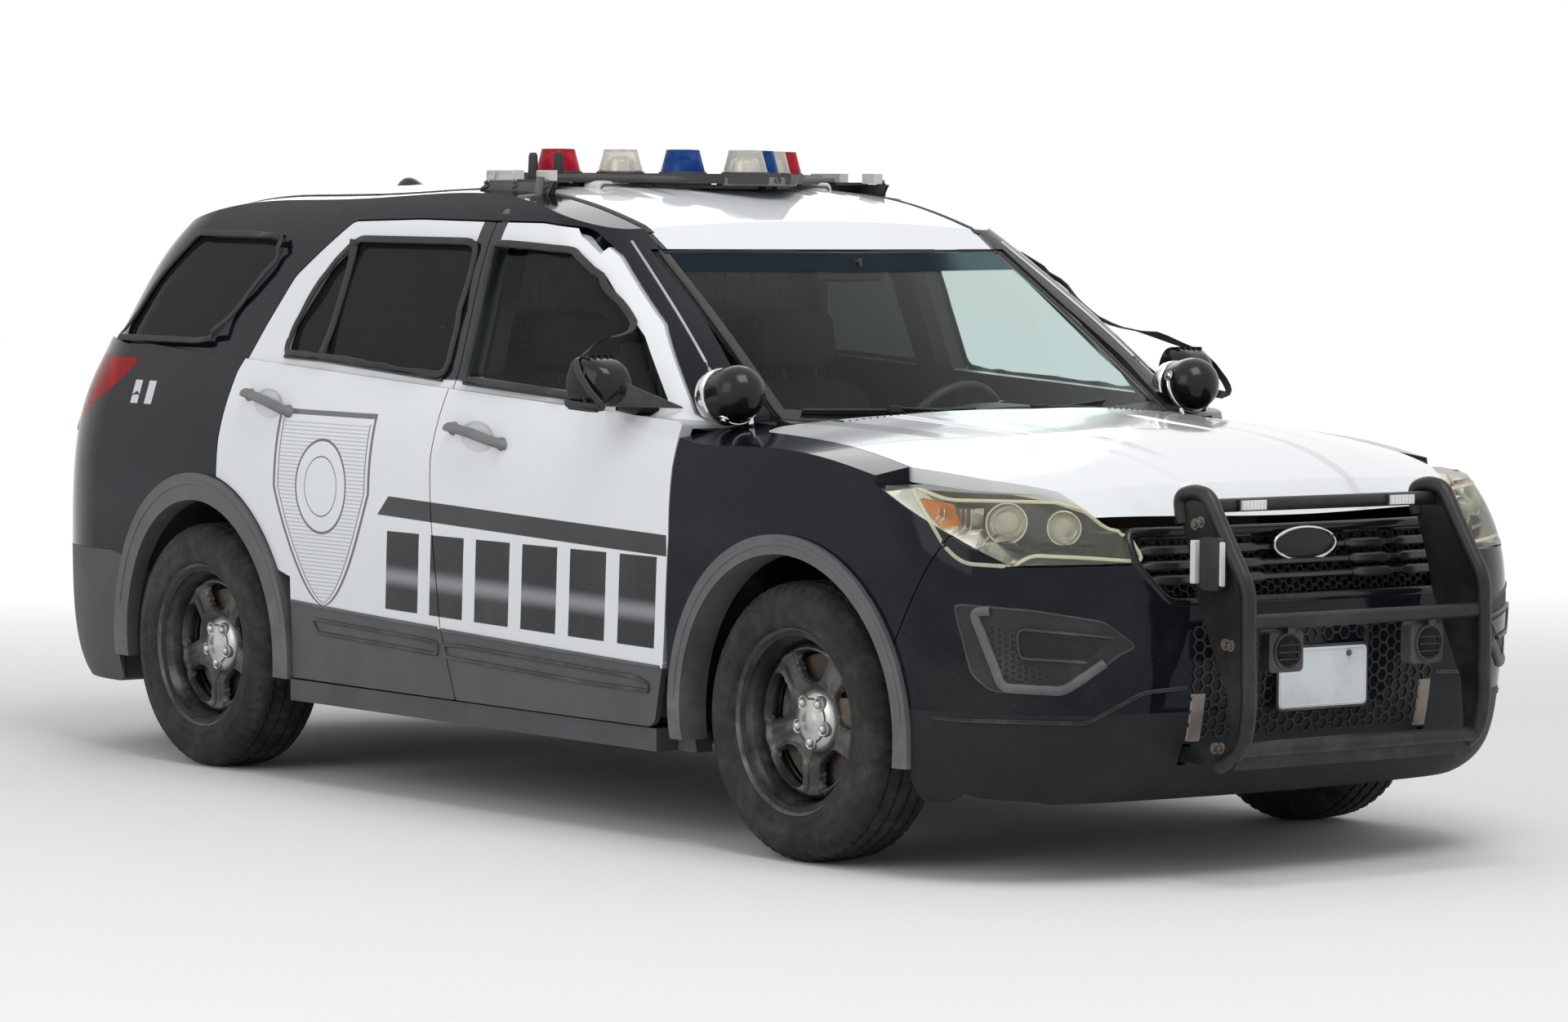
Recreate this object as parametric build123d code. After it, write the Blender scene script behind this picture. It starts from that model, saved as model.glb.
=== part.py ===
from build123d import *
import math
import os
from functools import lru_cache

# Police patrol SUV. Millimetres, +X forward, +Y the vehicle's left, ground at z = 0,
# origin at the middle of the overall box. Stations along the length are counted from the axles.

# Main sizes
WHEELBASE = 2865
FRONT_REACH = 1165
REAR_REACH = 1232
XF = (WHEELBASE + REAR_REACH - FRONT_REACH) / 2
XR = XF - WHEELBASE
TRACK_HALF = 851
TYRE_R = 363.5
TYRE_W = 245
AXLE_Z = TYRE_R
FIT = 0.3
SHUT = 5
FAR = 4000

# Wall thicknesses
DOOR_T = 95
GLASS_T = 5
GLASS_IN = 12
HOOD_T = 38


# Section rules
def meet(c1, r1, c2, r2, pick):
    d = math.dist(c1, c2)
    a = (r1 * r1 - r2 * r2 + d * d) / (2 * d)
    h = math.sqrt(max(0, r1 * r1 - a * a))
    ux = (c2[0] - c1[0]) / d
    uy = (c2[1] - c1[1]) / d
    both = [(c1[0] + a * ux - s * h * uy, c1[1] + a * uy + s * h * ux) for s in (1, -1)]
    return max(both, key=pick)


def towards(c, r, to):
    d = math.dist(c, to)
    return (c[0] + (to[0] - c[0]) / d * r, c[1] + (to[1] - c[1]) / d * r)


def on_arc(c, r, p, q):
    mx = (p[0] + q[0]) / 2 - c[0]
    my = (p[1] + q[1]) / 2 - c[1]
    d = math.hypot(mx, my)
    return (c[0] + mx / d * r, c[1] + my / d * r)


def plan_ring(z, half, nose, nose_r, nose_c, tail, tail_r, tail_c, inset, side_r, side_x):
    """Closed plan outline at one height: two side arcs, nose and tail arcs, four corner arcs."""
    half = half - inset
    nose = nose - inset
    tail = tail + inset
    nose_r = nose_r - inset
    tail_r = tail_r - inset
    nose_c = nose_c - inset
    tail_c = tail_c - inset
    side_r = side_r - inset
    side = (side_x, half - side_r)
    front = (nose - nose_r, 0)
    rear = (tail + tail_r, 0)
    fc = meet(front, nose_r - nose_c, side, side_r - nose_c, lambda p: (p[1] > 0) * 1e5 + p[0])
    rc = meet(rear, tail_r - tail_c, side, side_r - tail_c, lambda p: (p[1] > 0) * 1e5 - p[0])
    a = towards(front, nose_r, fc)
    b = towards(side, side_r, fc)
    c = towards(side, side_r, rc)
    d = towards(rear, tail_r, rc)
    m1 = on_arc(fc, nose_c, a, b)
    m2 = on_arc(side, side_r, b, c)
    m3 = on_arc(rc, tail_c, c, d)

    def at(p, s=1):
        return (p[0], s * p[1], z)

    return Wire([
        ThreePointArc(at(a, -1), (nose, 0, z), at(a)),
        ThreePointArc(at(a), at(m1), at(b)),
        ThreePointArc(at(b), at(m2), at(c)),
        ThreePointArc(at(c), at(m3), at(d)),
        ThreePointArc(at(d), (tail, 0, z), at(d, -1)),
        ThreePointArc(at(d, -1), at(m3, -1), at(c, -1)),
        ThreePointArc(at(c, -1), at(m2, -1), at(b, -1)),
        ThreePointArc(at(b, -1), at(m1, -1), at(a, -1)),
    ])


# Lower body by height: z, half width, nose x from front axle, nose radius, nose corner radius,
# tail x from rear axle, tail radius, tail corner radius
LOWER = [
    (200, 962, 800, 4000, 460, -1090, 2300, 480),
    (360, 986, 922, 4600, 470, -1200, 2300, 530),
    (560, 992, 948, 5000, 480, -1232, 2300, 560),
    (850, 1002, 886, 3600, 400, -1208, 2300, 560),
    (990, 992, 768, 3000, 350, -1190, 2300, 560),
    (1140, 954, 560, 2600, 320, -1150, 2250, 550),
    (1320, 884, 300, 2200, 300, -1080, 2100, 520),
]
LOWER_SIDE_R = 50000
LOWER_SIDE_X = XF - 1000

# Cabin by height, same columns
UPPER = [
    (1040, 964, -152, 2300, 240, -1170, 2100, 480),
    (1260, 893, -500, 2500, 220, -1050, 2100, 470),
    (1430, 838, -770, 2900, 200, -945, 2100, 460),
    (1572, 785, -1000, 2900, 190, -835, 2100, 450),
    (1660, 735, -1140, 2900, 180, -740, 2100, 430),
    (1780, 610, -1330, 2900, 160, -600, 2100, 380),
]
UPPER_SIDE_R = 30000
UPPER_SIDE_X = XF - 1500

# Hood crown: x from front axle, height on the middle line, height at the side
HOOD_CROWN = [
    (-520, 1148, 1104),
    (-60, 1134, 1082),
    (330, 1104, 1038),
    (600, 1058, 984),
    (800, 976, 922),
    (1000, 830, 790),
]
CROWN_HALF = 850

# Roof crown: x from front axle, height on the middle line, height at the side
ROOF_CROWN = [
    (-100, 1316, 1286),
    (-700, 1510, 1480),
    (-1120, 1646, 1610),
    (-1500, 1736, 1698),
    (-1950, 1758, 1720),
    (-2650, 1744, 1698),
    (-3250, 1703, 1654),
    (-3900, 1630, 1580),
]
ROOF_HALF = 650


def hull(rows, side_r, side_x, inset):
    return Solid.make_loft([
        plan_ring(z, half, XF + nose, nr, nc, XR + tail, tr, tc, inset, side_r, side_x)
        for z, half, nose, nr, nc, tail, tr, tc in rows
    ])


def crown(rows, half, base, inset):
    """Solid under a crowned surface given by cross arcs at several stations."""
    rings = []
    for x, mid, side in rows:
        xs = XF + x
        drop = mid - side
        r = (half * half + drop * drop) / (2 * drop)
        wide = FAR / 4
        low = mid - r + math.sqrt(r * r - wide * wide)
        rings.append(Wire([
            ThreePointArc((xs, -wide, low - inset), (xs, 0, mid - inset), (xs, wide, low - inset)),
            Line((xs, wide, low - inset), (xs, wide, base)),
            Line((xs, wide, base), (xs, -wide, base)),
            Line((xs, -wide, base), (xs, -wide, low - inset)),
        ]))
    return Solid.make_loft(rings)


def corner_path(rows):
    """Closed run of lines and corner arcs through points a, b with a radius each."""
    n = len(rows)
    ends = []
    for i in range(n):
        p0 = rows[i - 1]
        p1 = rows[i]
        p2 = rows[(i + 1) % n]
        r = p1[2] if len(p1) > 2 else 0
        ax, ay = p0[0] - p1[0], p0[1] - p1[1]
        bx, by = p2[0] - p1[0], p2[1] - p1[1]
        la, lb = math.hypot(ax, ay), math.hypot(bx, by)
        ax, ay, bx, by = ax / la, ay / la, bx / lb, by / lb
        turn = math.acos(max(-1, min(1, ax * bx + ay * by)))
        if r <= 0 or turn > math.pi - 0.01:
            ends.append(((p1[0], p1[1]), None, (p1[0], p1[1])))
            continue
        t = min(r / math.tan(turn / 2), 0.49 * la, 0.49 * lb)
        r = t * math.tan(turn / 2)
        mx, my = ax + bx, ay + by
        lm = math.hypot(mx, my)
        reach = r / math.sin(turn / 2) - r
        ends.append((
            (p1[0] + ax * t, p1[1] + ay * t),
            (p1[0] + mx / lm * reach, p1[1] + my / lm * reach),
            (p1[0] + bx * t, p1[1] + by * t),
        ))
    return ends


def outline_face(rows, plane):
    ends = corner_path(rows)
    edges = []
    for i, (start, mid, end) in enumerate(ends):
        if mid:
            edges.append(ThreePointArc(plane(start), plane(mid), plane(end)))
        nxt = ends[(i + 1) % len(ends)][0]
        if math.dist(end, nxt) > 0.001:
            edges.append(Line(plane(end), plane(nxt)))
    return Face(Wire(edges))


def side_cut(rows, y0, y1):
    """Prism through a side view outline (x, z, corner radius) between two y values."""
    face = outline_face(rows, lambda p: (p[0], y0, p[1]))
    return extrude(face, amount=y1 - y0, dir=(0, 1, 0))


def plan_cut(rows, z0, z1):
    face = outline_face(rows, lambda p: (p[0], p[1], z0))
    return extrude(face, amount=z1 - z0, dir=(0, 0, 1))


def front_cut(rows, x0, x1):
    face = outline_face(rows, lambda p: (x0, p[0], p[1]))
    return extrude(face, amount=x1 - x0, dir=(1, 0, 0))


def block(x0, x1, y0, y1, z0, z1):
    box = Box(x1 - x0, y1 - y0, z1 - z0)
    return Pos((x0 + x1) / 2, (y0 + y1) / 2, (z0 + z1) / 2) * box


def rod_y(x, z, r, y0, y1):
    return Pos(x, (y0 + y1) / 2, z) * Rot(90, 0, 0) * Cylinder(r, abs(y1 - y0))


def rod(p, q, r):
    path = Line(p, q)
    return Plane(path @ 0.5, z_dir=path @ 1 - path @ 0) * Cylinder(r, path.length)


def grown(rows, by):
    """The same outline moved out by one distance, corner by corner."""
    n = len(rows)
    area = sum(rows[i][0] * rows[(i + 1) % n][1] - rows[(i + 1) % n][0] * rows[i][1] for i in range(n))
    s = by if area > 0 else -by
    out = []
    for i in range(n):
        p0 = rows[i - 1]
        p1 = rows[i]
        p2 = rows[(i + 1) % n]
        ax, ay = p1[0] - p0[0], p1[1] - p0[1]
        bx, by2 = p2[0] - p1[0], p2[1] - p1[1]
        la, lb = math.hypot(ax, ay), math.hypot(bx, by2)
        n1 = (ay / la, -ax / la)
        n2 = (by2 / lb, -bx / lb)
        k = 1 + n1[0] * n2[0] + n1[1] * n2[1]
        x = p1[0] + s * (n1[0] + n2[0]) / k
        y = p1[1] + s * (n1[1] + n2[1]) / k
        out.append((x, y, p1[2] if len(p1) > 2 else 0))
    return out


def solids_of(shape):
    return sorted(shape.solids(), key=lambda q: -q.volume)


def biggest(shape, count=1):
    kept = solids_of(shape)[:count]
    return kept[0] if count == 1 else Compound(kept)


def both_sides(shape):
    return Compound(list(shape.solids()) + list(mirror(shape, about=Plane.XZ).solids()))


def left_of(shape):
    return mirror(shape, about=Plane.XZ)


PIECES = {}


def keep(name, shape):
    PIECES[name] = shape


# Belt line and the shared body solids
BELT_FRONT = (XF + 100, 1092)
BELT_REAR = (XR - 1300, 1288)
RIGHT = (-1200, -380)


def belt_z(x):
    k = (BELT_REAR[1] - BELT_FRONT[1]) / (BELT_REAR[0] - BELT_FRONT[0])
    return BELT_FRONT[1] + (x - BELT_FRONT[0]) * k


X0 = XR - 1500
X1 = XF + 1200
BELOW = side_cut([(X0, 0), (X1, 0), (X1, belt_z(X1)), (X0, belt_z(X0))], -1300, 1300)
ABOVE = side_cut([(X0, belt_z(X0)), (X1, belt_z(X1)), (X1, 1900), (X0, 1900)], -1300, 1300)
NOSE_SIDE = block(XF - 500, X1, -1300, 1300, 0, 1400)


@lru_cache
def lower(inset):
    return hull(LOWER, LOWER_SIDE_R, LOWER_SIDE_X, inset)


@lru_cache
def upper(inset):
    return hull(UPPER, UPPER_SIDE_R, UPPER_SIDE_X, inset)


@lru_cache
def roof_top(inset):
    return crown(ROOF_CROWN, ROOF_HALF, 900, inset)


@lru_cache
def hood_top(inset):
    return crown(HOOD_CROWN, CROWN_HALF, 100, inset)


L0 = lower(0) & BELOW
U0 = upper(0) & roof_top(0) & ABOVE
N0 = lower(0) & hood_top(0) & NOSE_SIDE


def from_axle(rows):
    return [(XF + x, z, r) for x, z, r in rows]


# Wheel openings
FLARE_OUT_F = 485
FLARE_OUT_R = 515
FLARE_IN = 434
FLARE_PROUD = 14
LINER_IN = 442
LINER_Y = 520
LINER_WALL = 20

# Door outlines on the side view: x from front axle, z, corner radius
DOOR_LOW = 306
SEAM = [(-1487, DOOR_LOW, 8), (-1557, 506, 60), (-1603, 980, 60), (-1584, 1221, 60), (-1624, 1634, 6)]
FRONT_DOOR = [
    (-562, DOOR_LOW, 40), (-520, 480, 60), (-483, 816, 0), (-483, 1000, 60), (-476, 1112, 8), (-532, 1137,
        20),
    (-799, 1366, 0), (-1071, 1545, 150), (-1215, 1618, 160), (-1400, 1633, 0),
] + SEAM[::-1]
REAR_DOOR = [(x - SHUT, z, r) for x, z, r in SEAM] + [
    (-2010, 1638, 0), (-2360, 1630, 60), (-2577, 1466, 120), (-2666, 1322, 100),
    (-2736, 1187, 80), (-2757, 986, 60), (-2753, 700, 0), (-2345, 600, 0), (-2345, DOOR_LOW, 10),
]
LINER_OVER = 8
SET_BACK = 16
OPEN_IN = 45

# Side window outlines, same columns
FRONT_WINDOW = [
    (-602, 1150, 12), (-810, 1334, 0), (-1050, 1494, 120), (-1200, 1561, 120), (-1518, 1576, 0),
    (-1582, 1578, 20), (-1546, 1200, 16), (-1138, 1179, 0),
]
REAR_WINDOW = [
    (-1668, 1580, 20), (-2290, 1581, 60), (-2402, 1489, 60), (-2511, 1320, 40), (-2515, 1247, 16),
    (-2291, 1242, 0), (-1640, 1205, 16),
]
QUARTER_WINDOW = [
    (-3232, 1590, 30), (-2702, 1587, 30), (-2690, 1520, 60), (-2945, 1278, 60), (-3000, 1268, 20), (-3555,
        1266, 30),
    (-3420, 1440, 40),
]

# Door hinge lines: x from front axle, inset from the widest skin
WIDEST = 1002
FRONT_HINGE_X = -545
REAR_HINGE_X = -1618
REAR_TAB_X = REAR_HINGE_X - 10
HINGE_IN = 10
HINGE_Y = WIDEST - HINGE_IN
HINGE_Z = (560, 900)
TAB_T = 12
TAB_Y = (856, 893)
TAB_REACH = 52
TAB_ROOT = 30

# Inner faces of the side, as half widths by height, and how far each layer lies inside the widest skin
BELT_Z = 1205
DOOR_FACE = [(DOOR_T, 240), (DOOR_T, 950), (DOOR_T + 53, BELT_Z), (DOOR_T + 172, 1572), (DOOR_T + 222, 1665)]
FLANGE_FACE = [(38, 240), (32, 560), (32, 850), (42, 985), (78, 1110), (112, BELT_Z), (234, 1572),
    (283, 1665)]
RING_GAP = 8
RING_T = 50
FRAME_LOW = 1100
FRAME_HIGH = 1572
TOE = 1.36
TOE_X = -1603


def layer(face, more, outside=1300):
    """Everything outboard of an inner face, on the right side, along the front door."""
    rows = [(-(WIDEST - d - more), z, 0) for d, z in face]
    rows = rows + [(rows[-1][0], 2000, 0), (-outside, 2000, 0), (-outside, rows[0][1], 0)]
    return front_cut(rows, XF - 4600, XF + 700)


def toed(shape):
    """Same layer turned about the pillar to follow the body's plan curve along the rear door."""
    turn = Pos(XF + TOE_X, -WIDEST, 0) * Rot(0, 0, -TOE) * Pos(-XF - TOE_X, WIDEST, 0)
    return turn * shape


LINER_FACE = WIDEST - DOOR_T

# The windshield pillar's line in space: two points, and a level direction along the skin beside it
PILLAR_LOW = (-532, -892, 1133)
PILLAR_HIGH = (-1071, -729, 1544)
PILLAR_SIDE = (-0.6, -0.8, 0)
FRAME_T = 45


def pillar_side(depth):
    """The space outboard of a plane that lies one depth inside the skin at the windshield pillar."""
    line = Vector(*PILLAR_HIGH) - Vector(*PILLAR_LOW)
    out = line.cross(Vector(*PILLAR_SIDE)).normalized()
    if out.Y > 0:
        out = out * -1
    at = Vector(XF + PILLAR_LOW[0], PILLAR_LOW[1], PILLAR_LOW[2]) - out * depth
    slab = Plane(origin=at, x_dir=line.normalized(), z_dir=out) * Pos(250, 0, 100) * Box(1500, 1400, 200)
    return slab & block(XF - 1120, XF - 380, RIGHT[0], -690, FRAME_LOW, FRAME_HIGH)


def clear_arch(shape, x, arch, gap):
    """Cut a right-side panel back from a flare, and further back from the liner behind it."""
    behind = rod_y(x, AXLE_Z, arch + LINER_OVER + SHUT, -LINER_FACE - SHUT, -380)
    return shape - rod_y(x, AXLE_Z, arch + gap, *RIGHT) - behind


def door(outline, window, hinge_x, rear):
    skin = (L0 + U0) & side_cut(from_axle(outline), *RIGHT)
    thin = layer(FLANGE_FACE, 0)
    thick = layer(DOOR_FACE, 0)
    if rear:
        thin = toed(thin)
        thick = toed(thick)
    core = side_cut(grown(from_axle(outline), -SET_BACK), *RIGHT) - block(
        XF + hinge_x - 2, XF + 200, *RIGHT, 0, 2000)
    leaf = (skin & thin) + (skin & thick & core)
    if not rear:
        leaf = leaf + (skin & pillar_side(FRAME_T) & side_cut(from_axle(outline), *RIGHT))
    leaf = leaf - side_cut(from_axle(window), *RIGHT)
    for z in HINGE_Z:
        leaf = leaf + block(XF + hinge_x - TAB_REACH - 24, XF + hinge_x - 24, -WIDEST + DOOR_T - 12,
            -TAB_Y[0] - 12,
                            z - TAB_T / 2, z + TAB_T / 2)
    return leaf


PANES = upper(GLASS_IN) - upper(GLASS_IN + GLASS_T)


def pane(window):
    return biggest(PANES & side_cut(grown(from_axle(window), -FIT), *RIGHT))


front_door = door(FRONT_DOOR, FRONT_WINDOW, FRONT_HINGE_X, False)
rear_door = clear_arch(door(REAR_DOOR, REAR_WINDOW, REAR_TAB_X, True), XR, FLARE_OUT_R, SHUT)
for name, shape in (
    ("door_front", biggest(front_door)),
    ("door_rear", biggest(rear_door)),
    ("glass_front", pane(FRONT_WINDOW)),
    ("glass_rear", pane(REAR_WINDOW)),
):
    keep(f"{name}_right", shape)
    keep(f"{name}_left", left_of(shape))

# Body side: sill, pillars, cant rail and quarter panel with its wheelhouse
GATE_HALF_LOW = 700
GATE_HALF_TOP = 590
ROOF_SEAM = 600
SCREEN_HALF_LOW = 716
SCREEN_HALF_TOP = 636
GLASS_TOP = 1566
HEADER_X = -1075
ROOF_END_X = -3330
BUMPER_TOP = 618
SILL_TOP = 430
SILL_IN = 140
SILL_LOW = 240
PILLAR_FRONT = -430
QUARTER = [
    (-2500, 700, 0), (-2500, 2000, 0), (-4300, 2000, 0), (-4300, BUMPER_TOP, 0), (-3400, BUMPER_TOP, 0),
    (-3200, 577, 0), (-2865, 577, 0),
]
CANT = [(-430, 1120, 0), (-430, 2000, 0), (-3200, 2000, 0), (-3200, 1400, 0), (-1500, 1200, 0)]
CAVITY_SIDE = [
    (0, 0, 0), (0, 1030, 0), (-540, 1095, 0), (-1190, 1540, 0), (-1400, 1628, 0), (-1700, 1664, 0), (-2100,
        1674, 0),
    (-2700, 1655, 0), (-3200, 1616, 0), (-3500, 1560, 0), (-4300, 1500, 0), (-4300, 0, 0),
]
CAVITY_PLAN = [
    (-400, -846, 0), (TOE_X, -846, 0), (-3050, -812, 0), (-3560, -720, 0), (-4300, -720, 0),
    (-4300, 720, 0), (-3560, 720, 0), (-3050, 812, 0), (TOE_X, 846, 0), (-400, 846, 0),
]
REAR_PILLAR = [
    (-3760, 500, 0), (-3760, 950, 0), (-3560, 1100, 0), (-3540, 1260, 0), (-3300, 1600, 0), (-3300, 1720, 0),
    (-4400, 1720, 0), (-4400, 500, 0),
]
REAR_PILLAR_Y = 560
CORNER_WELL = [(-3165, -640, 0), (-3165, -900, 0), (-3420, -880, 0), (-3560, -840, 0), (-3700, -750, 0),
               (-3790, -640, 0)]
inner = [(WIDEST - d - RING_GAP - RING_T, z) for d, z in DOOR_FACE]
cavity = front_cut([(-y, z, 0) for y, z in inner] + [(-540, 1800, 0), (540, 1800, 0)]
    + [(y, z, 0) for y, z in inner[::-1]],
                   XF - 4600, XF + 700)
CAVITY = cavity & side_cut(from_axle(CAVITY_SIDE), -1200, 1200) & plan_cut(from_axle(CAVITY_PLAN), 0, 2000)
for s in (-1, 1):
    CAVITY = CAVITY - side_cut(from_axle(REAR_PILLAR), *sorted((s * REAR_PILLAR_Y, s * 1200)))


def screen_zone(clear):
    return front_cut([(-SCREEN_HALF_LOW + clear, 1000, 0), (SCREEN_HALF_LOW - clear, 1000, 0),
                      (SCREEN_HALF_TOP - clear, GLASS_TOP - clear, 0), (-SCREEN_HALF_TOP + clear, GLASS_TOP
                          - clear, 0)],
                     XF + HEADER_X - 100, XF + 300)


def gate_zone(more, low, x1):
    half_low = GATE_HALF_LOW + more
    half_top = GATE_HALF_TOP + more
    return front_cut([(-half_low, low, 0), (half_low, low, 0), (half_low, 1260, 60), (half_top, 1600, 0),
                      (half_top, 1900, 0), (-half_top, 1900, 0), (-half_top, 1600, 0), (-half_low, 1260, 60)],
                     XR - 1500, XF + x1)


inside_roof = block(XR - 1400, XF - 900, -ROOF_SEAM - FIT, ROOF_SEAM + FIT, GLASS_TOP, 2000)
skin = (L0 & side_cut(from_axle(QUARTER), *RIGHT)) + (U0 & side_cut(from_axle(QUARTER), *RIGHT)) + (
    U0 & side_cut(from_axle(CANT), *RIGHT))
for outline in (FRONT_DOOR, REAR_DOOR):
    skin = skin - side_cut(grown(from_axle(outline), SHUT), *RIGHT)
RING_ROWS = [(-(WIDEST - d - RING_GAP), z, 0) for d, z in DOOR_FACE]
ring_rows = RING_ROWS + [(y + RING_T + 2, z, 0) for y, z, _ in RING_ROWS[::-1]]
ring = front_cut(ring_rows, XF + TOE_X, XF + PILLAR_FRONT) + toed(front_cut(ring_rows, XR - 60, XF + TOE_X))
ring = ring & side_cut(from_axle([(-430, 0, 0), (-430, FRAME_LOW - RING_GAP, 0),
    (-640, FRAME_LOW - RING_GAP, 0), (-1180, 1500, 0), (-1180, 1610, 0), (-1400, 1680, 0),
                                  (-3200, 1680, 0), (-3200, 0, 0)]), *RIGHT)
for outline in (FRONT_DOOR, REAR_DOOR):
    ring = ring - side_cut(grown(from_axle(outline), -OPEN_IN), *RIGHT)
low_x = (XR + FLARE_OUT_R + SHUT, XF - FLARE_OUT_F - 80)
sill = block(*low_x, -WIDEST + SILL_IN, -WIDEST + SILL_IN + 70, SILL_LOW, SILL_TOP)
sill = sill + block(*low_x, -WIDEST + 30, -WIDEST + SILL_IN + 1, SILL_LOW, DOOR_LOW - SHUT)
ring = ring - block(XR - 100, XF, -WIDEST, -WIDEST + SILL_IN, DOOR_LOW - SHUT, SILL_TOP + 90)
ring = ring - rod_y(XF, AXLE_Z, FLARE_OUT_F + LINER_OVER + SHUT, *RIGHT)
ring = ring - block(XF - 488, XF - 400, *RIGHT, 1022, 1300)
ring = ring & ((lower(GLASS_IN) & BELOW) + upper(GLASS_IN))
for x, z in [(FRONT_HINGE_X, q) for q in HINGE_Z] + [(REAR_TAB_X, q) for q in HINGE_Z]:
    ring = ring + block(XF + x - TAB_REACH, XF + x + TAB_ROOT, -TAB_Y[1], -TAB_Y[0], z + TAB_T / 2 + FIT, z
        + 1.5 * TAB_T + FIT)
body = skin - CAVITY + ring + sill - screen_zone(0) - inside_roof - gate_zone(SHUT, 500, 0)
body = body - plan_cut(from_axle(CORNER_WELL), 500, 1000)


def wheelhouse(x, arch, skin):
    """Panel with its wheel opening cut, and a liner carried by it."""
    liner = rod_y(x, AXLE_Z, arch + LINER_OVER, -LINER_FACE, -LINER_Y + LINER_WALL)
    liner = liner - rod_y(x, AXLE_Z, LINER_IN, -LINER_FACE - 1, -LINER_Y)
    liner = liner & block(x - 700, x + 700, -1200, 0, 300, 1400)
    return skin - rod_y(x, AXLE_Z, arch + 1, -1200, -400) + liner


body = wheelhouse(XR, FLARE_OUT_R, body)

# Tail lamps sit in the quarter panels
LAMP_BACK = [(-3300, -850, 0), (-3560, -800, 0), (-3800, -640, 0), (-3800, -300, 0), (-3300, -300, 0)]
TAIL_LAMP = [
    (-3328, 1206, 12), (-4200, 1212, 0), (-4200, 945, 0), (-3760, 945, 30), (-3600, 1040, 60), (-3480, 1100,
        60),
]


def lamp_space(more):
    cut = side_cut(grown(from_axle(TAIL_LAMP), more), -1200, -GATE_HALF_LOW - SHUT)
    return cut - plan_cut(grown(from_axle(LAMP_BACK), -more), 800, 1300)


keep("tail_lamps", both_sides(biggest(L0 & lamp_space(-FIT))))
body = body - lamp_space(0) - side_cut(from_axle(QUARTER_WINDOW), *RIGHT)
keep("body_sides", both_sides(biggest(body)))
keep("quarter_glass", both_sides(pane(QUARTER_WINDOW)))

# Front fenders, hood
FENDER = [
    (-562 + SHUT, 283, 0), (-520 + SHUT, 480, 60), (-483 + SHUT, 816, 0), (-483 + SHUT, 1000, 60),
    (-470 + SHUT, 1136, 0), (-425, 1160, 0), (345, 1160, 0), (345, 996, 0), (600, 876, 0), (428, 600,
        0), (476, 283, 0),
]
HOOD = [
    (-350, -730, 30), (-330, -792, 30), (290, -852, 0), (352, -856, 20), (560, -770, 60), (800, -600, 60),
    (850, -420, 0), (862, 0, 0), (850, 420, 0), (800, 600, 60), (560, 770, 60), (352, 856, 20), (290, 852, 0),
    (-330, 792, 30), (-350, 730, 30), (-238, 420, 0), (-180, 0, 0), (-238, -420, 0),
]
BAY = [(-600, 0, 0), (-600, 1040, 0), (-200, 1030, 0), (250, 985, 0), (480, 930, 0), (1200, 930, 0),
    (1200, 0, 0)]
COWL_TOP = 1045
COWL_T = 20
hood_clear = plan_cut(grown(from_axle(HOOD), SHUT), 880, 1300)
hood = (N0 - hood_top(HOOD_T)) & plan_cut(from_axle(HOOD), 900, 1300)
HOOD_TAB = (XF - 318, XF - 286)
HOOD_TAB_Y = 648
for t in (-1, 1):
    hood = hood + block(*HOOD_TAB, *sorted((t * (HOOD_TAB_Y - 8), t * HOOD_TAB_Y)), COWL_TOP + 5, COWL_TOP
        + 35)
keep("hood", biggest(hood))
bay_half = WIDEST - DOOR_T - 1
fender = (N0 & side_cut(from_axle(FENDER), -1200, -SCREEN_HALF_LOW - SHUT)) - side_cut(from_axle(BAY),
    -bay_half, bay_half) - hood_clear
fender = wheelhouse(XF, FLARE_OUT_F, fender)
keep("front_fenders", both_sides(biggest(fender)))

# Lamps, grille and bumper at the nose
HEAD_LAMP = [(352, 995, 8), (612, 874, 60), (740, 806, 40), (1000, 812, 0), (1000, 966, 0), (800, 969, 0)]
LAMP_IN_Y = 562
LAMP_WELL = [(300, -846, 0), (560, -830, 0), (720, -700, 0), (790, -540, 0), (790, -200, 0), (300, -200, 0)]
GRILLE = [(-550, 948, 20), (-555, 800, 40), (-480, 700, 30), (480, 700, 30), (555, 800, 40), (550, 948, 20)]
TIE_X = 690
lamp = (N0 & side_cut(grown(from_axle(HEAD_LAMP), -FIT), -1200,
    -LAMP_IN_Y)) - plan_cut(from_axle(LAMP_WELL), 700, 1100)
lamp = lamp - hood_clear
lamp = lamp + block(XF + TIE_X + FIT, XF + 800, -680, -600, 825, 848)
keep("headlamps", both_sides(biggest(lamp)))
GRILLE_BACK = 790
grille = N0 & front_cut(grown(GRILLE, -SHUT), XF + GRILLE_BACK, XF + 1200) - hood_clear
keep("grille", biggest(grille + block(XF + TIE_X + FIT, XF + GRILLE_BACK + 1, -60, 60, 800, 840)))
BUMPER = [(476 + SHUT, 200, 0), (428 + SHUT, 600, 0), (610, 886, 0), (610, 940, 0), (1100, 940, 0),
    (1100, 200, 0)]
BUMPER_WELL = [(300, -890, 0), (600, -880, 0), (700, -760, 100), (760, -500, 0), (760, 500, 0),
    (700, 760, 100),
               (600, 880, 0), (300, 890, 0)]
bumper = (N0 & side_cut(from_axle(BUMPER), -1200, 1200)) - plan_cut(from_axle(BUMPER_WELL), 100,
    1200) - hood_clear
for s in (-1, 1):
    zone = sorted((s * (LAMP_IN_Y - SHUT), s * 1200))
    bumper = bumper - side_cut(grown(from_axle(HEAD_LAMP), SHUT), *zone)
bumper = bumper - front_cut(GRILLE, XF + 500, XF + 1200)
for s in (-1, 1):
    bumper = bumper - block(XF + 700, XF + 1100, *sorted((s * 396, s * 422)), 297, 353)
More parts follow.
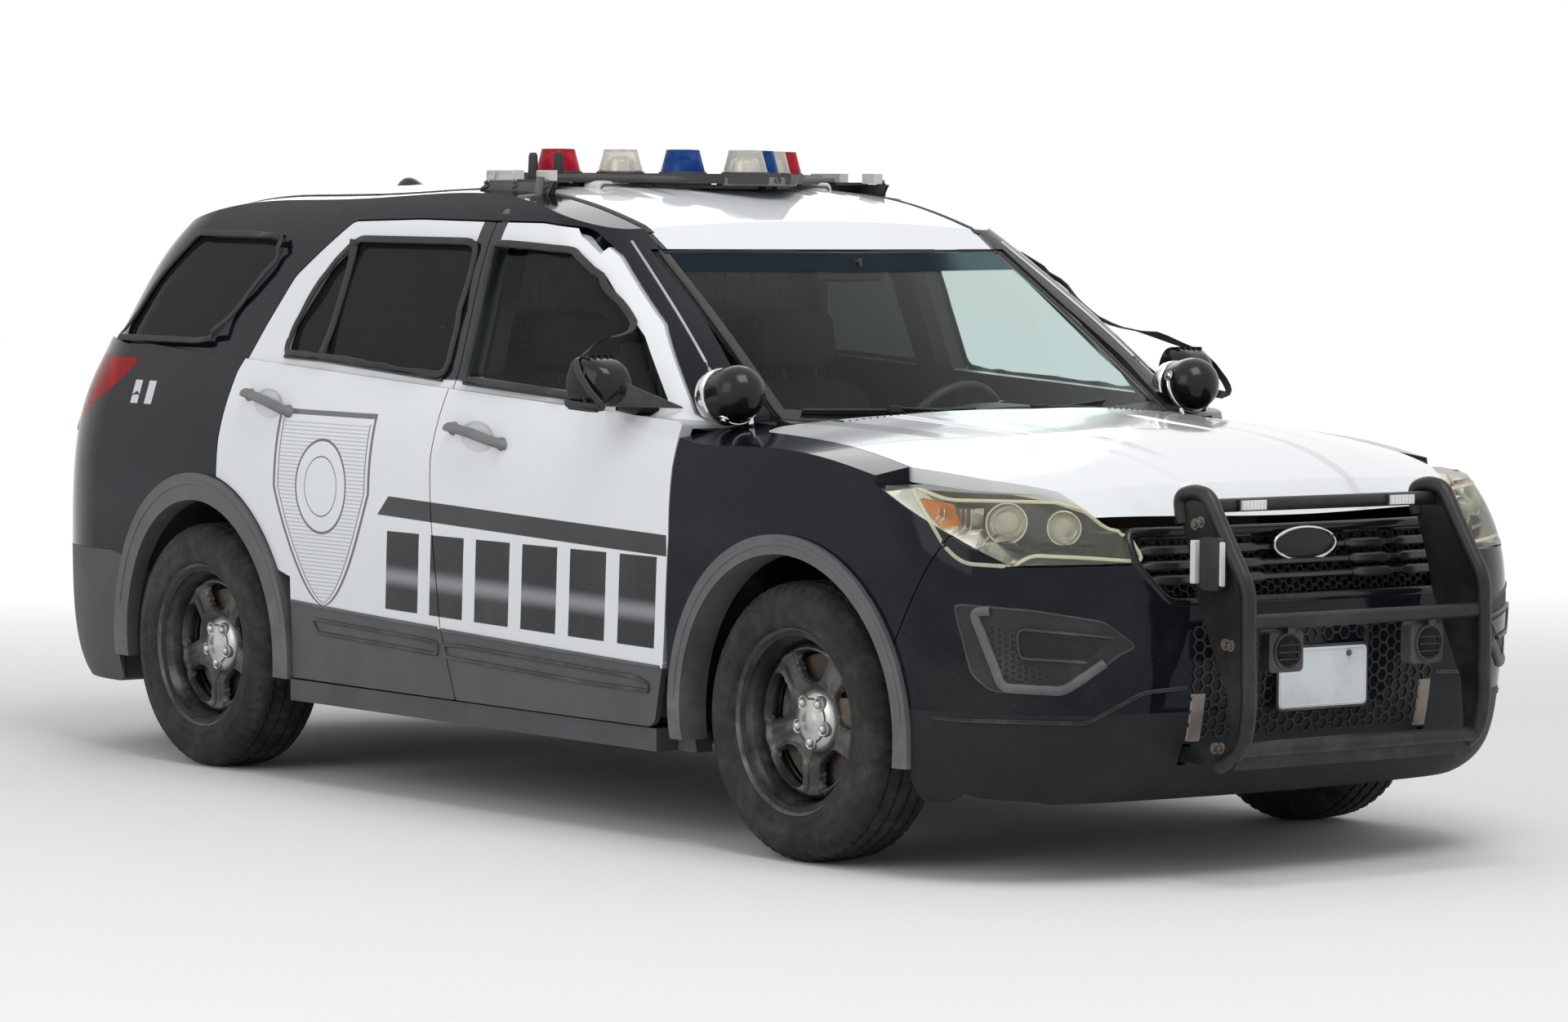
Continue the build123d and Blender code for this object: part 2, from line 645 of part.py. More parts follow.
bumper = clear_arch(bumper, XF, FLARE_OUT_F, 1)
bumper = mirror(clear_arch(mirror(bumper, about=Plane.XZ), XF, FLARE_OUT_F, 1), about=Plane.XZ)
PLATE_Z = 507
PLATE_FACE = 958
PLATE_HOLE_Z = PLATE_Z + 57
PLATE_HOLE_Y = 89
PLATE_HOLE_R = 3
bumper = bumper + block(XF + 900, XF + PLATE_FACE, -152, 152, PLATE_Z - 76, PLATE_Z + 76)
for y in (-PLATE_HOLE_Y, PLATE_HOLE_Y):
    bumper = bumper - rod((XF + 900, y, PLATE_HOLE_Z), (XF + 1000, y, PLATE_HOLE_Z), PLATE_HOLE_R)
keep("front_bumper", biggest(bumper))

# Wheel arch flares stand proud of the skin
flare_skin = lower(-FLARE_PROUD) & block(X0, X1, -1200, -LINER_FACE - FIT, 0, 1200)


def flare(x, out, low_z):
    cut = rod_y(x, AXLE_Z, out, -1200, -700) - rod_y(x, AXLE_Z, FLARE_IN, -1250, -650)
    return biggest(flare_skin & cut & block(x - 700, x + 700, *RIGHT, low_z, 1200))


keep("arch_flares", both_sides(Compound([flare(XF, FLARE_OUT_F, 283), flare(XR, FLARE_OUT_R, 300)])))

# Cowl, roof panel and windshield
SCREEN_FOOT = [(-100, 1073, 0), (-250, 1097, 0), (-420, 1125, 0), (-600, 1155, 0)]
COWL_PLAN = [(-458, -690, 0), (-300, -690, 0), (-175, -380, 0), (-160, 0, 0), (-175, 380, 0), (-300, 690, 0),
             (-458, 690, 0)]
RISER = [(-228, 0), (-248, 300), (-293, 500), (-322, 600), (-355, 692)]
RISER_T = 62
below_screen = [(x, z - FIT, r) for x, z, r in SCREEN_FOOT] + [(-600, COWL_TOP - 1, 0),
    (-100, COWL_TOP - 1, 0)]
foot_high = side_cut(from_axle(SCREEN_FOOT + [(-1300, 1300, 0), (-1300, 1700, 0), (-100, 1700, 0)]), -900,
    900)
riser = [(x, y, 0) for x, y in RISER] + [(x - RISER_T, y, 0) for x, y in RISER[::-1]]
riser = riser + [(x - RISER_T, -y, 0) for x, y in RISER[1:]] + [(x, -y, 0) for x, y in RISER[:0:-1]]
cowl = plan_cut(from_axle(riser), COWL_TOP - 1, 1200) & side_cut(from_axle(below_screen), -900, 900)
cowl = cowl + plan_cut(from_axle(COWL_PLAN), COWL_TOP - COWL_T, COWL_TOP)
for t in (-1, 1):
    cowl = cowl + block(*HOOD_TAB, *sorted((t * (HOOD_TAB_Y + FIT), t * (HOOD_TAB_Y + 12))), COWL_TOP - 1,
        COWL_TOP + 13)
keep("cowl_panel", biggest(cowl))
roof = U0 & block(XF + ROOF_END_X + SHUT, XF + HEADER_X + 100, -ROOF_SEAM, ROOF_SEAM, GLASS_TOP + FIT, 1900)
roof = roof - side_cut(from_axle(CAVITY_SIDE), -1200, 1200)
GATE_TAB_Y = 358
for t in (-1, 1):
    roof = roof + block(XF - 3385, XF - 3310, *sorted((t * (GATE_TAB_Y - 8), t * GATE_TAB_Y)), 1598, 1612)
keep("roof_panel", biggest(roof))
screen = upper(8) - upper(14)
keep("windshield", biggest(screen & screen_zone(SHUT) & foot_high))

# Liftgate and its glass
GATE_LOW = BUMPER_TOP + SHUT
GATE_WELL = [(-3000, 0, 0), (-3850, 500, 0), (-3960, 1000, 0), (-3850, 1240, 0), (-3560, 1560, 0),
    (-3330, 1640, 0),
             (-3000, 1640, 0)]
gate = (L0 + U0) & gate_zone(0, GATE_LOW, ROOF_END_X)
gate = gate - side_cut(from_axle(GATE_WELL), -1200, 1200)
REAR_GLASS = [(-600, 1290, 60), (600, 1290, 60), (530, 1555, 60), (-530, 1555, 60)]
gate = gate - front_cut(REAR_GLASS, XR - 1500, XR - 500)
for t in (-1, 1):
    gate = gate + block(XF - 3420, XF - 3345, *sorted((t * (GATE_TAB_Y + FIT), t * (GATE_TAB_Y + 8))), 1596,
        1642)
keep("liftgate", biggest(gate))
keep("glass_liftgate", biggest(PANES & front_cut(grown(REAR_GLASS, -FIT), XR - 1500, XR - 640)))

# Rear bumper
RAIL_Y0 = 410
RAIL_Y1 = LINER_Y - LINER_WALL - FIT
RAIL_END = 3830
REAR_BUMPER = [
    (-4300, 215, 0), (-4300, BUMPER_TOP - 1, 0), (-3400, BUMPER_TOP - 1, 0), (-3200, 576, 0), (-3180, 300, 0),
    (-3400, 215, 0),
]
REAR_WELL = [(-3000, -850, 0), (-3450, -820, 0), (-3750, -640, 150), (-3960, -300, 0), (-3980, 0, 0),
    (-3960, 300, 0),
             (-3750, 640, 150), (-3450, 820, 0), (-3000, 850, 0)]
rear_bumper = (L0 & side_cut(from_axle(REAR_BUMPER), -1200, 1200)) - plan_cut(from_axle(REAR_WELL), 0, 700)
rear_bumper = clear_arch(rear_bumper, XR, FLARE_OUT_R, 1)
rear_bumper = mirror(clear_arch(mirror(rear_bumper, about=Plane.XZ), XR, FLARE_OUT_R, 1), about=Plane.XZ)
for s in (-1, 1):
    y0, y1 = sorted((s * RAIL_Y0, s * RAIL_Y1))
    rear_bumper = rear_bumper + block(XF - 3900, XF - RAIL_END - FIT, y0, y1, 480, 590)
keep("rear_bumper", biggest(rear_bumper))

# Floor, firewall and front frame
FLOOR_Z = 262
FLOOR_T = 30
KICK = -2560
CARGO_Z = 600
SILL_FACE = WIDEST - SILL_IN - 70 - FIT
TUNNEL_TOP = 505
FIREWALL_X = -460
ARCH_R = FLARE_OUT_R + LINER_OVER + FIT
floor = block(XF + KICK, XF + FIREWALL_X + 20, -SILL_FACE, SILL_FACE, FLOOR_Z, FLOOR_Z + FLOOR_T)
floor = floor + block(XF + FIREWALL_X, XF + FIREWALL_X + 20, -SILL_FACE, SILL_FACE, FLOOR_Z, 1000)
floor = floor + block(XF + FIREWALL_X, XF + FIREWALL_X + 20, -690, 690, 999, COWL_TOP - COWL_T - FIT)
floor = floor + block(XF - 1300, XF + FIREWALL_X + 20, -155, 155, FLOOR_Z, TUNNEL_TOP)
floor = floor + block(XF + KICK, XF + KICK + 20, -SILL_FACE, SILL_FACE, FLOOR_Z, CARGO_Z + 25)
CARGO = [(KICK, -SILL_FACE, 0), (-3400, -SILL_FACE, 0), (-3700, -580, 0), (-3830, -400, 0),
         (-3830, 400, 0), (-3700, 580, 0), (-3400, SILL_FACE, 0), (KICK, SILL_FACE, 0)]
floor = floor + plan_cut(from_axle(CARGO), CARGO_Z, CARGO_Z + 25)
for s in (-1, 1):
    floor = floor - rod_y(XR, AXLE_Z, ARCH_R, *sorted((s * RAIL_Y1, s * 1200)))
    y0, y1 = sorted((s * RAIL_Y0, s * RAIL_Y1))
    floor = floor + block(XF + FIREWALL_X, XF + 741, y0, y1, 430, 540)
    floor = floor + block(XF - RAIL_END, XF + KICK + 1, y0, y1, 480, CARGO_Z + 1)
    floor = floor + block(XF + 641, XF + TIE_X - 1, y0, y1, 430, 830)
floor = floor - block(XF - 1280, XF, -140, 140, 0, TUNNEL_TOP - 15)
for s in (-1, 1):
    front_house = rod_y(XF, AXLE_Z, FLARE_OUT_F + LINER_OVER + FIT, *sorted((s * RAIL_Y1, s * 1200)))
    floor = floor - front_house + block(XF + 740, XF + 760 - FIT, *sorted((s * 390, s * 430)), 300, 455)
floor = floor + block(XF + 740, XF + 760 - FIT, -480, 480, 450, 560)
floor = floor + block(XF + 640, XF + TIE_X, -690, 690, 800, 850)
keep("floor_pan", biggest(floor))

# Cabin fittings
DASH = [(FIREWALL_X - FIT, 700, 0), (FIREWALL_X - FIT, 1058, 0), (-520, 1075, 20), (-700, 1105, 60),
    (-850, 1010, 60), (-870, 860, 60), (-720, 640, 40)]
DASH_HALF = 800
DASH_Z = 1015
WHEEL_AT = (XF - 1010, 400, 1015)
WHEEL_TILT = 24
WHEEL_RIM_R = 178
COLUMN = 110
hub_dir = (-math.cos(math.radians(WHEEL_TILT)), 0, math.sin(math.radians(WHEEL_TILT)))
steer = Plane(WHEEL_AT, x_dir=(0, 1, 0), z_dir=hub_dir)
wheel = steer * (Torus(WHEEL_RIM_R, 15) + Cylinder(52, 40) + Box(2 * WHEEL_RIM_R - 10, 36, 16)
                 + Pos(0, -90, 0) * Box(40, 170, 16) + Pos(0, 0, -COLUMN / 2) * Cylinder(22, COLUMN))
keep("steering_wheel", biggest(wheel))
shroud = steer * (Pos(0, 0, -COLUMN - FIT - 60) * Cylinder(36, 120))
dash = side_cut(from_axle(DASH), -DASH_HALF, DASH_HALF) + shroud
for s in (-1, 1):
    dash = dash - block(XF - 485, XF - 440, *sorted((s * (SCREEN_HALF_LOW - 4), s * 850)), 1025, 1200)
keep("dashboard", biggest(dash))


def seat(y, wide):
    x = -1160
    y0, y1 = y - wide / 2, y + wide / 2
    out = side_cut(from_axle([(x, 430, 40), (x, 560, 60), (x - 520, 520, 40), (x - 520, 400, 40)]), y0, y1)
    out = out + side_cut(from_axle([(x - 440, 470, 40), (x - 560, 1170, 50), (x - 680, 1170, 50),
        (x - 600, 430, 40)]), y0, y1)
    out = out + side_cut(from_axle([(x - 585, 1200, 30), (x - 600, 1370, 40), (x - 690, 1370, 40),
        (x - 680, 1200, 30)]),
                         y - 125, y + 125)
    out = out + block(XF + x - 640, XF + x - 620, y - 50, y + 50, 1150, 1220)
    return out + block(XF + x - 500, XF + x - 60, y0 + 60, y1 - 60, FLOOR_Z + FLOOR_T + FIT, 450)


keep("front_seats", Compound([seat(412, 500), seat(-412, 500)]))
bench = side_cut(from_axle([(-2010, 430, 40), (-2010, 600, 60), (-2325, 570, 0), (-2325, 430, 0)]), -640, 640)
bench = bench + side_cut(from_axle([(-2320, 430, 0), (-2320, 570, 0), (-2530, 560, 0), (-2530, 430, 0)]),
    -480, 480)
BACK = [(-2450, 560, 0), (-2600, 1180, 50), (-2730, 1180, 50), (-2640, 640, 30), (-2530, 640, 0),
    (-2530, 560, 0)]
bench = bench + side_cut(from_axle(BACK), -480, 480)
bench = bench + (side_cut(from_axle(BACK), -640, 640) & block(XR - 500, XF, -700, 700, 900, 1300))
bench = bench + block(XF - 2320, XF - 2040, -560, 560, FLOOR_Z + FLOOR_T + FIT, 431)
keep("rear_bench", biggest(bench))
PARTITION_X = -1900
partition = CAVITY & block(XF + PARTITION_X, XF + PARTITION_X + 20, -900, 900, SILL_TOP + 20, 1900)
partition = partition & block(XR, XF, -640, 640, 0, 1600)
partition = partition + block(XF + PARTITION_X, XF + PARTITION_X + 20, -640, 640, FLOOR_Z + FLOOR_T + FIT,
    SILL_TOP + 21)
keep("partition", biggest(partition))

# Running gear
keep("engine_block", block(XF - 330, XF + 400, -290, 290, 330, 920))
driveline = block(XF - 1100, XF - 330 - FIT, -120, 120, 200, 470) + rod((XF - 1099, 0, 218),
    (XR + 150, 0, 218), 36)
driveline = driveline + block(XR - 140, XR + 160, -140, 140, 182, 440)
keep("driveline", biggest(driveline))
pipe = [(-1200, 215), (-2590, 215), (-2740, 340), (-3560, 340)]
exhaust = block(XF - 1700, XF - 1250, -330, -190, 165, 250) + block(XF - 1500, XF - 1450, -270, -240, 249,
    FLOOR_Z - FIT)
for (xa, za), (xb, zb) in zip(pipe, pipe[1:]):
    exhaust = exhaust + rod((XF + xa, -270, za), (XF + xb, -270, zb), 32) + Pos(XF + xb, -270,
        zb) * Sphere(32)
keep("exhaust", biggest(exhaust))
keep("fuel_tank", block(XR + 430, XR + 1200, 160, 620, 180, FLOOR_Z - FIT))

# Wheels: profile along the axle, outward positive
RIM_SEAT_R = 229
TYRE_SECTION = [
    (-101, RIM_SEAT_R + FIT, 0), (-112, 262, 0), (-TYRE_W / 2, 305, 0), (-118, 335, 0), (-98, 356, 0), (-60,
        TYRE_R - 1.5, 0),
    (0, TYRE_R, 0), (60, TYRE_R - 1.5, 0), (98, 356, 0), (118, 335, 0), (TYRE_W / 2, 305, 0), (112, 262, 0),
    (101, RIM_SEAT_R + FIT, 0), (60, RIM_SEAT_R + FIT, 0), (60, 262, 0), (98, 300, 0), (60, 345, 0), (-60,
        345, 0),
    (-98, 300, 0), (-60, 262, 0), (-60, RIM_SEAT_R + FIT, 0),
]
RIM_SECTION = [
    (-98, 222, 0), (-98, RIM_SEAT_R, 0), (98, RIM_SEAT_R, 0), (98, 222, 0), (60, 216, 0), (66, 205, 0), (84,
        165, 0),
    (78, 120, 0), (56, 95, 0), (56, 0, 0), (46, 0, 0), (46, 100, 0), (68, 125, 0), (74, 160, 0), (56, 205,
        0), (30, 216, 0),
]


def turned(section, x, side, y):
    face = Face(Wire(Polyline([(x, y + side * a, AXLE_Z + r) for a, r, _ in section], close=True)))
    return revolve(face, Axis((x, y, AXLE_Z), (0, 1, 0)), 360)


WHEELS = [("front_right", XF, -1), ("front_left", XF, 1), ("rear_right", XR, -1), ("rear_left", XR, 1)]
for name, x, side in WHEELS:
    y = side * TRACK_HALF
    keep(f"tyre_{name}", turned(TYRE_SECTION, x, side, y))
    rim = turned(RIM_SECTION, x, side, y)
    for k in range(5):
        slot = Pos(x, y + side * 60, AXLE_Z) * Rot(0, 72 * k + 36, 0) * Pos(0, 0, 178) * Box(76, 120, 34)
        rim = rim - slot
    keep(f"rim_{name}", biggest(rim))

# Knuckles with brakes, and the suspensions. The kingpin leans inwards towards the top.
KING_LOW = (790, 205)
KING_TOP = (640, 780)
HUB_FACE = 46 - FIT
ARM_TOP = KING_LOW[1]
STRUT_SPLIT = 700
STRUT_R = 30
STRUT_TOP = AXLE_Z + LINER_IN - 2 * FIT - STRUT_R * 0.2523
king_lean = (KING_LOW[0] - KING_TOP[0]) / (KING_TOP[1] - KING_LOW[1])


def king_y(z):
    return KING_LOW[0] - (z - KING_LOW[1]) * king_lean


def hub_rod(x, side, a0, a1, r):
    return rod_y(x, AXLE_Z, r, *sorted((side * (TRACK_HALF + a0), side * (TRACK_HALF + a1))))


front_susp = block(XF - 180, XF + 180, -495, 495, 165, 228)
for name, side in (("right", -1), ("left", 1)):
    knuckle = hub_rod(XF, side, -20, HUB_FACE, 60) + hub_rod(XF, side, -24, 4, 172) + hub_rod(XF, side,
        -105, -20, 70)
    knuckle = knuckle + rod((XF, side * king_y(ARM_TOP + FIT), ARM_TOP + FIT),
        (XF, side * king_y(STRUT_SPLIT), STRUT_SPLIT), 26)
    knuckle = knuckle + block(XF + 95, XF + 165,
        *sorted((side * (TRACK_HALF - 50), side * (TRACK_HALF + 30))), 300, 430)
    keep(f"knuckle_{name}", biggest(knuckle))
    arm = plan_cut([(XF - 160, side * 400, 0), (XF + 160, side * 400, 0), (XF + 34, side * 770, 0),
                    (XF + 20, side * 812, 0), (XF - 20, side * 812, 0), (XF - 34, side * 770,
                        0)], ARM_TOP - 36, ARM_TOP - 16)
    arm = arm + rod((XF, side * king_y(ARM_TOP - 25), ARM_TOP - 25), (XF, side * king_y(ARM_TOP), ARM_TOP),
        22)
    post = block(XF - 40, XF + 40, *sorted((side * (RAIL_Y0 + 10), side * (RAIL_Y1 - 5))), 227, 430 - FIT)
    mount = block(XF - 60, XF + 60, *sorted((side * 200, side * 260)), 227, 330 - FIT)
    front_susp = front_susp + arm + post + mount
front_susp = biggest(front_susp)
struts = []
for side in (-1, 1):
    z0 = STRUT_SPLIT + FIT
    struts.append(rod((XF, side * king_y(z0), z0), (XF, side * king_y(STRUT_TOP), STRUT_TOP), STRUT_R))
keep("front_suspension", Compound([front_susp] + [q.solid() for q in struts]))

DIFF_X = XR - 140
rear_susp = block(DIFF_X - FIT - 40, DIFF_X - FIT, -495, 495, 200, 260)
for side in (-1, 1):
    rear_susp = rear_susp + block(XR - 180, XR + 60, *sorted((side * 440, side * 495)), 200, 258)
    rear_susp = rear_susp + block(XR - 50, XR + 50, *sorted((side * 490, side * 760)), 200, 245)
    rear_susp = rear_susp + block(XR - 60, XR + 60, *sorted((side * 722, side * 760)), 200, 480)
    rear_susp = rear_susp + hub_rod(XR, side, -100, HUB_FACE, 60) + hub_rod(XR, side, -24, 4, 165)
    y0, y1 = sorted((side * RAIL_Y0, side * RAIL_Y1))
    rear_susp = rear_susp + Pos(XR + 10, (y0 + y1) / 2, (257 + 480 - FIT) / 2) * Cylinder(42, 480 - FIT - 257)
keep("rear_suspension", biggest(rear_susp))

# Mirrors on the front doors
MIRROR = [(-985, 1150, 20), (-1010, 1138, 20), (-1120, 1152, 30), (-1135, 1220, 30), (-1108, 1284, 30),
    (-1000, 1286, 30),
          (-972, 1230, 30)]
mirror_shell = front_cut(MIRROR, XF - 760, XF - 640)
foot = front_cut([(-890, 1134, 0), (-1020, 1134, 0), (-1020, 1160, 0), (-890, 1160, 0)], XF - 720, XF - 620)
mirror_right = biggest(mirror_shell + foot - (lower(-FIT) & BELOW) - upper(-FIT))
keep("mirror_right", mirror_right)
keep("mirror_left", left_of(mirror_right))

# Push bumper: two uprights with tube edges, a top tube, a flat band and lamps
UPRIGHT_Y = 409
UPRIGHT = [(870, 300, 20), (868, 420, 30), (950, 560, 40), (962, 760, 40), (905, 985, 30), (945, 1000, 25),
           (FRONT_REACH - 14, 800, 40), (FRONT_REACH, 710, 20), (FRONT_REACH, 640, 20), (1126, 348,
               30), (1035, 297, 20)]
UPRIGHT_HOLE = [(915, 342, 15), (912, 405, 30), (996, 552, 30), (1006, 752, 30), (978, 880, 20),
    (1090, 776, 40),
                (FRONT_REACH - 46, 660, 40), (1082, 366, 20), (1030, 340, 15)]
parts = []
for s in (-1, 1):
    plate = side_cut(from_axle(UPRIGHT), *sorted((s * (UPRIGHT_Y - 6), s * (UPRIGHT_Y + 6))))
    rim_band = side_cut(from_axle(UPRIGHT), *sorted((s * (UPRIGHT_Y - 24), s * (UPRIGHT_Y + 24))))
    rim_band = rim_band - side_cut(from_axle(UPRIGHT_HOLE),
        *sorted((s * (UPRIGHT_Y - 30), s * (UPRIGHT_Y + 30))))
    parts.append(plate + rim_band)
push = parts[0] + parts[1]
push = push + rod((XF + 935, -UPRIGHT_Y, 968), (XF + 935, UPRIGHT_Y, 968), 25)
push = push + block(XF + FRONT_REACH - 40, XF + FRONT_REACH - 28, -UPRIGHT_Y, UPRIGHT_Y, 590, 700)
push = push + block(XF + 1060, XF + 1072, -UPRIGHT_Y, UPRIGHT_Y, 320, 440)
push = push - lower(-3)
for t in (-1, 1):
    ys = sorted((t * (UPRIGHT_Y - 6), t * (UPRIGHT_Y + 6)))
    push = push + block(XF + 760, XF + 1000, *ys, 305, 345)
keep("push_bumper", biggest(push))

# Light bar: a V of black base with seven domes, on side brackets
BAR_APEX = -1459
DOME_STEP_X = -119
DOME_STEP_Y = 135
BAR_TOP = 1776
BAR_T = 28
DOME_R = 66
DOME_TOP_R = 48
DOME_H = 68
tips = [(BAR_APEX + 150, 0), (BAR_APEX + 3.4 * DOME_STEP_X + 110, 3.4 * DOME_STEP_Y + 60),
        (BAR_APEX + 3.4 * DOME_STEP_X - 90, 3.4 * DOME_STEP_Y + 60), (BAR_APEX - 110, 0)]
bar_rows = [(tips[0][0], -50, 0), (tips[0][0], 50, 0), (tips[1][0], tips[1][1], 20),
    (tips[2][0], tips[2][1], 20),
            (tips[3][0], 0, 0), (tips[2][0], -tips[2][1], 20), (tips[1][0], -tips[1][1], 20)]
bar = plan_cut(from_axle(bar_rows), BAR_TOP - BAR_T, BAR_TOP)
domes = []
for k in range(-3, 4):
    at = (XF + BAR_APEX + abs(k) * DOME_STEP_X, k * DOME_STEP_Y, BAR_TOP + FIT + DOME_H / 2)
    domes.append((Pos(*at) * Cone(DOME_R, DOME_TOP_R, DOME_H)).solid())
BRACKET_Y = 600
for s in (-1, 1):
    ys = sorted((s * (BRACKET_Y - 4), s * (BRACKET_Y + 4)))
    leg = side_cut(from_axle([(-1545, 1750, 0), (-1583, 1690, 0), (-1660, 1706, 0), (-1800, 1722, 0),
        (-1950, 1700, 0),
                              (-1876, 1752, 0)]), *ys)
    link = block(XF - 1800, XF - 1640, *sorted((s * 480, s * BRACKET_Y)), BAR_TOP - BAR_T, BAR_TOP - BAR_T
        + 8)
    bar = bar + leg + link
bar = biggest(bar - roof_top(-FIT))
keep("light_bar", bar)
keep("light_domes", Compound(domes))

# Spotlights at the windshield corners
spots = Pos(XF - 403, -811, 1200) * Rot(0, 78, 20) * (Cylinder(74, 90) + Pos(0, 0, -45) * Sphere(74))
spots = spots + rod((XF - 440, -790, 1190), (XF - 500, -735, 1135), 14)
spots = biggest(spots) - upper(-FIT) - hood_top(-2) & block(XF - 700, XF, -1000, -600, 1000, 1400)
keep("spotlights", both_sides(biggest(spots)))

if __name__ == "__main__":
    os.makedirs("parts", exist_ok=True)
    for name, shape in PIECES.items():
        export_step(shape, f"parts/{name}.step")
        box = shape.bounding_box()
        print(name, shape.is_valid, len(shape.solids()), round(shape.volume / 1e6, 2),
              [round(v) for v in (box.min.X, box.max.X, box.min.Y, box.max.Y, box.min.Z, box.max.Z)])
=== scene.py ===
# %% [markdown]
# # Dressing a patrol SUV
# The solids of this vehicle come ready made and fixed in place. This lesson gives them paint, glass and
# rubber, and adds what is too fine for them: treads, seals, handles, lamp bowls, lamps on the roof and
# trim. Everything is measured in metres: +X points forward, +Y to the vehicle's left, and the ground is at
# z = 0.

# %% Load the fixed model
import bpy
import bmesh
import math
from mathutils import Matrix, Vector
from mathutils.bvhtree import BVHTree


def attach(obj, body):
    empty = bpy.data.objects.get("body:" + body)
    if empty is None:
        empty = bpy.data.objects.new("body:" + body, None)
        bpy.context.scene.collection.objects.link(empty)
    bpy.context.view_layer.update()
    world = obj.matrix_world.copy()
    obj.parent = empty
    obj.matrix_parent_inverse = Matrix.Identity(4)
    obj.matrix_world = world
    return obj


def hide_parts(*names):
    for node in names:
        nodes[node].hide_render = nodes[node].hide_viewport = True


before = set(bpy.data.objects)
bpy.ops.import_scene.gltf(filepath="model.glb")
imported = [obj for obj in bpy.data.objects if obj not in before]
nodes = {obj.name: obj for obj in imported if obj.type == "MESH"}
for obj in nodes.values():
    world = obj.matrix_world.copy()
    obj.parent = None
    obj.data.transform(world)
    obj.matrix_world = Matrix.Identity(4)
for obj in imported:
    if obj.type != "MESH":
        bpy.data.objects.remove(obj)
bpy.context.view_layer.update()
FRONT_AXLE = 1.466
REAR_AXLE = -1.399

# %% [markdown]
# The camera stands at the right front corner, about 14 m away, with a long lens. Its place was solved from
# wheel centres and known lengths. Three vectors give its directions: where it looks, its right and its up.

# %% Camera
PICTURE = (1920, 1251)
FOCAL = 6719
CAMERA_AT = (11.061 + FRONT_AXLE, -9.651, 1.716)
YAW, PITCH, ROLL = (math.radians(a) for a in (141.94, -3.29, 0.46))
look = Vector((math.cos(YAW) * math.cos(PITCH), math.sin(YAW) * math.cos(PITCH), math.sin(PITCH)))
level = look.cross(Vector((0, 0, 1))).normalized()
above = level.cross(look)
right = math.cos(ROLL) * level + math.sin(ROLL) * above
up = math.cos(ROLL) * above - math.sin(ROLL) * level
camera = bpy.data.objects.new("camera", bpy.data.cameras.new("camera"))
bpy.context.scene.collection.objects.link(camera)
camera.matrix_world = Matrix.Translation(CAMERA_AT) @ Matrix((right, up, -look)).transposed().to_4x4()
camera.data.sensor_width = 36
camera.data.lens = FOCAL / PICTURE[0] * 36
bpy.context.scene.camera = camera
bpy.context.scene.view_settings.view_transform = "Standard"
print("lens", round(camera.data.lens, 2))

# %% [markdown]
# Shader sums read best as sums. A small class wraps a socket, so that `1 - mask` or `a * b + c` adds the
# Math nodes by itself. One method makes every other node from its type, settings and socket values.


# %% Sockets as numbers
def maths(kind, swap=False):
    """A method that joins two values by one Math node."""
    def joined(self, other=0):
        first, second = (other, self) if swap else (self, other)
        return self.finish.node("ShaderNodeMath", {"operation": kind}, {0: first, 1: second})
    return joined


class Signal:
    """One output of a node tree that takes part in Python sums."""

    def __init__(self, finish, socket):
        self.finish = finish
        self.socket = socket

    __add__ = __radd__ = maths("ADD")
    __sub__, __rsub__ = maths("SUBTRACT"), maths("SUBTRACT", True)
    __mul__ = __rmul__ = maths("MULTIPLY")
    __truediv__, __pow__, __mod__ = maths("DIVIDE"), maths("POWER"), maths("FLOORED_MODULO")
    __gt__, __lt__ = maths("GREATER_THAN"), maths("LESS_THAN")
    size, top, low = maths("ABSOLUTE"), maths("MAXIMUM"), maths("MINIMUM")

    def fade(self, start, end):
        """0 before start, 1 after end, smooth between."""
        values = {"Value": self, "From Min": start, "From Max": end}
        return self.finish.node("ShaderNodeMapRange", {"interpolation_type": "SMOOTHSTEP"}, values)

    def over(self, soft=0.001):
        """1 where the value is above zero, with a hair-thin soft edge."""
        return self.fade(-soft, soft)

    def between(self, start, end, soft=0.0015):
        return self.fade(start - soft, start + soft) * (1 - self.fade(end - soft, end + soft))


finishes = {}


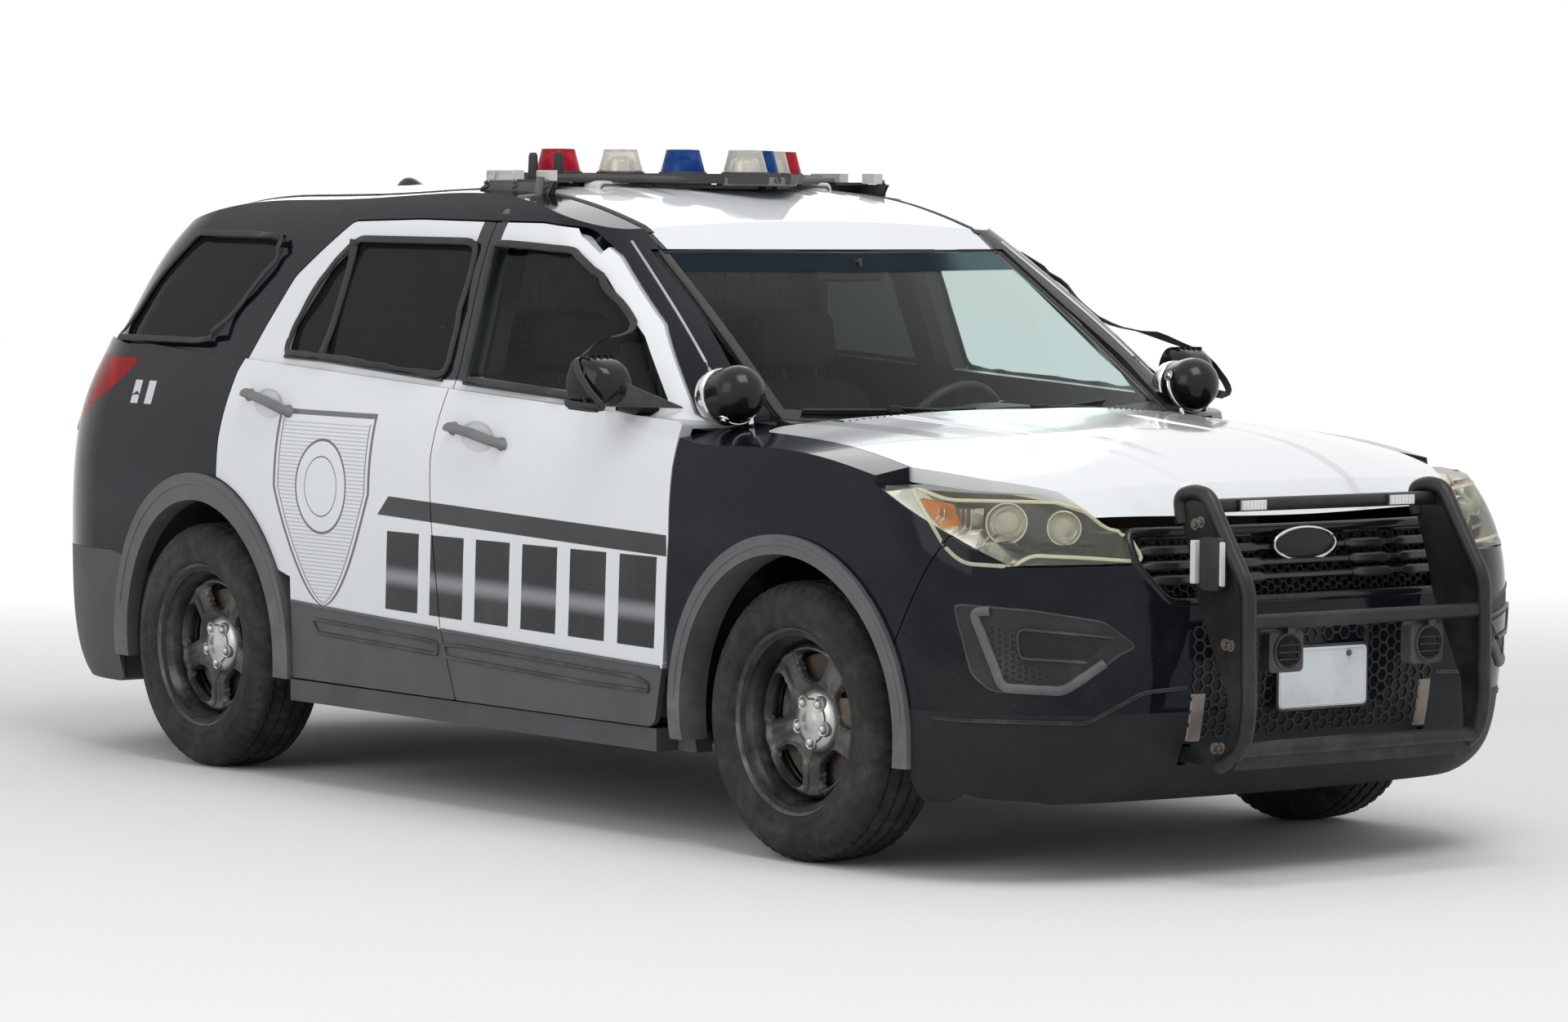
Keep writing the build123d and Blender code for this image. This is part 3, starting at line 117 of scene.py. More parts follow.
class Finish:
    """A material whose nodes are written as expressions, kept in finishes by its name."""

    def __init__(self, name, **fixed):
        self.material = finishes[name] = bpy.data.materials.new(name)
        self.material.use_nodes = True
        self.tree = self.material.node_tree
        self.shader = self.tree.nodes["Principled BSDF"]
        self.made = {}
        for key, value in fixed.items():
            self.shader.inputs[key.replace("_", " ")].default_value = value

    def node(self, kind, settings=None, values=None, out=0):
        made = self.tree.nodes.new(kind)
        for key, value in (settings or {}).items():
            setattr(made, key, value)
        for key, value in (values or {}).items():
            if isinstance(value, Signal):
                self.tree.links.new(value.socket, made.inputs[key])
            else:
                made.inputs[key].default_value = value
        return Signal(self, made.outputs[out])

    def once(self, key, make):
        if key not in self.made:
            self.made[key] = make()
        return self.made[key]

    def place(self):
        return self.once("place", lambda: self.node("ShaderNodeTexCoord", out="Object"))

    def facing(self):
        return self.once("facing", lambda: self.node("ShaderNodeTexCoord", out="Normal"))

    def axis(self, name):
        return self.once(name, lambda: self.node("ShaderNodeSeparateXYZ", {}, {0: self.place()}, out=name))

    def turn(self, name):
        return self.once("n" + name, lambda: self.node("ShaderNodeSeparateXYZ", {}, {0: self.facing()},
            out=name))

    def noise(self, scale, detail=3, rough=0.5, stretch=None):
        at = self.place()
        if stretch:
            at = self.node("ShaderNodeVectorMath", {"operation": "MULTIPLY"}, {0: at, 1: stretch})
        values = {"Vector": at, "Scale": scale, "Detail": detail, "Roughness": rough}
        return self.node("ShaderNodeTexNoise", {}, values)

    def cells(self, scale):
        return self.node("ShaderNodeTexVoronoi", {}, {"Vector": self.place(), "Scale": scale})

    def mix(self, share, a, b):
        """Colour a where share is 0, colour b where it is 1."""
        a, b = (c if isinstance(c, Signal) else (*c, 1) for c in (a, b))
        return self.node("ShaderNodeMix", {"data_type": "RGBA"}, {0: share, 6: a, 7: b}, out=2)

    def feed(self, name, signal):
        self.tree.links.new(signal.socket, self.shader.inputs[name])

    def bump(self, height, depth, strength=0.6):
        self.feed("Normal", self.node("ShaderNodeBump", {},
            {"Height": height, "Distance": depth, "Strength": strength}))


print("signal and finish classes ready")

# %% [markdown]
# Car paint is a thin clear coat over colour. It is not perfect: it has a faint waviness, dust that settles
# low down, and fine scratches. The same three layers serve the black and the white paint.


# %% Paint
WHITE = (0.74, 0.755, 0.76)
BLACK = (0.0045, 0.0055, 0.0095)
DUST = (0.36, 0.33, 0.29)
TRIM = (0.018, 0.018, 0.019)
GREY = (0.078, 0.080, 0.083)
PALE_GREY = (0.098, 0.100, 0.102)


def weather(finish, colour, dust=0.20, rough=0.10):
    """Dust and scratches over a paint colour; gives back the colour and feeds roughness and bump."""
    height = finish.axis("Z")
    low = 1 - height.fade(0.25, 0.95)
    patch = finish.noise(3.1, 5, 0.62).fade(0.42, 0.72)
    speck = finish.noise(95, 2, 0.6).fade(0.56, 0.75)
    dirt = (low * 0.75 + 0.12) * (patch * 0.7 + speck * 0.5 + 0.12) * dust
    hair = finish.noise(26, 3, 0.55, (0.35, 1, 6)).fade(0.64, 0.72)
    fine = finish.noise(60, 2, 0.5, (6, 1, 0.7)).fade(0.66, 0.74)
    scratch = (hair + fine) * patch * 0.16
    finish.feed("Roughness", rough + dirt * 1.1 + scratch * 0.4)
    finish.bump(finish.noise(7, 2) * 0.6 + finish.noise(900, 1) * 0.02, 0.0006, 0.25)
    return finish.mix((dirt + scratch * 0.35).low(0.6), colour, DUST)


def paint(name, colour, dust=0.20, **fixed):
    finish = Finish(name, **{"Coat_Weight": 0.14, "Coat_Roughness": 0.03, "Specular_IOR_Level": 0.16,
        **fixed})
    finish.feed("Base Color", weather(finish, colour, dust))


paint("paint_black", BLACK, 0.07, Coat_Weight=0.10, Specular_IOR_Level=0.11)
paint("paint_white", WHITE, 0.22, Coat_Weight=0.35)
print("paints", sorted(finishes))

# %% [markdown]
# Moulded plastic has a leathery grain of a few millimetres, and bleaches and greys in the sun. Voronoi
# cells give the grain, slow noise gives the bleaching. Rubber, cast metal and cloth use the same recipe
# with other scales, so one function takes the numbers.


# %% Plastics, rubber and metals
def bleaching(finish):
    """Where the sun has bleached a plastic, from 0 to 0.8."""
    return finish.noise(5, 4, 0.6).fade(0.35, 0.7) * 0.8


def grained(name, colour, pale, rough, grain=420, depth=0.0004, metallic=0.0, dust=0.25, **fixed):
    finish = Finish(name, Metallic=metallic, **fixed)
    slow = finish.noise(5, 4, 0.6)
    cell = finish.cells(grain)
    low = 1 - finish.axis("Z").fade(0.2, 0.9)
    dirt = (low * 0.7 + 0.25) * finish.noise(9, 5, 0.65).fade(0.4, 0.75) * dust
    tone = finish.mix(slow.fade(0.35, 0.7) * 0.8, colour, pale)
    finish.feed("Base Color", finish.mix(dirt, tone, DUST))
    finish.feed("Roughness", rough + slow * 0.12 + dirt * 0.3 - cell * 0.05)
    finish.bump(cell * 0.7 + finish.noise(grain * 2.3, 1) * 0.3, depth)


grained("plastic_grey", GREY, PALE_GREY, 0.52)
grained("plastic_black", TRIM, (0.030, 0.030, 0.031), 0.48)
grained("plastic_gloss", (0.006, 0.006, 0.0065), (0.011, 0.011, 0.012), 0.14, 120, 0.00008, dust=0.03,
    Specular_IOR_Level=0.30)
grained("rubber_seal", (0.010, 0.010, 0.010), (0.022, 0.022, 0.022), 0.62, 700, 0.0002, dust=0.12)
grained("steel_painted", (0.030, 0.031, 0.033), (0.055, 0.054, 0.052), 0.34, 240, 0.0002, 0.25)
grained("metal_cast", (0.060, 0.056, 0.052), (0.16, 0.11, 0.075), 0.62, 160, 0.0008, 0.6, 0.5)
grained("chrome", (0.62, 0.63, 0.64), (0.72, 0.72, 0.72), 0.10, 300, 0.00003, 1.0, 0.10)
grained("silver_cap", (0.50, 0.49, 0.47), (0.60, 0.60, 0.58), 0.28, 260, 0.0001, 0.85, 0.35)
grained("cloth_seat", (0.040, 0.042, 0.046), (0.055, 0.057, 0.060), 0.92, 900, 0.0007, dust=0.15)
grained("plate_blank", (0.70, 0.73, 0.74), (0.62, 0.66, 0.68), 0.35, 200, 0.0001, dust=0.35)
grained("lamp_white", (0.72, 0.72, 0.68), (0.80, 0.80, 0.76), 0.22, 500, 0.0003, dust=0.2)
print("finishes", len(finishes))

# %% [markdown]
# Side glass is clear with a green cast, the rear glass is nearly black. A Principled shader with high
# transmission gives both; a thin film of dust feeds its roughness and colour. Lamp lenses use the same
# recipe, hazed and yellowed on the head lamps.


# %% Glass and lenses
def glass(name, tint, haze=0.02, clear=1.0, film=0.10, film_colour=DUST, **fixed):
    finish = Finish(name, Transmission_Weight=clear, IOR=1.12, Specular_IOR_Level=0.8, **fixed)
    patch = finish.noise(4, 5, 0.65).fade(0.45, 0.8)
    speck = finish.noise(140, 2, 0.6).fade(0.6, 0.8)
    veil = (patch * 0.7 + speck * 0.5) * film
    finish.feed("Base Color", finish.mix(veil, tint, film_colour))
    finish.feed("Roughness", haze + veil * 0.6)


glass("glass_clear", (0.72, 0.80, 0.78), 0.01, 1.0, 0.08)
glass("glass_dark", (0.045, 0.052, 0.056), 0.02, 0.75, 0.10)
glass("lens_head", (0.88, 0.87, 0.76), 0.09, 0.94, 0.28, (0.70, 0.67, 0.52))
glass("lens_red", (0.55, 0.015, 0.02), 0.04, 0.6, 0.08)
glass("lens_clear", (0.88, 0.89, 0.88), 0.05, 0.9, 0.12, (0.7, 0.7, 0.66))
glass("lens_amber", (0.80, 0.28, 0.03), 0.06, 0.6, 0.10)
glass("dome_clear", (0.78, 0.76, 0.70), 0.16, 0.6, 0.45, (0.62, 0.59, 0.52))
print("with glass", len(finishes))

# %% [markdown]
# The doors carry the livery. Its edges are straight lines in the side view, so masks built from x and z
# draw them on the curved skin with no decals: grey cladding below, a slanted dark band, six dark blocks
# with a painted highlight, a pale band across their middle, and a plain shield. Faces that look inwards
# are the inner trim.

# %% Livery of the doors
SIDE = "paint_livery"
BLOCK_STEP = 0.2235
SHIELD_X, SHIELD_Z = -0.702, 0.860
SHIELD_DROP, SHIELD_HALF = 0.335, 0.262
livery = Finish(SIDE, Coat_Roughness=0.03, Specular_IOR_Level=0.25)
x = livery.axis("X")
z = livery.axis("Z")
inner = 1 - (livery.turn("Y") * livery.axis("Y") * 50).fade(-0.5, 0.5)
edge = 0.4965 - x * 0.0335
clad = 1 - (z - edge).over(0.0012)
band_top = 0.8495 - x * 0.0302
band_low = 0.7933 - x * 0.0305
slant = x - (z - 0.80) * 1.05 + 0.403
band = (z - band_low).over() * (1 - (z - band_top).over()) * slant.over() * (1 - x.fade(0.974, 0.976))
run = x - (z - 0.64) * 0.10 + 0.372
block = (run % BLOCK_STEP).between(0.012, 0.176, 0.001) * run.between(0.0, 1.335, 0.002)
blocks = block * ((z - (0.532 - x * 0.0185)).over() * (1 - (z - (0.7613 - x * 0.0008)).over()))
# painted highlight: the dark blocks turn pale grey within 38 mm of a line near z = 0.63 m, a reflection
# painted into their colour
glow = (z - (0.628 - x * 0.019)).size()
painted_highlight = (1 - glow.fade(0.0, 0.038)) * 0.9
sx = (x - SHIELD_X).size()
sz = z - SHIELD_Z
drop = (SHIELD_DROP - (0 - sz).top(0)).top(0) / SHIELD_DROP
half = (drop ** 0.55) * SHIELD_HALF
rim = (half - sx) * (1 - sz.fade(0.226, 0.228))
shield = rim.fade(0.0, 0.001)
line = shield * (1 - rim.fade(0.012, 0.014)) + shield * sz.between(0.212, 0.227, 0.001)
second = rim.between(0.026, 0.031, 0.001) * (1 - sz.fade(0.196, 0.198))
far = (sx * sx + (sz - 0.01) * (sz - 0.01)) ** 0.5
ring = far.between(0.130, 0.138, 0.001) + far.between(0.084, 0.088, 0.001)
rays = ((z * 90) % 1).between(0.35, 0.65, 0.08) * far.fade(0.137, 0.139)
rays = rays * rim.fade(0.031, 0.033) * (1 - sz.fade(0.194, 0.196)) * 0.45
mark = (line + second + ring + rays).low(1)
pillar = x - (-0.098 - (z - 1.18) * 0.07)
sash = pillar.between(-0.092, 0.024, 0.001) * z.fade(1.188, 1.196)
tone = livery.mix(painted_highlight, (0.010, 0.0105, 0.012), (0.26, 0.27, 0.29))
tone = livery.mix(band, livery.mix(blocks, WHITE, tone), (0.020, 0.0205, 0.022))
tone = livery.mix(mark * 0.88, tone, (0.045, 0.047, 0.052))
tone = livery.mix(sash, tone, BLACK)
tone = weather(livery, tone, 0.22)
grain = livery.cells(420)
tone = livery.mix(clad, tone, livery.mix(bleaching(livery), GREY, PALE_GREY))
livery.feed("Base Color", livery.mix(inner, tone, (0.045, 0.046, 0.048)))
dull = clad.top(inner)
livery.feed("Roughness", 0.11 + dull * 0.42)
livery.feed("Coat Weight", 0.22 - dull * 0.22)
livery.bump(grain * dull * 0.7 + livery.noise(7, 2) * 0.5, 0.0005, 0.3)
print("livery nodes", len(livery.tree.nodes))

# %% [markdown]
# Three more nodes change finish along a line: the body sides and bumpers go from black paint to dark
# plastic low down, and the inner faces of the body sides are cabin trim. One helper makes such two-tone
# paints.


# %% Two-tone body finishes
def two_tone(name, upper, line_z, slope, lining=True, lower=GREY):
    """Paint above a sloping line, grained plastic below it, trim on faces that look to the middle."""
    finish = Finish(name, Coat_Roughness=0.03, Specular_IOR_Level=0.11)
    edge = finish.axis("Z") - (line_z - finish.axis("X") * slope)
    under = 1 - edge.over(0.0012)
    colour = weather(finish, upper, 0.07)
    pale = tuple(c * 1.28 for c in lower)
    colour = finish.mix(under, colour, finish.mix(bleaching(finish), lower, pale))
    dull = under
    if lining:
        inner = 1 - (finish.turn("Y") * finish.axis("Y") * 50 + finish.turn("Z").top(0) * 30).fade(-0.5, 0.5)
        colour = finish.mix(inner, colour, (0.050, 0.050, 0.052))
        dull = under.top(inner)
    finish.feed("Base Color", colour)
    finish.feed("Roughness", 0.11 + dull * 0.42)
    finish.feed("Coat Weight", 0.10 - dull * 0.10)
    finish.bump(finish.cells(420) * dull * 0.7 + finish.noise(7, 2) * 0.5, 0.0005, 0.3)


two_tone("body_side_tones", BLACK, 0.497, 0.0335)
two_tone("front_bumper_tones", BLACK, 0.435, 0.0, False, (0.020, 0.021, 0.022))
two_tone("rear_bumper_tones", BLACK, 0.70, 0.0, False)
print("two-tone finishes", [n for n in finishes if "tones" in n])

# %% [markdown]
# Most of the solids need one finish each, so a table pairs them, and a small function dresses a solid.
# Solids that a finer piece replaces later are in the table too, because they still stand for the same
# material.


# %% Finishes of the carried-over nodes
def wear(node, finish):
    nodes[node].data.materials.clear()
    nodes[node].data.materials.append(finishes[finish])


SIDES = ((-1, "right"), (1, "left"))
NODE_FINISH = {"body_sides": "body_side_tones", "tail_lamps": "lens_red", "quarter_glass": "glass_dark",
    "front_fenders": "paint_black", "headlamps": "lens_head", "grille": "plastic_black",
    "front_bumper": "front_bumper_tones", "arch_flares": "plastic_grey", "cowl_panel": "plastic_black",
    "roof_panel": "paint_white", "windshield": "glass_clear", "rear_bumper": "rear_bumper_tones",
    "floor_pan": "steel_painted", "dashboard": "plastic_black", "front_seats": "cloth_seat",
    "rear_bench": "cloth_seat", "partition": "steel_painted", "engine_block": "metal_cast",
    "driveline": "metal_cast", "exhaust": "metal_cast", "fuel_tank": "plastic_black",
    "front_suspension": "metal_cast", "rear_suspension": "metal_cast", "push_bumper": "steel_painted",
    "light_bar": "plastic_black", "light_domes": "dome_clear", "spotlights": "plastic_gloss",
    "hood": "paint_white", "liftgate": "paint_black", "glass_liftgate": "glass_dark",
    "steering_wheel": "plastic_black"}
PAIR_FINISH = {"door_front": SIDE, "door_rear": SIDE, "glass_front": "glass_clear",
    "glass_rear": "glass_dark", "mirror": "plastic_gloss", "knuckle": "metal_cast"}
for _, word in SIDES:
    NODE_FINISH.update({f"{name}_{word}": finish for name, finish in PAIR_FINISH.items()})
WHEEL_PLACES = {"front_right": (FRONT_AXLE, -1), "front_left": (FRONT_AXLE, 1), "rear_right": (REAR_AXLE, -1),
    "rear_left": (REAR_AXLE, 1)}
for place in WHEEL_PLACES:
    NODE_FINISH[f"tyre_{place}"] = "rubber_seal"
    NODE_FINISH[f"rim_{place}"] = "steel_painted"
for name, finish in NODE_FINISH.items():
    wear(name, finish)
print("finished nodes", len(NODE_FINISH))

# %% [markdown]
# Every added piece is drawn in mesh code, and most are swept. A *tube* carries a ring of points along a
# path, a *lathe* turns a profile about an axis, and a *slab* gives an outline thickness. Each adds to an
# open mesh, so a piece with many parts stays one object. Its finish and the body it rides on are named when
# it's done.


# %% Mesh helpers
def piece(name, body, finish, mesh, smooth=38, seam=0.0):
    """Turn an open mesh into an object that rides on a body."""
    bmesh.ops.remove_doubles(mesh, verts=mesh.verts, dist=1e-5)
    bmesh.ops.recalc_face_normals(mesh, faces=mesh.faces)
    data = bpy.data.meshes.new(name)
    mesh.to_mesh(data)
    mesh.free()
    obj = bpy.data.objects.new(name, data)
    bpy.context.scene.collection.objects.link(obj)
    if seam:
        soften = obj.modifiers.new("edges", "BEVEL")
        soften.width = seam
        soften.segments = 2
        soften.limit_method = "ANGLE"
    data.materials.append(finishes[finish])
    data.shade_smooth()
    data.set_sharp_from_angle(angle=math.radians(smooth))
    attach(obj, body)
    return obj


def bridge(mesh, rings, closed=False):
    """Join rings of equal point count with quads."""
    rows = [[mesh.verts.new(p) for p in ring] for ring in rings]
    count = len(rows[0])
    spans = len(rows) if closed else len(rows) - 1
    for i in range(spans):
        a, b = rows[i], rows[(i + 1) % len(rows)]
        for j in range(count):
            k = (j + 1) % count
            mesh.faces.new((a[j], a[k], b[k], b[j]))
    if not closed:
        mesh.faces.new(rows[0][::-1])
        mesh.faces.new(rows[-1])


def tube(mesh, path, radius, sides=12, closed=False, flat=1.0):
    """A round bar along a path; flat squeezes its section."""
    path = [Vector(p) for p in path]
    rings = []
    side = None
    for i, at in enumerate(path):
        before = path[i - 1] if i or closed else at
        after = path[(i + 1) % len(path)] if i + 1 < len(path) or closed else at
        ahead = (after - before).normalized()
        if side is None:
            side = ahead.orthogonal().normalized()
        side = (side - ahead * side.dot(ahead)).normalized()
        other = ahead.cross(side)
        rings.append([at + side * (radius * math.cos(t)) + other * (radius * flat * math.sin(t))
            for t in around(sides)])
    bridge(mesh, rings, closed)


def round_corner(a, b, c, radius, steps):
    """An arc in the corner at b of the line from a to c."""
    size = min(radius, (a - b).length * 0.45, (c - b).length * 0.45)
    start, end = b + (a - b).normalized() * size, b + (c - b).normalized() * size
    shares = [n / steps for n in range(steps + 1)]
    return [start * (1 - t) ** 2 + b * (2 * t * (1 - t)) + end * t * t for t in shares]


def bend(points, radius=0.03, steps=5):
    """Round the corners of a path."""
    points = [Vector(p) for p in points]
    out = [points[0]]
    for a, b, c in zip(points, points[1:], points[2:]):
        out += round_corner(a, b, c, radius, steps)
    return out + [points[-1]]


def rounded(points, radius, steps=4):
    """Round the corners of a closed outline."""
    points = [Vector(p) for p in points]
    out = []
    for a, b, c in zip(points[-1:] + points, points, points[1:] + points[:1]):
        out += round_corner(a, b, c, radius, steps)
    return out


def around(count):
    """The angles of a full turn in even steps."""
    return [2 * math.pi * n / count for n in range(count)]


def weave(mesh, rows):
    """Faces between rows of corners that stand round an axis."""
    for a, b in zip(rows, rows[1:] + rows[:1]):
        for j in range(len(a) - 1):
            mesh.faces.new((a[j], a[j + 1], b[j + 1], b[j]))


def lathe(mesh, profile, centre, axis, steps=48):
    """Turn (radius, along) pairs about an axis through centre."""
    axis = Vector(axis).normalized()
    side = axis.orthogonal().normalized()
    other = axis.cross(side)
    rows = []
    for t in around(steps):
        ray = side * math.cos(t) + other * math.sin(t)
        rows.append([mesh.verts.new(Vector(centre) + ray * r + axis * a) for r, a in profile])
    weave(mesh, rows)


def slab(mesh, outline, depth):
    """An outline of points, thickened by a vector."""
    depth = Vector(depth)
    outline = [Vector(p) for p in outline]
    bridge(mesh, [outline, [p + depth for p in outline]])


def brick(mesh, low, high):
    (x0, y0, z0), (x1, y1, z1) = low, high
    slab(mesh, [(x0, y0, z0), (x1, y0, z0), (x1, y1, z0), (x0, y1, z0)], (0, 0, z1 - z0))


def bolt(mesh, at, axis, radius=0.006):
    """A hexagon head on a washer."""
    axis = Vector(axis).normalized()
    lathe(mesh, [(0, 0.003), (radius * 1.7, 0.003), (radius * 1.8, 0.0)], at, axis, 16)
    lathe(mesh, [(0, 0.009), (radius * 0.9, 0.009), (radius, 0.007), (radius, 0.0)], at, axis, 6)


print("mesh helpers ready")

# %% [markdown]
# Seals, grooves and trim follow the curved skin. Rays shot across the body find the skin at each place of a
# side-view line, and a strip with a small section is laid along what they hit. Places are given as x from
# the front axle and z, as they were measured on the picture.


# %% Strips laid on the skin
def tree_of(names):
    corners, faces = [], []
    for name in names:
        data = nodes[name].data
        base = len(corners)
        corners += [v.co.copy() for v in data.vertices]
        faces += [[base + i for i in p.vertices] for p in data.polygons]
    return BVHTree.FromPolygons(corners, faces)


SIDE_NODES = [n for n in nodes if n.startswith(("door_", "glass_", "body_", "front_f", "arch", "quarter",
    "rear_bumper", "front_b", "tail", "headl", "roof", "mirror"))]
sides = tree_of(SIDE_NODES)
whole = tree_of([n for n in nodes if n.startswith(("hood", "roof", "cowl", "winds", "front_b", "front_f",
    "grille", "liftg", "glass_l", "rear_bumper", "tail", "headl", "body_"))])


OUTSIDE = 1.3
AHEAD = 3.2
OVERHEAD = 2.2


def on_side(x, z, side, lift=0.0):
    """The skin's place and direction at x from the front axle and z."""
    start = Vector((x + FRONT_AXLE, side * OUTSIDE, z))
    at, facing, _, _ = sides.ray_cast(start, Vector((0, -side, 0)), 0.75)
    if at is None:
        at, facing, _, _ = sides.find_nearest(Vector((x + FRONT_AXLE, side * 0.95, z)))
    if facing.y * side < 0:
        facing = -facing
    return at + facing * lift, facing


def on_rim(x, z, side):
    """The outermost skin near a window's edge, so that a seal doesn't fall into the gap beside the glass."""
    best = None
    for dx, dz in ((0, 0), (0.014, 0), (-0.014, 0), (0, 0.014), (0, -0.014), (0.024, 0), (-0.024, 0),
        (0, 0.024)):
        at, facing = on_side(x + dx, z + dz, side)
        if best is None or at.y * side > best[0].y * side:
            best = (Vector((x + FRONT_AXLE, at.y, z)), facing)
    return best


def smoothed(hits, closed, passes=3):
    """Even out places and directions along a line."""
    count = len(hits)
    for _ in range(passes):
        out = []
        for i in range(count):
            a = hits[i - 1] if i or closed else hits[i]
            c = hits[(i + 1) % count] if i + 1 < count or closed else hits[i]
            b = hits[i]
            y = max(b[0].y, (a[0].y + c[0].y) / 2, key=abs)
            out.append((Vector((b[0].x, y, b[0].z)), (a[1] + b[1] * 2 + c[1]).normalized()))
        hits = out
    return hits


def on_front(y, z, lift=0.0):
    at, facing, _, _ = whole.ray_cast(Vector((AHEAD, y, z)), Vector((-1, 0, 0)), 2.5)
    return at + Vector((1, 0, 0)) * lift, facing


def on_top(x, y, lift=0.0):
    at, facing, _, _ = whole.ray_cast(Vector((x + FRONT_AXLE, y, OVERHEAD)), Vector((0, 0, -1)), 2.0)
    return at + facing * lift, facing


def split(points, step=0.03, closed=False):
    """More points along a line, so that it follows the curve."""
    out = []
    ends = list(zip(points, points[1:])) + ([(points[-1], points[0])] if closed else [])
    for a, b in ends:
        a, b = Vector(a), Vector(b)
        count = max(1, round((b - a).length / step))
        out += [a.lerp(b, n / count) for n in range(count)]
    if not closed:
        out.append(Vector(points[-1]))
    return out


STRIP_SINK = 0.002


def strip(mesh, hits, width, height, closed=False, section=None):
    """Lay a low moulding along (place, direction) pairs."""
    section = section or [(-0.5, 0), (-0.42, 0.7), (-0.2, 1), (0.2, 1), (0.42, 0.7), (0.5, 0)]
    rings = []
    count = len(hits)
    for i, (at, facing) in enumerate(hits):
        before = hits[i - 1][0] if i or closed else at
        after = hits[(i + 1) % count][0] if i + 1 < count or closed else at
        ahead = (after - before).normalized()
        across = ahead.cross(facing).normalized()
        ring = [at + across * (w * width) + facing * (h * height) for w, h in section]
        ring += [ring[-1] - facing * (STRIP_SINK + height * section[-1][1]),
            ring[0] - facing * (STRIP_SINK + height * section[0][1])]
        rings.append(ring)
    bridge(mesh, rings, closed)


def side_strip(name, body, finish, outline, side, width, height, closed=False, step=0.03, round_by=0.0,
    **more):
    flat = [(x / 1000, z / 1000, 0) for x, z in outline]
    if round_by:
        flat = rounded(flat, round_by) if closed else bend(flat, round_by)
    hits = smoothed([on_rim(p[0], p[1], side) for p in split(flat, step, closed)], closed)
    mesh = bmesh.new()
    strip(mesh, hits, width, height, closed=closed, **more)
    return piece(name, body, finish, mesh)


print("skin rays ready", len(SIDE_NODES))

# %% [markdown]
# The tyre is a lathe with a fine grid: bead, bulged side wall with rings, rounded shoulder and a tread with
# four grooves. Sipes and shoulder slots are cut by moving every few columns of the grid inwards, which
# keeps one closed skin. The side wall carries plain ribs only.

# %% Tyres
TYRE_R = 0.3635
TYRE_Y = (0.731, 0.973)
TREAD_STEPS = 300
SIPE_EVERY = 5
TREAD_FLOOR = 0.3602


def tyre_profile():
    """Radius and place across the tyre, from the inner bead over the tread to the outer bead."""
    half = (TYRE_Y[1] - TYRE_Y[0]) / 2
    wall = [(0.221, 0.090), (0.231, 0.093), (0.240, 0.099), (0.246, 0.104), (0.251, 0.112), (0.262, 0.116),
        (0.264, 0.1155), (0.284, 0.1195), (0.300, 0.1205), (0.302, 0.1195), (0.316, 0.1170), (0.326, 0.1130),
        (0.328, 0.1142), (0.338, 0.1080), (0.345, 0.1020), (0.352, 0.0950), (0.3585, 0.0860)]
    tread = [(0.3605, 0.078), (0.3618, 0.066), (0.3540, 0.0645), (0.3540, 0.0575), (0.3624, 0.056),
        (0.3630, 0.040), (0.3632, 0.0265), (0.3548, 0.0250), (0.3548, 0.0160), (0.3634, 0.0145),
        (0.3635, 0.0)]
    run = wall + tread
    scale = half / 0.1205
    return [(r, a * scale) for r, a in run] + [(r, -a * scale) for r, a in run[-2::-1]]


def tyre(name, body, x, side):
    centre = Vector((x, side * (TYRE_Y[0] + TYRE_Y[1]) / 2, TYRE_R))
    mesh = bmesh.new()
    profile = tyre_profile()
    rows = []
    for n, t in enumerate(around(TREAD_STEPS)):
        line = []
        for r, a in profile:
            wide = abs(a) / 0.121
            drop = 0.0
            phase = (n + (1 if a > 0 else 3)) % SIPE_EVERY
            if r > TREAD_FLOOR and 0.50 < wide < 0.70 and phase == 0:
                drop = 0.0055
            if r > TREAD_FLOOR and wide < 0.50 and (n + round(wide * 4)) % SIPE_EVERY == 2:
                drop = 0.004
            if 0.338 < r < 0.3612 and wide > 0.60 and phase < 2:
                drop = 0.0045
            if 0.276 < r < 0.299 and n % 3 == 0 and 60 < n % 150 < 100:
                drop = -0.0006
            out = Vector((math.cos(t), 0, math.sin(t)))
            line.append(mesh.verts.new(centre + out * (r - drop) + Vector((0, side * a, 0))))
        rows.append(line)
    weave(mesh, rows)
    obj = piece(name, body, "tyre_side", mesh, 50)
    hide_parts("tyre_" + name.split(".")[1])
    return obj


tyre_paint = Finish("tyre_side", Specular_IOR_Level=0.25)
dirt = tyre_paint.noise(14, 5, 0.65).fade(0.40, 0.75) * 0.22 + tyre_paint.noise(3, 2).fade(0.4, 0.7) * 0.08
tone = tyre_paint.mix(tyre_paint.noise(40, 3, 0.6), (0.010, 0.010, 0.010), (0.020, 0.020, 0.0195))
tyre_paint.feed("Base Color", tyre_paint.mix(dirt, tone, (0.17, 0.155, 0.135)))
tyre_paint.feed("Roughness", 0.72 + dirt * 0.25)
tyre_paint.bump(tyre_paint.noise(350, 3, 0.6), 0.0004)
tyre_count = 0
for place, (x, side) in WHEEL_PLACES.items():
    obj = tyre(f"tyre_tread.{place}", f"wheel_{place}", x, side)
    tyre_count += len(obj.data.polygons)
print("tyre faces", tyre_count)

# %% [markdown]
# The wheel is pressed steel. A polar grid makes its face: five windows with turned-in edges, flat spokes
# between them, a raised ring outside and a dished hub. The barrel and its double lip are a lathe. A plain
# cap with five bulges for the nuts sits on the hub.

# %% Wheels
WINDOW_IN = 0.108
WINDOW_OUT = 0.180
WINDOW_HALF = math.radians(19.5)


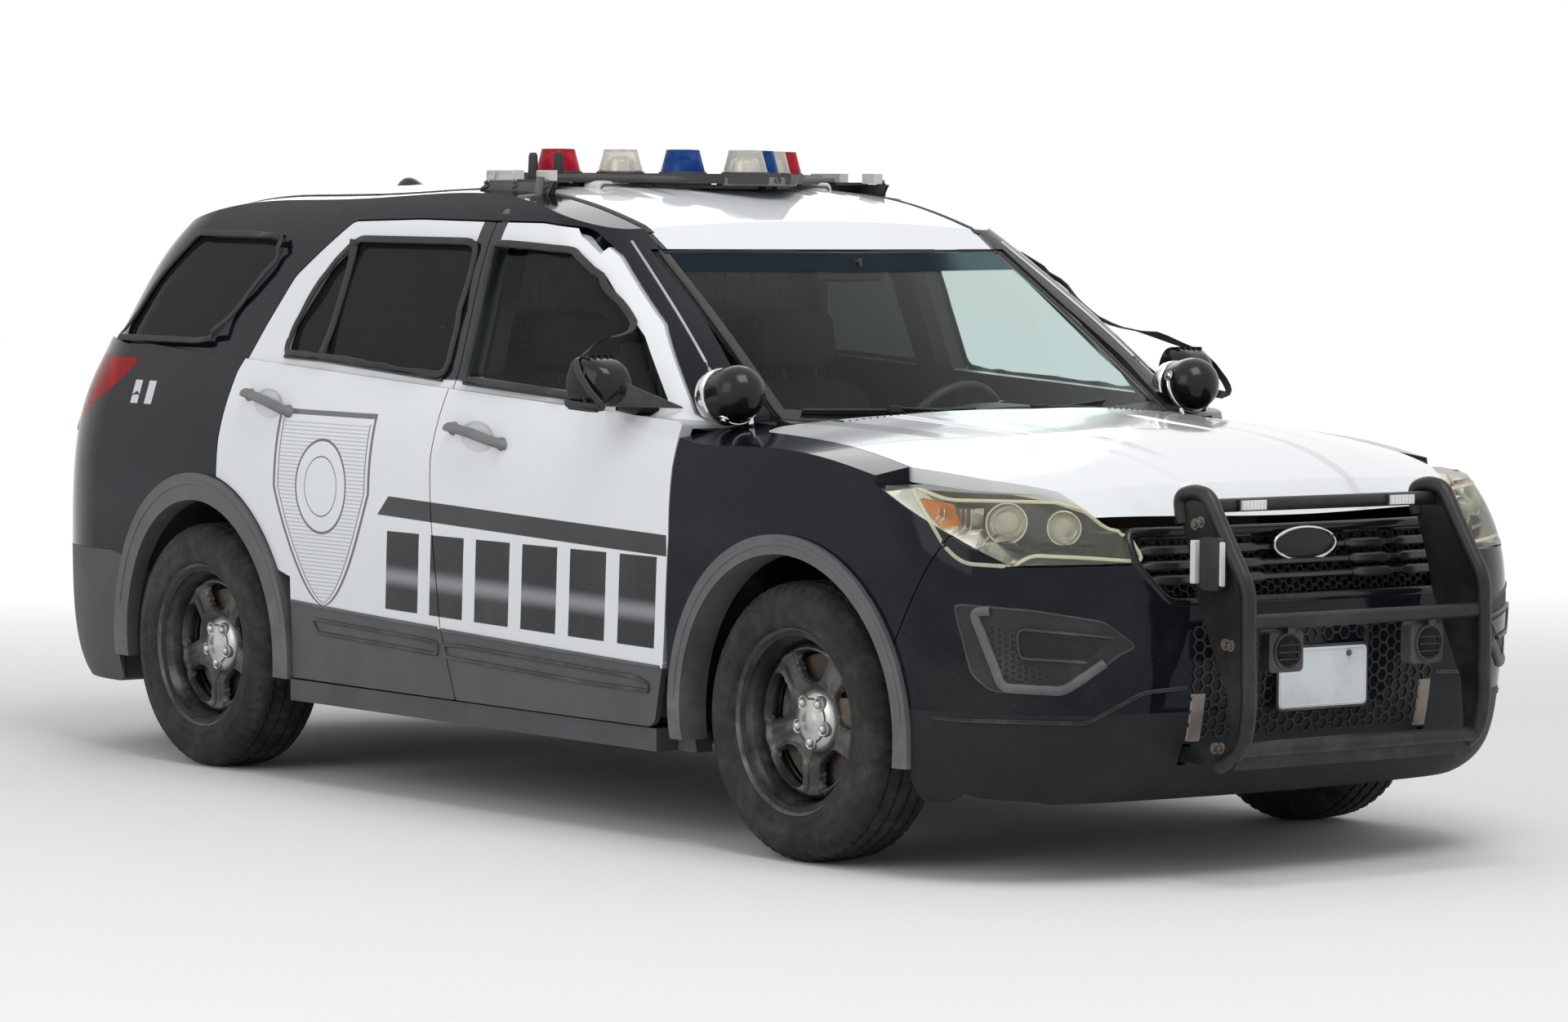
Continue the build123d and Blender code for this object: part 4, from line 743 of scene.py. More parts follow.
def window_edge(r, t):
    """Distance outside a wheel window; negative inside it. t is the angle from the window's middle."""
    half = WINDOW_HALF * (0.84 + 0.34 * (r - WINDOW_IN) / (WINDOW_OUT - WINDOW_IN))
    across = (abs(t) - half) * r
    along = max(WINDOW_IN - r, r - WINDOW_OUT)
    soft = 0.020
    a, b = max(across + soft, 0), max(along + soft, 0)
    inside = min(max(across, along), -soft)
    return math.hypot(a, b) - soft + (inside + soft if a == 0 and b == 0 else 0)


def wheel_rise(r, t):
    """How far the face stands out at a radius and angle."""
    dish = -0.022 * max(0.0, min(1.0, (0.118 - r) / 0.040)) ** 1.5
    ring = 0.009 * math.exp(-((r - 0.189) / 0.010) ** 2)
    edge = -0.034 * max(0.0, (r - 0.196) / 0.012) ** 1.6 if r > 0.196 else 0.0
    gap = window_edge(r, t)
    lip = 0.0065 * math.exp(-((gap - 0.006) / 0.006) ** 2) - 0.012 * math.exp(-max(gap, 0) / 0.003)
    spoke = 0.005 * math.exp(-((abs(t) - math.radians(36)) * r / 0.016) ** 2) * (1 if r > 0.08 else 0)
    return dish + ring + edge + lip + spoke


def wheel(place, x, side):
    centre = Vector((x, side * 0.890, TYRE_R))
    mesh = bmesh.new()
    radii = [0.030, 0.050, 0.066, 0.078, 0.086, 0.093, 0.098] + [0.102 + 0.0035 * k for k in range(24)]
    radii += [0.186, 0.190, 0.194, 0.198, 0.202, 0.206]
    steps = 240
    grid = {}
    for i, r in enumerate(radii):
        for n in range(steps):
            turn = 2 * math.pi * n / steps
            t = (turn + math.pi / 5) % (2 * math.pi / 5) - math.pi / 5
            rise = wheel_rise(r, t)
            out = Vector((math.sin(turn), 0, math.cos(turn)))
            grid[i, n] = mesh.verts.new(centre + out * r + Vector((0, side * rise, 0)))
            grid[i, n].tag = window_edge(r, t) < -0.0005
    for i in range(len(radii) - 1):
        for n in range(steps):
            quad = (grid[i, n], grid[i + 1, n], grid[i + 1, (n + 1) % steps], grid[i, (n + 1) % steps])
            if not all(v.tag for v in quad) and sum(v.tag for v in quad) < 3:
                mesh.faces.new(quad)
    for v in [v for v in mesh.verts if not v.link_faces]:
        mesh.verts.remove(v)
    bmesh.ops.solidify(mesh, geom=mesh.faces[:], thickness=0.006)
    axis = (0, side, 0)
    barrel = [(0.204, -0.034), (0.210, -0.026), (0.214, -0.008), (0.2165, 0.018), (0.2215, 0.026),
        (0.2250, 0.040), (0.2320, 0.044), (0.2390, 0.053), (0.2440, 0.061), (0.2425, 0.066), (0.2380, 0.064),
        (0.2330, 0.055), (0.2230, 0.050), (0.2170, 0.034), (0.2115, 0.024), (0.2095, -0.004),
        (0.2060, -0.022), (0.200, -0.030)]
    lathe(mesh, barrel + [(0.200, -0.040), (0.204, -0.034)], centre, axis, 96)
    inner = [(0.190, -0.034), (0.205, -0.060), (0.207, -0.128), (0.228, -0.135), (0.229, -0.138),
        (0.203, -0.138), (0.198, -0.060), (0.184, -0.036), (0.190, -0.034)]
    lathe(mesh, inner, centre, axis, 64)
    obj = piece(f"wheel_steel.{place}", f"wheel_{place}", "wheel_paint", mesh, 42)
    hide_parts(f"rim_{place}")
    cap = bmesh.new()
    crown = [(0.0, 0.013), (0.022, 0.0122), (0.024, 0.0108), (0.040, 0.0095), (0.060, 0.0055),
        (0.074, -0.002), (0.0805, -0.010), (0.0825, -0.018), (0.0830, -0.030), (0.078, -0.032)]
    lathe(cap, crown, centre, axis, 60)
    for n in range(5):
        t = 2 * math.pi * (n + 0.5) / 5
        at = centre + Vector((math.sin(t), 0, math.cos(t))) * 0.055
        lathe(cap, [(0.0, 0.020), (0.007, 0.0185), (0.0115, 0.013), (0.0130, 0.004), (0.0135, -0.004)], at,
            axis, 20)
        lathe(cap, [(0.0150, 0.0085), (0.0185, 0.0100), (0.0215, 0.0060), (0.0225, -0.004)], at, axis, 24)
    piece(f"wheel_cap.{place}", f"wheel_{place}", "silver_cap", cap, 40)
    valve = bmesh.new()
    t = math.radians(160)
    at = centre + Vector((math.sin(t), 0, math.cos(t))) * 0.199 + Vector((0, side * -0.02, 0))
    tube(valve, [at, at + Vector((-math.sin(t) * 0.006, side * 0.030, -math.cos(t) * 0.006))], 0.0038, 10)
    piece(f"wheel_valve.{place}", f"wheel_{place}", "rubber_seal", valve)
    disc = bmesh.new()
    lathe(disc, [(0.060, -0.100), (0.168, -0.100), (0.170, -0.112), (0.168, -0.124), (0.060, -0.124)], centre,
        axis, 48)
    lathe(disc, [(0.0, -0.062), (0.070, -0.062), (0.078, -0.070), (0.080, -0.100), (0.0, -0.100)], centre,
        axis, 40)
    piece(f"brake_disc.{place}", f"wheel_{place}", "chrome_worn", disc, 40)
    return obj


grained("wheel_paint", (0.030, 0.029, 0.029), (0.075, 0.072, 0.068), 0.26, 260, 0.0001, 0.45, 0.38)
grained("chrome_worn", (0.16, 0.13, 0.11), (0.30, 0.27, 0.25), 0.45, 200, 0.0002, 0.8, 0.5)
wheel_faces = 0
for place, (x, side) in WHEEL_PLACES.items():
    wheel_faces += len(wheel(place, x, side).data.polygons)
print("wheel faces", wheel_faces)

# %% [markdown]
# Each side window sits in a black rubber seal, with a thin gloss black line at the belt. The rear door's
# glass has an upright bar near its back end. What sits on a door rides on it, so it swings with the door.

# %% Window seals and belt lines
FRONT_WINDOW = [(-602, 1150), (-810, 1334), (-1050, 1494), (-1200, 1561), (-1518, 1576), (-1582, 1578),
    (-1546, 1200), (-1138, 1179)]
REAR_WINDOW = [(-1668, 1580), (-2290, 1581), (-2402, 1489), (-2511, 1320), (-2515, 1247), (-2291, 1242),
    (-1640, 1205)]
QUARTER_WINDOW = [(-3232, 1590), (-2702, 1587), (-2690, 1520), (-2945, 1278), (-3000, 1268), (-3555, 1266),
    (-3420, 1440)]
SEALS = [("window_seal_front", "door_front", "rubber_seal", FRONT_WINDOW, 0.022, 0.004, True, 0.035),
    ("window_seal_rear", "door_rear", "rubber_seal", REAR_WINDOW, 0.022, 0.004, True, 0.04),
    ("window_bar_rear", "door_rear", "rubber_seal", [(-2300, 1578), (-2312, 1246)], 0.030, 0.005, False, 0),
    ("quarter_seal", "vehicle", "rubber_seal", QUARTER_WINDOW, 0.020, 0.004, True, 0.04),
    ("belt_line_front", "door_front", "plastic_gloss", [(-640, 1146), (-1138, 1168), (-1540, 1188)], 0.014,
    0.005, False, 0), ("belt_line_rear", "door_rear", "plastic_gloss",
    [(-1650, 1193), (-2291, 1230), (-2505, 1235)], 0.014, 0.005, False, 0)]
for side, word in SIDES:
    for name, body, finish, line, width, height, closed, round_by in SEALS:
        rides = body if body == "vehicle" else f"{body}_{word}"
        side_strip(f"{name}.{word}", rides, finish, line, side, width, height, closed, round_by=round_by)
    sail = bmesh.new()
    corner = [(-0.560, 1.146), (-0.700, 1.262), (-0.700, 1.160)]
    face = [on_side(px, pz, side, 0.005)[0] for px, pz in corner]
    slab(sail, rounded(face, 0.02), (0, -side * 0.006, 0))
    piece(f"mirror_sail.{word}", f"door_front_{word}", "plastic_black", sail)
print("seals laid")

# %% [markdown]
# Door handles are grey pull bars over a dished cup. The bar is a bent tube, a little flat, that stands off
# the skin between two feet. The cup is a shallow pale dish with a raised rim.

# %% Door handles
HANDLES = [("front", (-1528, 1064), (-1249, 1026)), ("rear", (-2639, 1120), (-2371, 1075))]


def handle(name, body, back, front, side):
    back, front = (Vector((p[0] / 1000, p[1] / 1000, 0)) for p in (back, front))
    mesh = bmesh.new()
    path = []
    for n in range(15):
        t = n / 14
        at, facing = on_side(*back.lerp(front, t).xy, side)
        stand = 0.036 * min(1.0, math.sin(math.pi * t) * 2.6) ** 0.6 if 0 < t < 1 else -0.004
        path.append(at + facing * stand + Vector((0, 0, 0.004 * math.sin(math.pi * t))))
    tube(mesh, path, 0.0155, 16, flat=0.62)
    for t in (0.06, 0.94):
        at, facing = on_side(*back.lerp(front, t).xy, side)
        lathe(mesh, [(0, 0.014), (0.015, 0.012), (0.019, 0.004), (0.020, -0.004)], at, facing, 20)
    piece(f"{name}_bar", body, "handle_grey", mesh)
    middle = back.lerp(front, 0.5)
    cup = bmesh.new()
    along = (front - back).normalized()
    across = Vector((-along.y, along.x, 0))
    rings = []
    for share, rise in ((1.0, -0.002), (1.0, 0.0016), (0.94, 0.0022), (0.90, 0.0010), (0.72, 0.0006),
        (0.2, 0.0004)):
        ring = []
        for t in around(28):
            flat = middle + along * (0.086 * share * math.cos(t)) + across * (0.041 * share * math.sin(t))
            at, facing = on_side(flat.x, flat.y, side)
            ring.append(at + facing * rise)
        rings.append(ring)
    bridge(cup, rings)
    piece(f"{name}_cup", body, "cup_white", cup, 60)


grained("handle_grey", (0.115, 0.117, 0.120), (0.16, 0.16, 0.16), 0.42, 380, 0.0002, dust=0.3)
cup_finish = Finish("cup_white", Coat_Weight=0.4, Specular_IOR_Level=0.35)
cup_finish.feed("Base Color", weather(cup_finish, (0.58, 0.59, 0.60), 0.3))
for side, word in SIDES:
    for end, back, front in HANDLES:
        handle(f"handle_{end}_{word}", f"door_{end}_{word}", back, front, side)
key_place, key_facing = on_side(-1.470, 1.002, 1)
lock = bmesh.new()
lathe(lock, [(0, 0.004), (0.009, 0.004), (0.011, 0.002), (0.011, -0.002)], key_place, key_facing, 24)
piece("lock_barrel", "door_front_left", "chrome", lock)
print("handles made")

# %% [markdown]
# The plastic cladding has one long raised frame on each door, and a thin edge where it meets the paint.
# Each arch flare has a soft bead inside its edge. All are strips laid on the skin. The hollow section is
# for pressed lines.

# %% Cladding lines and arch beads
HOLLOW = [(-0.5, 0), (-0.36, 1.0), (-0.20, 0.8), (-0.12, 0.12), (0.12, 0.12), (0.20, 0.8), (0.36, 1.0),
    (0.5, 0)]
CLAD_FRAMES = [("front", [(-1537, 457), (-1440, 459), (-640, 434), (-584, 420), (-582, 400), (-900, 403),
    (-1530, 424)]), ("rear", [(-2225, 484), (-1640, 465), (-1571, 459), (-1571, 428), (-2195, 446)])]
ARCHES = [("front", 0.0, 0.462, 4, 176), ("rear", REAR_AXLE - FRONT_AXLE, 0.486, 12, 168)]
for side, word in SIDES:
    for end, line in CLAD_FRAMES:
        side_strip(f"clad_frame_{end}.{word}", f"door_{end}_{word}", "plastic_black", line, side, 0.011,
            0.0055, True, round_by=0.012)
    edge_front = [(-1549, 498), (-1100, 484), (-640, 470), (-534, 467)]
    side_strip(f"clad_edge_front.{word}", f"door_front_{word}", "plastic_grey", edge_front, side, 0.010,
        0.0035)
    edge_rear = [(-2340, 529), (-2000, 515), (-1572, 501)]
    side_strip(f"clad_edge_rear.{word}", f"door_rear_{word}", "plastic_grey", edge_rear, side, 0.010, 0.0035)
    for end, axle, out, start, stop in ARCHES:
        bead = bmesh.new()
        path = []
        for n in range(61):
            t = math.radians(start + (stop - start) * n / 60)
            path.append(on_side(axle + out * math.cos(t), TYRE_R + out * math.sin(t), side))
        strip(bead, path, 0.012, 0.0025)
        piece(f"arch_bead_{end}.{word}", "vehicle", "plastic_grey", bead)
print("cladding frames", len(CLAD_FRAMES) * 2)

# %% [markdown]
# The mirror is a blow-moulded shell: full and square at the glass, domed towards the wind, and carried by a
# short flat arm at its lower inner corner. Rings that shrink along a superellipse give that dome, so no
# corner is hard. The glass sits in the open back, behind a thin lip.

# %% Door mirrors
mirror_finish = Finish("mirror_silver", Metallic=1.0)
smear = mirror_finish.noise(12, 4, 0.6).fade(0.45, 0.75)
mirror_finish.feed("Base Color", mirror_finish.mix(smear * 0.25, (0.80, 0.82, 0.84), (0.55, 0.54, 0.52)))
mirror_finish.feed("Roughness", 0.03 + smear * 0.10)
MIRROR_BACK = FRONT_AXLE - 0.760
MIRROR_DEEP = 0.122
MIRROR_FACE = [(0.984, 1.149), (1.120, 1.152), (1.136, 1.215), (1.110, 1.285), (1.000, 1.287), (0.972, 1.230)]
MIRROR_MIDDLE = Vector((1.055, 1.215))
for side, word in SIDES:
    face = rounded([(MIRROR_BACK, side * y, z) for y, z in MIRROR_FACE], 0.030, 6)
    middle = Vector((MIRROR_BACK, side * MIRROR_MIDDLE.x, MIRROR_MIDDLE.y))
    rings = [[middle + (p - middle) * 0.93 + Vector((0.004, 0, 0)) for p in face]]
    for n in range(13):
        t = min(n / 12, 0.995)
        size = (1 - t ** 2.7) ** (1 / 2.7)
        drop = Vector((MIRROR_DEEP * t, -side * 0.012 * t * t, -0.014 * t * t))
        rings.append([middle + (p - middle) * size + drop for p in face])
    shell = bmesh.new()
    bridge(shell, rings)
    arm = [(-0.700, 1.000, 1.168), (-0.684, 0.962, 1.158), (-0.668, 0.930, 1.152), (-0.650, 0.906, 1.150)]
    tube(shell, [(FRONT_AXLE + x, side * y, z) for x, y, z in arm], 0.036, 20, flat=0.55)
    body = piece(f"mirror_shell.{word}", f"door_front_{word}", "plastic_gloss", shell)
    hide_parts(f"mirror_{word}")
    glass_face = [middle + (p - middle) * 0.92 + Vector((-0.001, 0, 0)) for p in face]
    mesh = bmesh.new()
    slab(mesh, glass_face, (0.004, 0, 0))
    piece(f"mirror_glass.{word}", f"door_front_{word}", "mirror_silver", mesh)
    ring = bmesh.new()
    tube(ring, [middle + (p - middle) * 0.962 for p in face], 0.0035, 8, True)
    piece(f"mirror_edge.{word}", f"door_front_{word}", "plastic_black", ring)
    line = bmesh.new()
    for n in range(5):
        y = 1.010 + n * 0.021
        brick(line, (MIRROR_BACK + 0.018, side * y - 0.004, 1.279),
            (MIRROR_BACK + 0.050, side * y + 0.004, 1.288))
    piece(f"mirror_ribs.{word}", f"door_front_{word}", "plastic_gloss", line)
print("mirrors dressed")

# %% [markdown]
# A spotlight is a spun steel bowl on a post through the windshield's corner. At rest its lens looks back,
# so the black bowl meets the wind and the chromed bezel shows as a thin bright rim behind it. A yoke and a
# post in chrome carry it.

# %% Spotlights
SPOT_R = 0.074
SPOT_AIM = Vector((0.978, 0, 0.208))
for side, word in SIDES:
    centre = Vector((FRONT_AXLE - 0.403, side * 0.811, 1.200))
    bowl = [(SPOT_R * math.sin(t) + 1e-5, -0.029 + SPOT_R * math.cos(t))
        for t in (math.radians(6 * n) for n in range(16))]
    bowl += [(0.0735, -0.060), (0.0720, -0.090), (0.0, -0.092)]
    shell = bmesh.new()
    lathe(shell, bowl, centre, SPOT_AIM, 56)
    tube(shell, [(FRONT_AXLE - 0.440, side * 0.790, 1.190), (FRONT_AXLE - 0.500, side * 0.735, 1.135)], 0.014,
        16)
    bowls = piece(f"spotlight_bowl.{word}", "vehicle", "plastic_gloss", shell)
    if side < 0:
        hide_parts("spotlights")
    bezel = bmesh.new()
    lathe(bezel, [(0.0730, -0.084), (0.0775, -0.087), (0.0790, -0.095), (0.0790, -0.112), (0.0755, -0.119),
        (0.0690, -0.119), (0.0670, -0.114), (0.0670, -0.093), (0.0730, -0.084)], centre, SPOT_AIM, 56)
    piece(f"spotlight_bezel.{word}", "vehicle", "chrome", bezel)
    lens = bmesh.new()
    lathe(lens, [(0.0, -0.093), (0.0668, -0.093), (0.0668, -0.113), (0.050, -0.118), (0.025, -0.1205),
        (0.0, -0.121)], centre, SPOT_AIM, 48)
    piece(f"spotlight_lens.{word}", "vehicle", "lamp_white", lens)
    yoke = bmesh.new()
    hold = centre - SPOT_AIM * 0.045
    cross = Vector((0, -side, 0))
    down = SPOT_AIM.cross(Vector((0, 1, 0))).normalized()
    down = down if down.z < 0 else -down
    arc = [hold + (cross * math.cos(t) + down * math.sin(t)) * 0.0795
        for t in (math.radians(-20 + 11 * n) for n in range(14))]
    tube(yoke, arc, 0.0055, 10, flat=0.6)
    for n in (0, 13):
        bolt(yoke, arc[n], (arc[n] - hold).normalized(), 0.009)
    post = [hold + (cross * 0.55 + down * 0.83) * 0.080, Vector((FRONT_AXLE - 0.500, side * 0.735, 1.135))]
    tube(yoke, bend([post[0], post[0] + down * 0.02, post[1]], 0.02), 0.009, 14)
    lathe(yoke, [(0.0, -0.004), (0.024, -0.004), (0.024, 0.004), (0.015, 0.012), (0.0, 0.013)], post[1],
        (post[0] - post[1]).normalized(), 32)
    piece(f"spotlight_yoke.{word}", "vehicle", "chrome", yoke)
print("spotlights built")

# %% [markdown]
# Small parts of the nose were read off the picture. A line of sight through each picture place meets the
# skin at the real place of the part, so outlines are listed as picture places and laid on the curved
# bumper. The left side is the same mesh with y turned round.


# %% Outlines by line of sight
def sight(u, v, tree, lift=0.0):
    """Where the line of sight through a picture place meets the skin."""
    out = look + right * ((u - PICTURE[0] / 2) / FOCAL) - up * ((v - PICTURE[1] / 2) / FOCAL)
    out.normalize()
    at, facing, _, far = tree.ray_cast(camera.matrix_world.translation, out, 40)
    if at is None or far > 15.5:
        at, facing, _, _ = tree.find_nearest(camera.matrix_world.translation + out * 13.7)
    if facing.dot(out) > 0:
        facing = -facing
    return at + facing * lift, facing


def patch(mesh, outline, tree, lift, cuts=3):
    """A thin sheet over the skin inside a closed picture outline."""
    flat = bmesh.new()
    ring = [flat.verts.new((u, v, 0)) for u, v in outline]
    flat.faces.new(ring)
    bmesh.ops.triangulate(flat, faces=flat.faces[:])
    for _ in range(cuts):
        bmesh.ops.subdivide_edges(flat, edges=[e for e in flat.edges if e.calc_length() > 7], cuts=1)
        bmesh.ops.triangulate(flat, faces=flat.faces[:])
    made = {}
    for vert in flat.verts:
        at, facing = sight(vert.co.x, vert.co.y, tree, lift)
        made[vert] = mesh.verts.new(at)
    for face in flat.faces:
        mesh.faces.new([made[v] for v in face.verts])
    flat.free()


def both(name, build, finish, body="vehicle", smooth=38, **more):
    """One piece built on the right and its mirror image on the left."""
    out = []
    for side, word in SIDES:
        mesh = bmesh.new()
        build(mesh)
        if side > 0:
            for vert in mesh.verts:
                vert.co.y = -vert.co.y
            bmesh.ops.reverse_faces(mesh, faces=mesh.faces[:])
        out.append(piece(f"{name}.{word}", body.replace("SIDE", word), finish, mesh, smooth, **more))
    return out


def row(x, y, z):
    """A place in metres from millimetres with x from the front axle."""
    return Vector((x / 1000 + FRONT_AXLE, y / 1000, z / 1000))


BOX = ((-1, -1), (1, -1), (1, 1), (-1, 1))
FLAT_WALL = [(-0.5, 0), (-0.5, 1), (0.5, 1), (0.5, 0)]


def comb_places(size, base, columns, levels):
    """Middles of a honeycomb's cells, as y and z."""
    for i in columns:
        for j in levels:
            yield i * size * 1.5, base + j * size * 1.732 + (size * 0.866 if i % 2 else 0)


nose = tree_of(["front_bumper", "front_fenders", "headlamps", "grille"])
FOG_POCKET = [(1168, 740), (1262, 748), (1352, 762), (1392, 792), (1370, 802), (1330, 834), (1302, 851),
    (1214, 846), (1190, 826)]
FOG_RIM = [(1352, 812), (1302, 846), (1228, 842), (1192, 749), (1212, 748)]
FOG_MESH = [(1208, 757), (1242, 772), (1250, 806), (1288, 832), (1226, 836)]
FOG_INNER = [(1362, 781), (1246, 770), (1248, 806), (1330, 811)]


def fog_cells(mesh):
    step_u, step_v = 8.2, 7.6
    for i in range(12):
        for j in range(13):
            u = 1200 + i * step_u
            v = 752 + j * step_v + (step_v / 2 if i % 2 else 0)
            if not inside((u, v), FOG_MESH):
                continue
            ring = [sight(u + 4.4 * math.cos(t), v + 4.2 * math.sin(t), nose) for t in around(6)]
            strip(mesh, ring, 0.0028, 0.0035, closed=True, section=FLAT_WALL)


def inside(at, outline):
    hit = False
    for (ax, ay), (bx, by) in zip(outline, outline[1:] + outline[:1]):
        if (ay > at[1]) != (by > at[1]) and at[0] < (bx - ax) * (at[1] - ay) / (by - ay) + ax:
            hit = not hit
    return hit


def sight_strip(points, width, height, tree, closed=False, step=9, round_by=10, **more):
    flat = [(u, v, 0) for u, v in points]
    flat = rounded(flat, round_by) if closed else bend(flat, round_by)

    def build(mesh):
        strip(mesh, [sight(p[0], p[1], tree) for p in split(flat, step, closed)], width, height,
            closed=closed, **more)
    return build


# Near-black plastic, darker than plastic_black: painted shade for the fog pockets, the wall behind the grille
# and the lower honeycomb
grained("plastic_black_painted_shade", (0.004, 0.004, 0.004), (0.010, 0.010, 0.010), 0.6, 300, 0.0003, dust=0.10)
grained("grille_black", (0.008, 0.008, 0.009), (0.016, 0.016, 0.017), 0.30, 200, 0.0001, dust=0.12)
grained("bumper_black", (0.008, 0.008, 0.009), (0.016, 0.016, 0.016), 0.38, 420, 0.0003, 0.0, 0.10,
    Specular_IOR_Level=0.35)
grained("lamp_silver", (0.62, 0.62, 0.58), (0.70, 0.69, 0.62), 0.16, 200, 0.0001, 0.85, 0.10)
glass("lens_haze", (0.80, 0.78, 0.58), 0.35, 0.5, 0.6, (0.75, 0.71, 0.50))
# The fog pocket is a near-black sheet laid on the skin: painted shade standing for the recess
both("fog_pocket", lambda mesh: patch(mesh, FOG_POCKET, nose, 0.0012), "plastic_black_painted_shade")
both("fog_pocket_edge", sight_strip(FOG_POCKET, 0.007, 0.003, nose, True), "plastic_black")
both("fog_rim", sight_strip(FOG_RIM, 0.026, 0.012, nose), "plastic_grey")
both("fog_honeycomb", fog_cells, "plastic_black")
both("fog_inner_rim", sight_strip(FOG_INNER, 0.010, 0.010, nose), "steel_painted")
both("fog_inner_pocket", lambda mesh: patch(mesh, [(1252, 776), (1352, 788), (1334, 805), (1254, 801)], nose,
    0.003), "plastic_gloss")
both("bumper_lower_line", sight_strip([(1142, 878), (1180, 882), (1330, 886), (1400, 848), (1452, 842)],
    0.010, 0.004, nose, section=HOLLOW), "plastic_black")
print("fog trims made")

# %% [markdown]
# The grille is replaced by what it is made of: a frame, four stepped bars and a honeycomb wall set deep
# behind them, backed by a near-black sheet that is painted shade. The oval in the middle is a plain plate.
# The frame lies on the same surface as the solid it replaces.

# %% Grille
GRILLE = [(-550, 880), (-555, 800), (-480, 707), (480, 707), (555, 800), (550, 880)]
GRILLE_NODE = tree_of(["grille", "front_bumper"])


def face_x(y, z):
    at, _, _, _ = GRILLE_NODE.ray_cast(Vector((AHEAD, y, z)), Vector((-1, 0, 0)), 2.5)
    return at.x


frame_mesh = bmesh.new()
rim_line = []
for p in split(rounded([(y / 1000, z / 1000, 0) for y, z in GRILLE], 0.03), 0.04, True):
    centre_pull = Vector((-p.x * 0.03, (0.80 - p.y) * 0.06))
    rim_line.append(Vector((face_x(p.x + centre_pull.x, p.y + centre_pull.y) - 0.012, p.x, p.y)))
tube(frame_mesh, rim_line, 0.015, 10, True)
grille_frame = piece("grille_frame", "vehicle", "plastic_gloss", frame_mesh)
bars = bmesh.new()
BARS = [(873, 0.535), (836, 0.540), (799, 0.545), (764, 0.520)]
STEPS = [(-0.53, -0.33), (-0.30, -0.15), (0.15, 0.30), (0.33, 0.53)]
for height, reach in BARS:
    z_mid = height / 1000

    def bar_ring(y, thick, tall):
        front = face_x(max(-0.53, min(0.53, y)), z_mid) - 0.010
        return [Vector((front - thick, y, z_mid - tall)), Vector((front - 0.004, y, z_mid - tall)),
            Vector((front, y, z_mid - tall * 0.5)), Vector((front - 0.003, y, z_mid + tall * 0.6)),
            Vector((front - 0.010, y, z_mid + tall)), Vector((front - thick, y, z_mid + tall))]
    bridge(bars, [bar_ring(-reach + 2 * reach * n / 24, 0.022, 0.008) for n in range(25)])
    for low, high in STEPS:
        low, high = max(low, -reach), min(high, reach)
        rings = []
        for n in range(9):
            y = low + (high - low) * n / 8
            grow = 0.5 if n in (0, 8) else 1
            rings.append([p + Vector((0.007 * grow, 0, 0)) for p in bar_ring(y, 0.022, 0.0125 * grow)])
        bridge(bars, rings)
piece("grille_bars", "vehicle", "grille_black", bars, 30, seam=0.0012)
comb = bmesh.new()
size = 0.0145
deep = Vector((-0.018, 0, 0))
for y, z in comb_places(size, 0.722, range(-26, 27), range(9)):
    if abs(y) > 0.535 - max(0, 0.80 - z) * 0.8 or z > 0.872 or abs(y) < 0.085 and z > 0.79:
        continue
    x = face_x(y, z) - 0.050
    cell = [Vector((x, y + size * 0.98 * math.cos(t), z + size * 0.98 * math.sin(t))) for t in around(6)]
    inner = [Vector((x, y + (p.y - y) * 0.82, z + (p.z - z) * 0.82)) for p in cell]
    outer_v = [comb.verts.new(p) for p in cell]
    inner_v = [comb.verts.new(p) for p in inner]
    back_v = [comb.verts.new(p + deep) for p in inner]
    for k in range(6):
        m = (k + 1) % 6
        comb.faces.new((outer_v[k], outer_v[m], inner_v[m], inner_v[k]))
        comb.faces.new((inner_v[k], inner_v[m], back_v[m], back_v[k]))
piece("grille_honeycomb", "vehicle", "plastic_black", comb, 20)
# painted shade: a near-black sheet behind the honeycomb stands for the shade inside the opening
wall = bmesh.new()
rings = []
for n in range(29):
    y = -0.56 + 1.12 * n / 28
    front = face_x(max(-0.53, min(0.53, y)), 0.80) - 0.085
    low = 0.700 + max(0.0, abs(y) - 0.48) * 1.2
    rings.append([Vector((front - 0.01, y, low)), Vector((front, y, low)), Vector((front, y, 0.890)),
        Vector((front - 0.01, y, 0.890))])
bridge(wall, rings)
piece("grille_wall", "vehicle", "plastic_black_painted_shade", wall)
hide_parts("grille")
oval = bmesh.new()
mid = face_x(0, 0.842) - 0.004


def oval_ring(rise, share):
    return [Vector((mid + rise, 0.107 * share * math.cos(t), 0.842 + 0.041 * share * math.sin(t)))
        for t in around(48)]


tube(oval, oval_ring(0.003, 1.0), 0.004, 8, True)
piece("oval_rim", "vehicle", "chrome", oval)
plate = bmesh.new()
bridge(plate, [oval_ring(-0.02, 1.0), oval_ring(0.001, 1.0), oval_ring(0.0035, 0.8), oval_ring(0.005, 0.5),
    oval_ring(0.006, 0.1)])
piece("oval_plate", "vehicle", "plastic_gloss", plate, 60)
print("grille bars", len(BARS))

# %% [markdown]
# Head lamps: behind the hazed lens sit a bright bowl with a projector ball, a second bowl, an amber corner
# and a dark shelf with small lights. Bowls are lathes whose axis looks forward and a little outward.

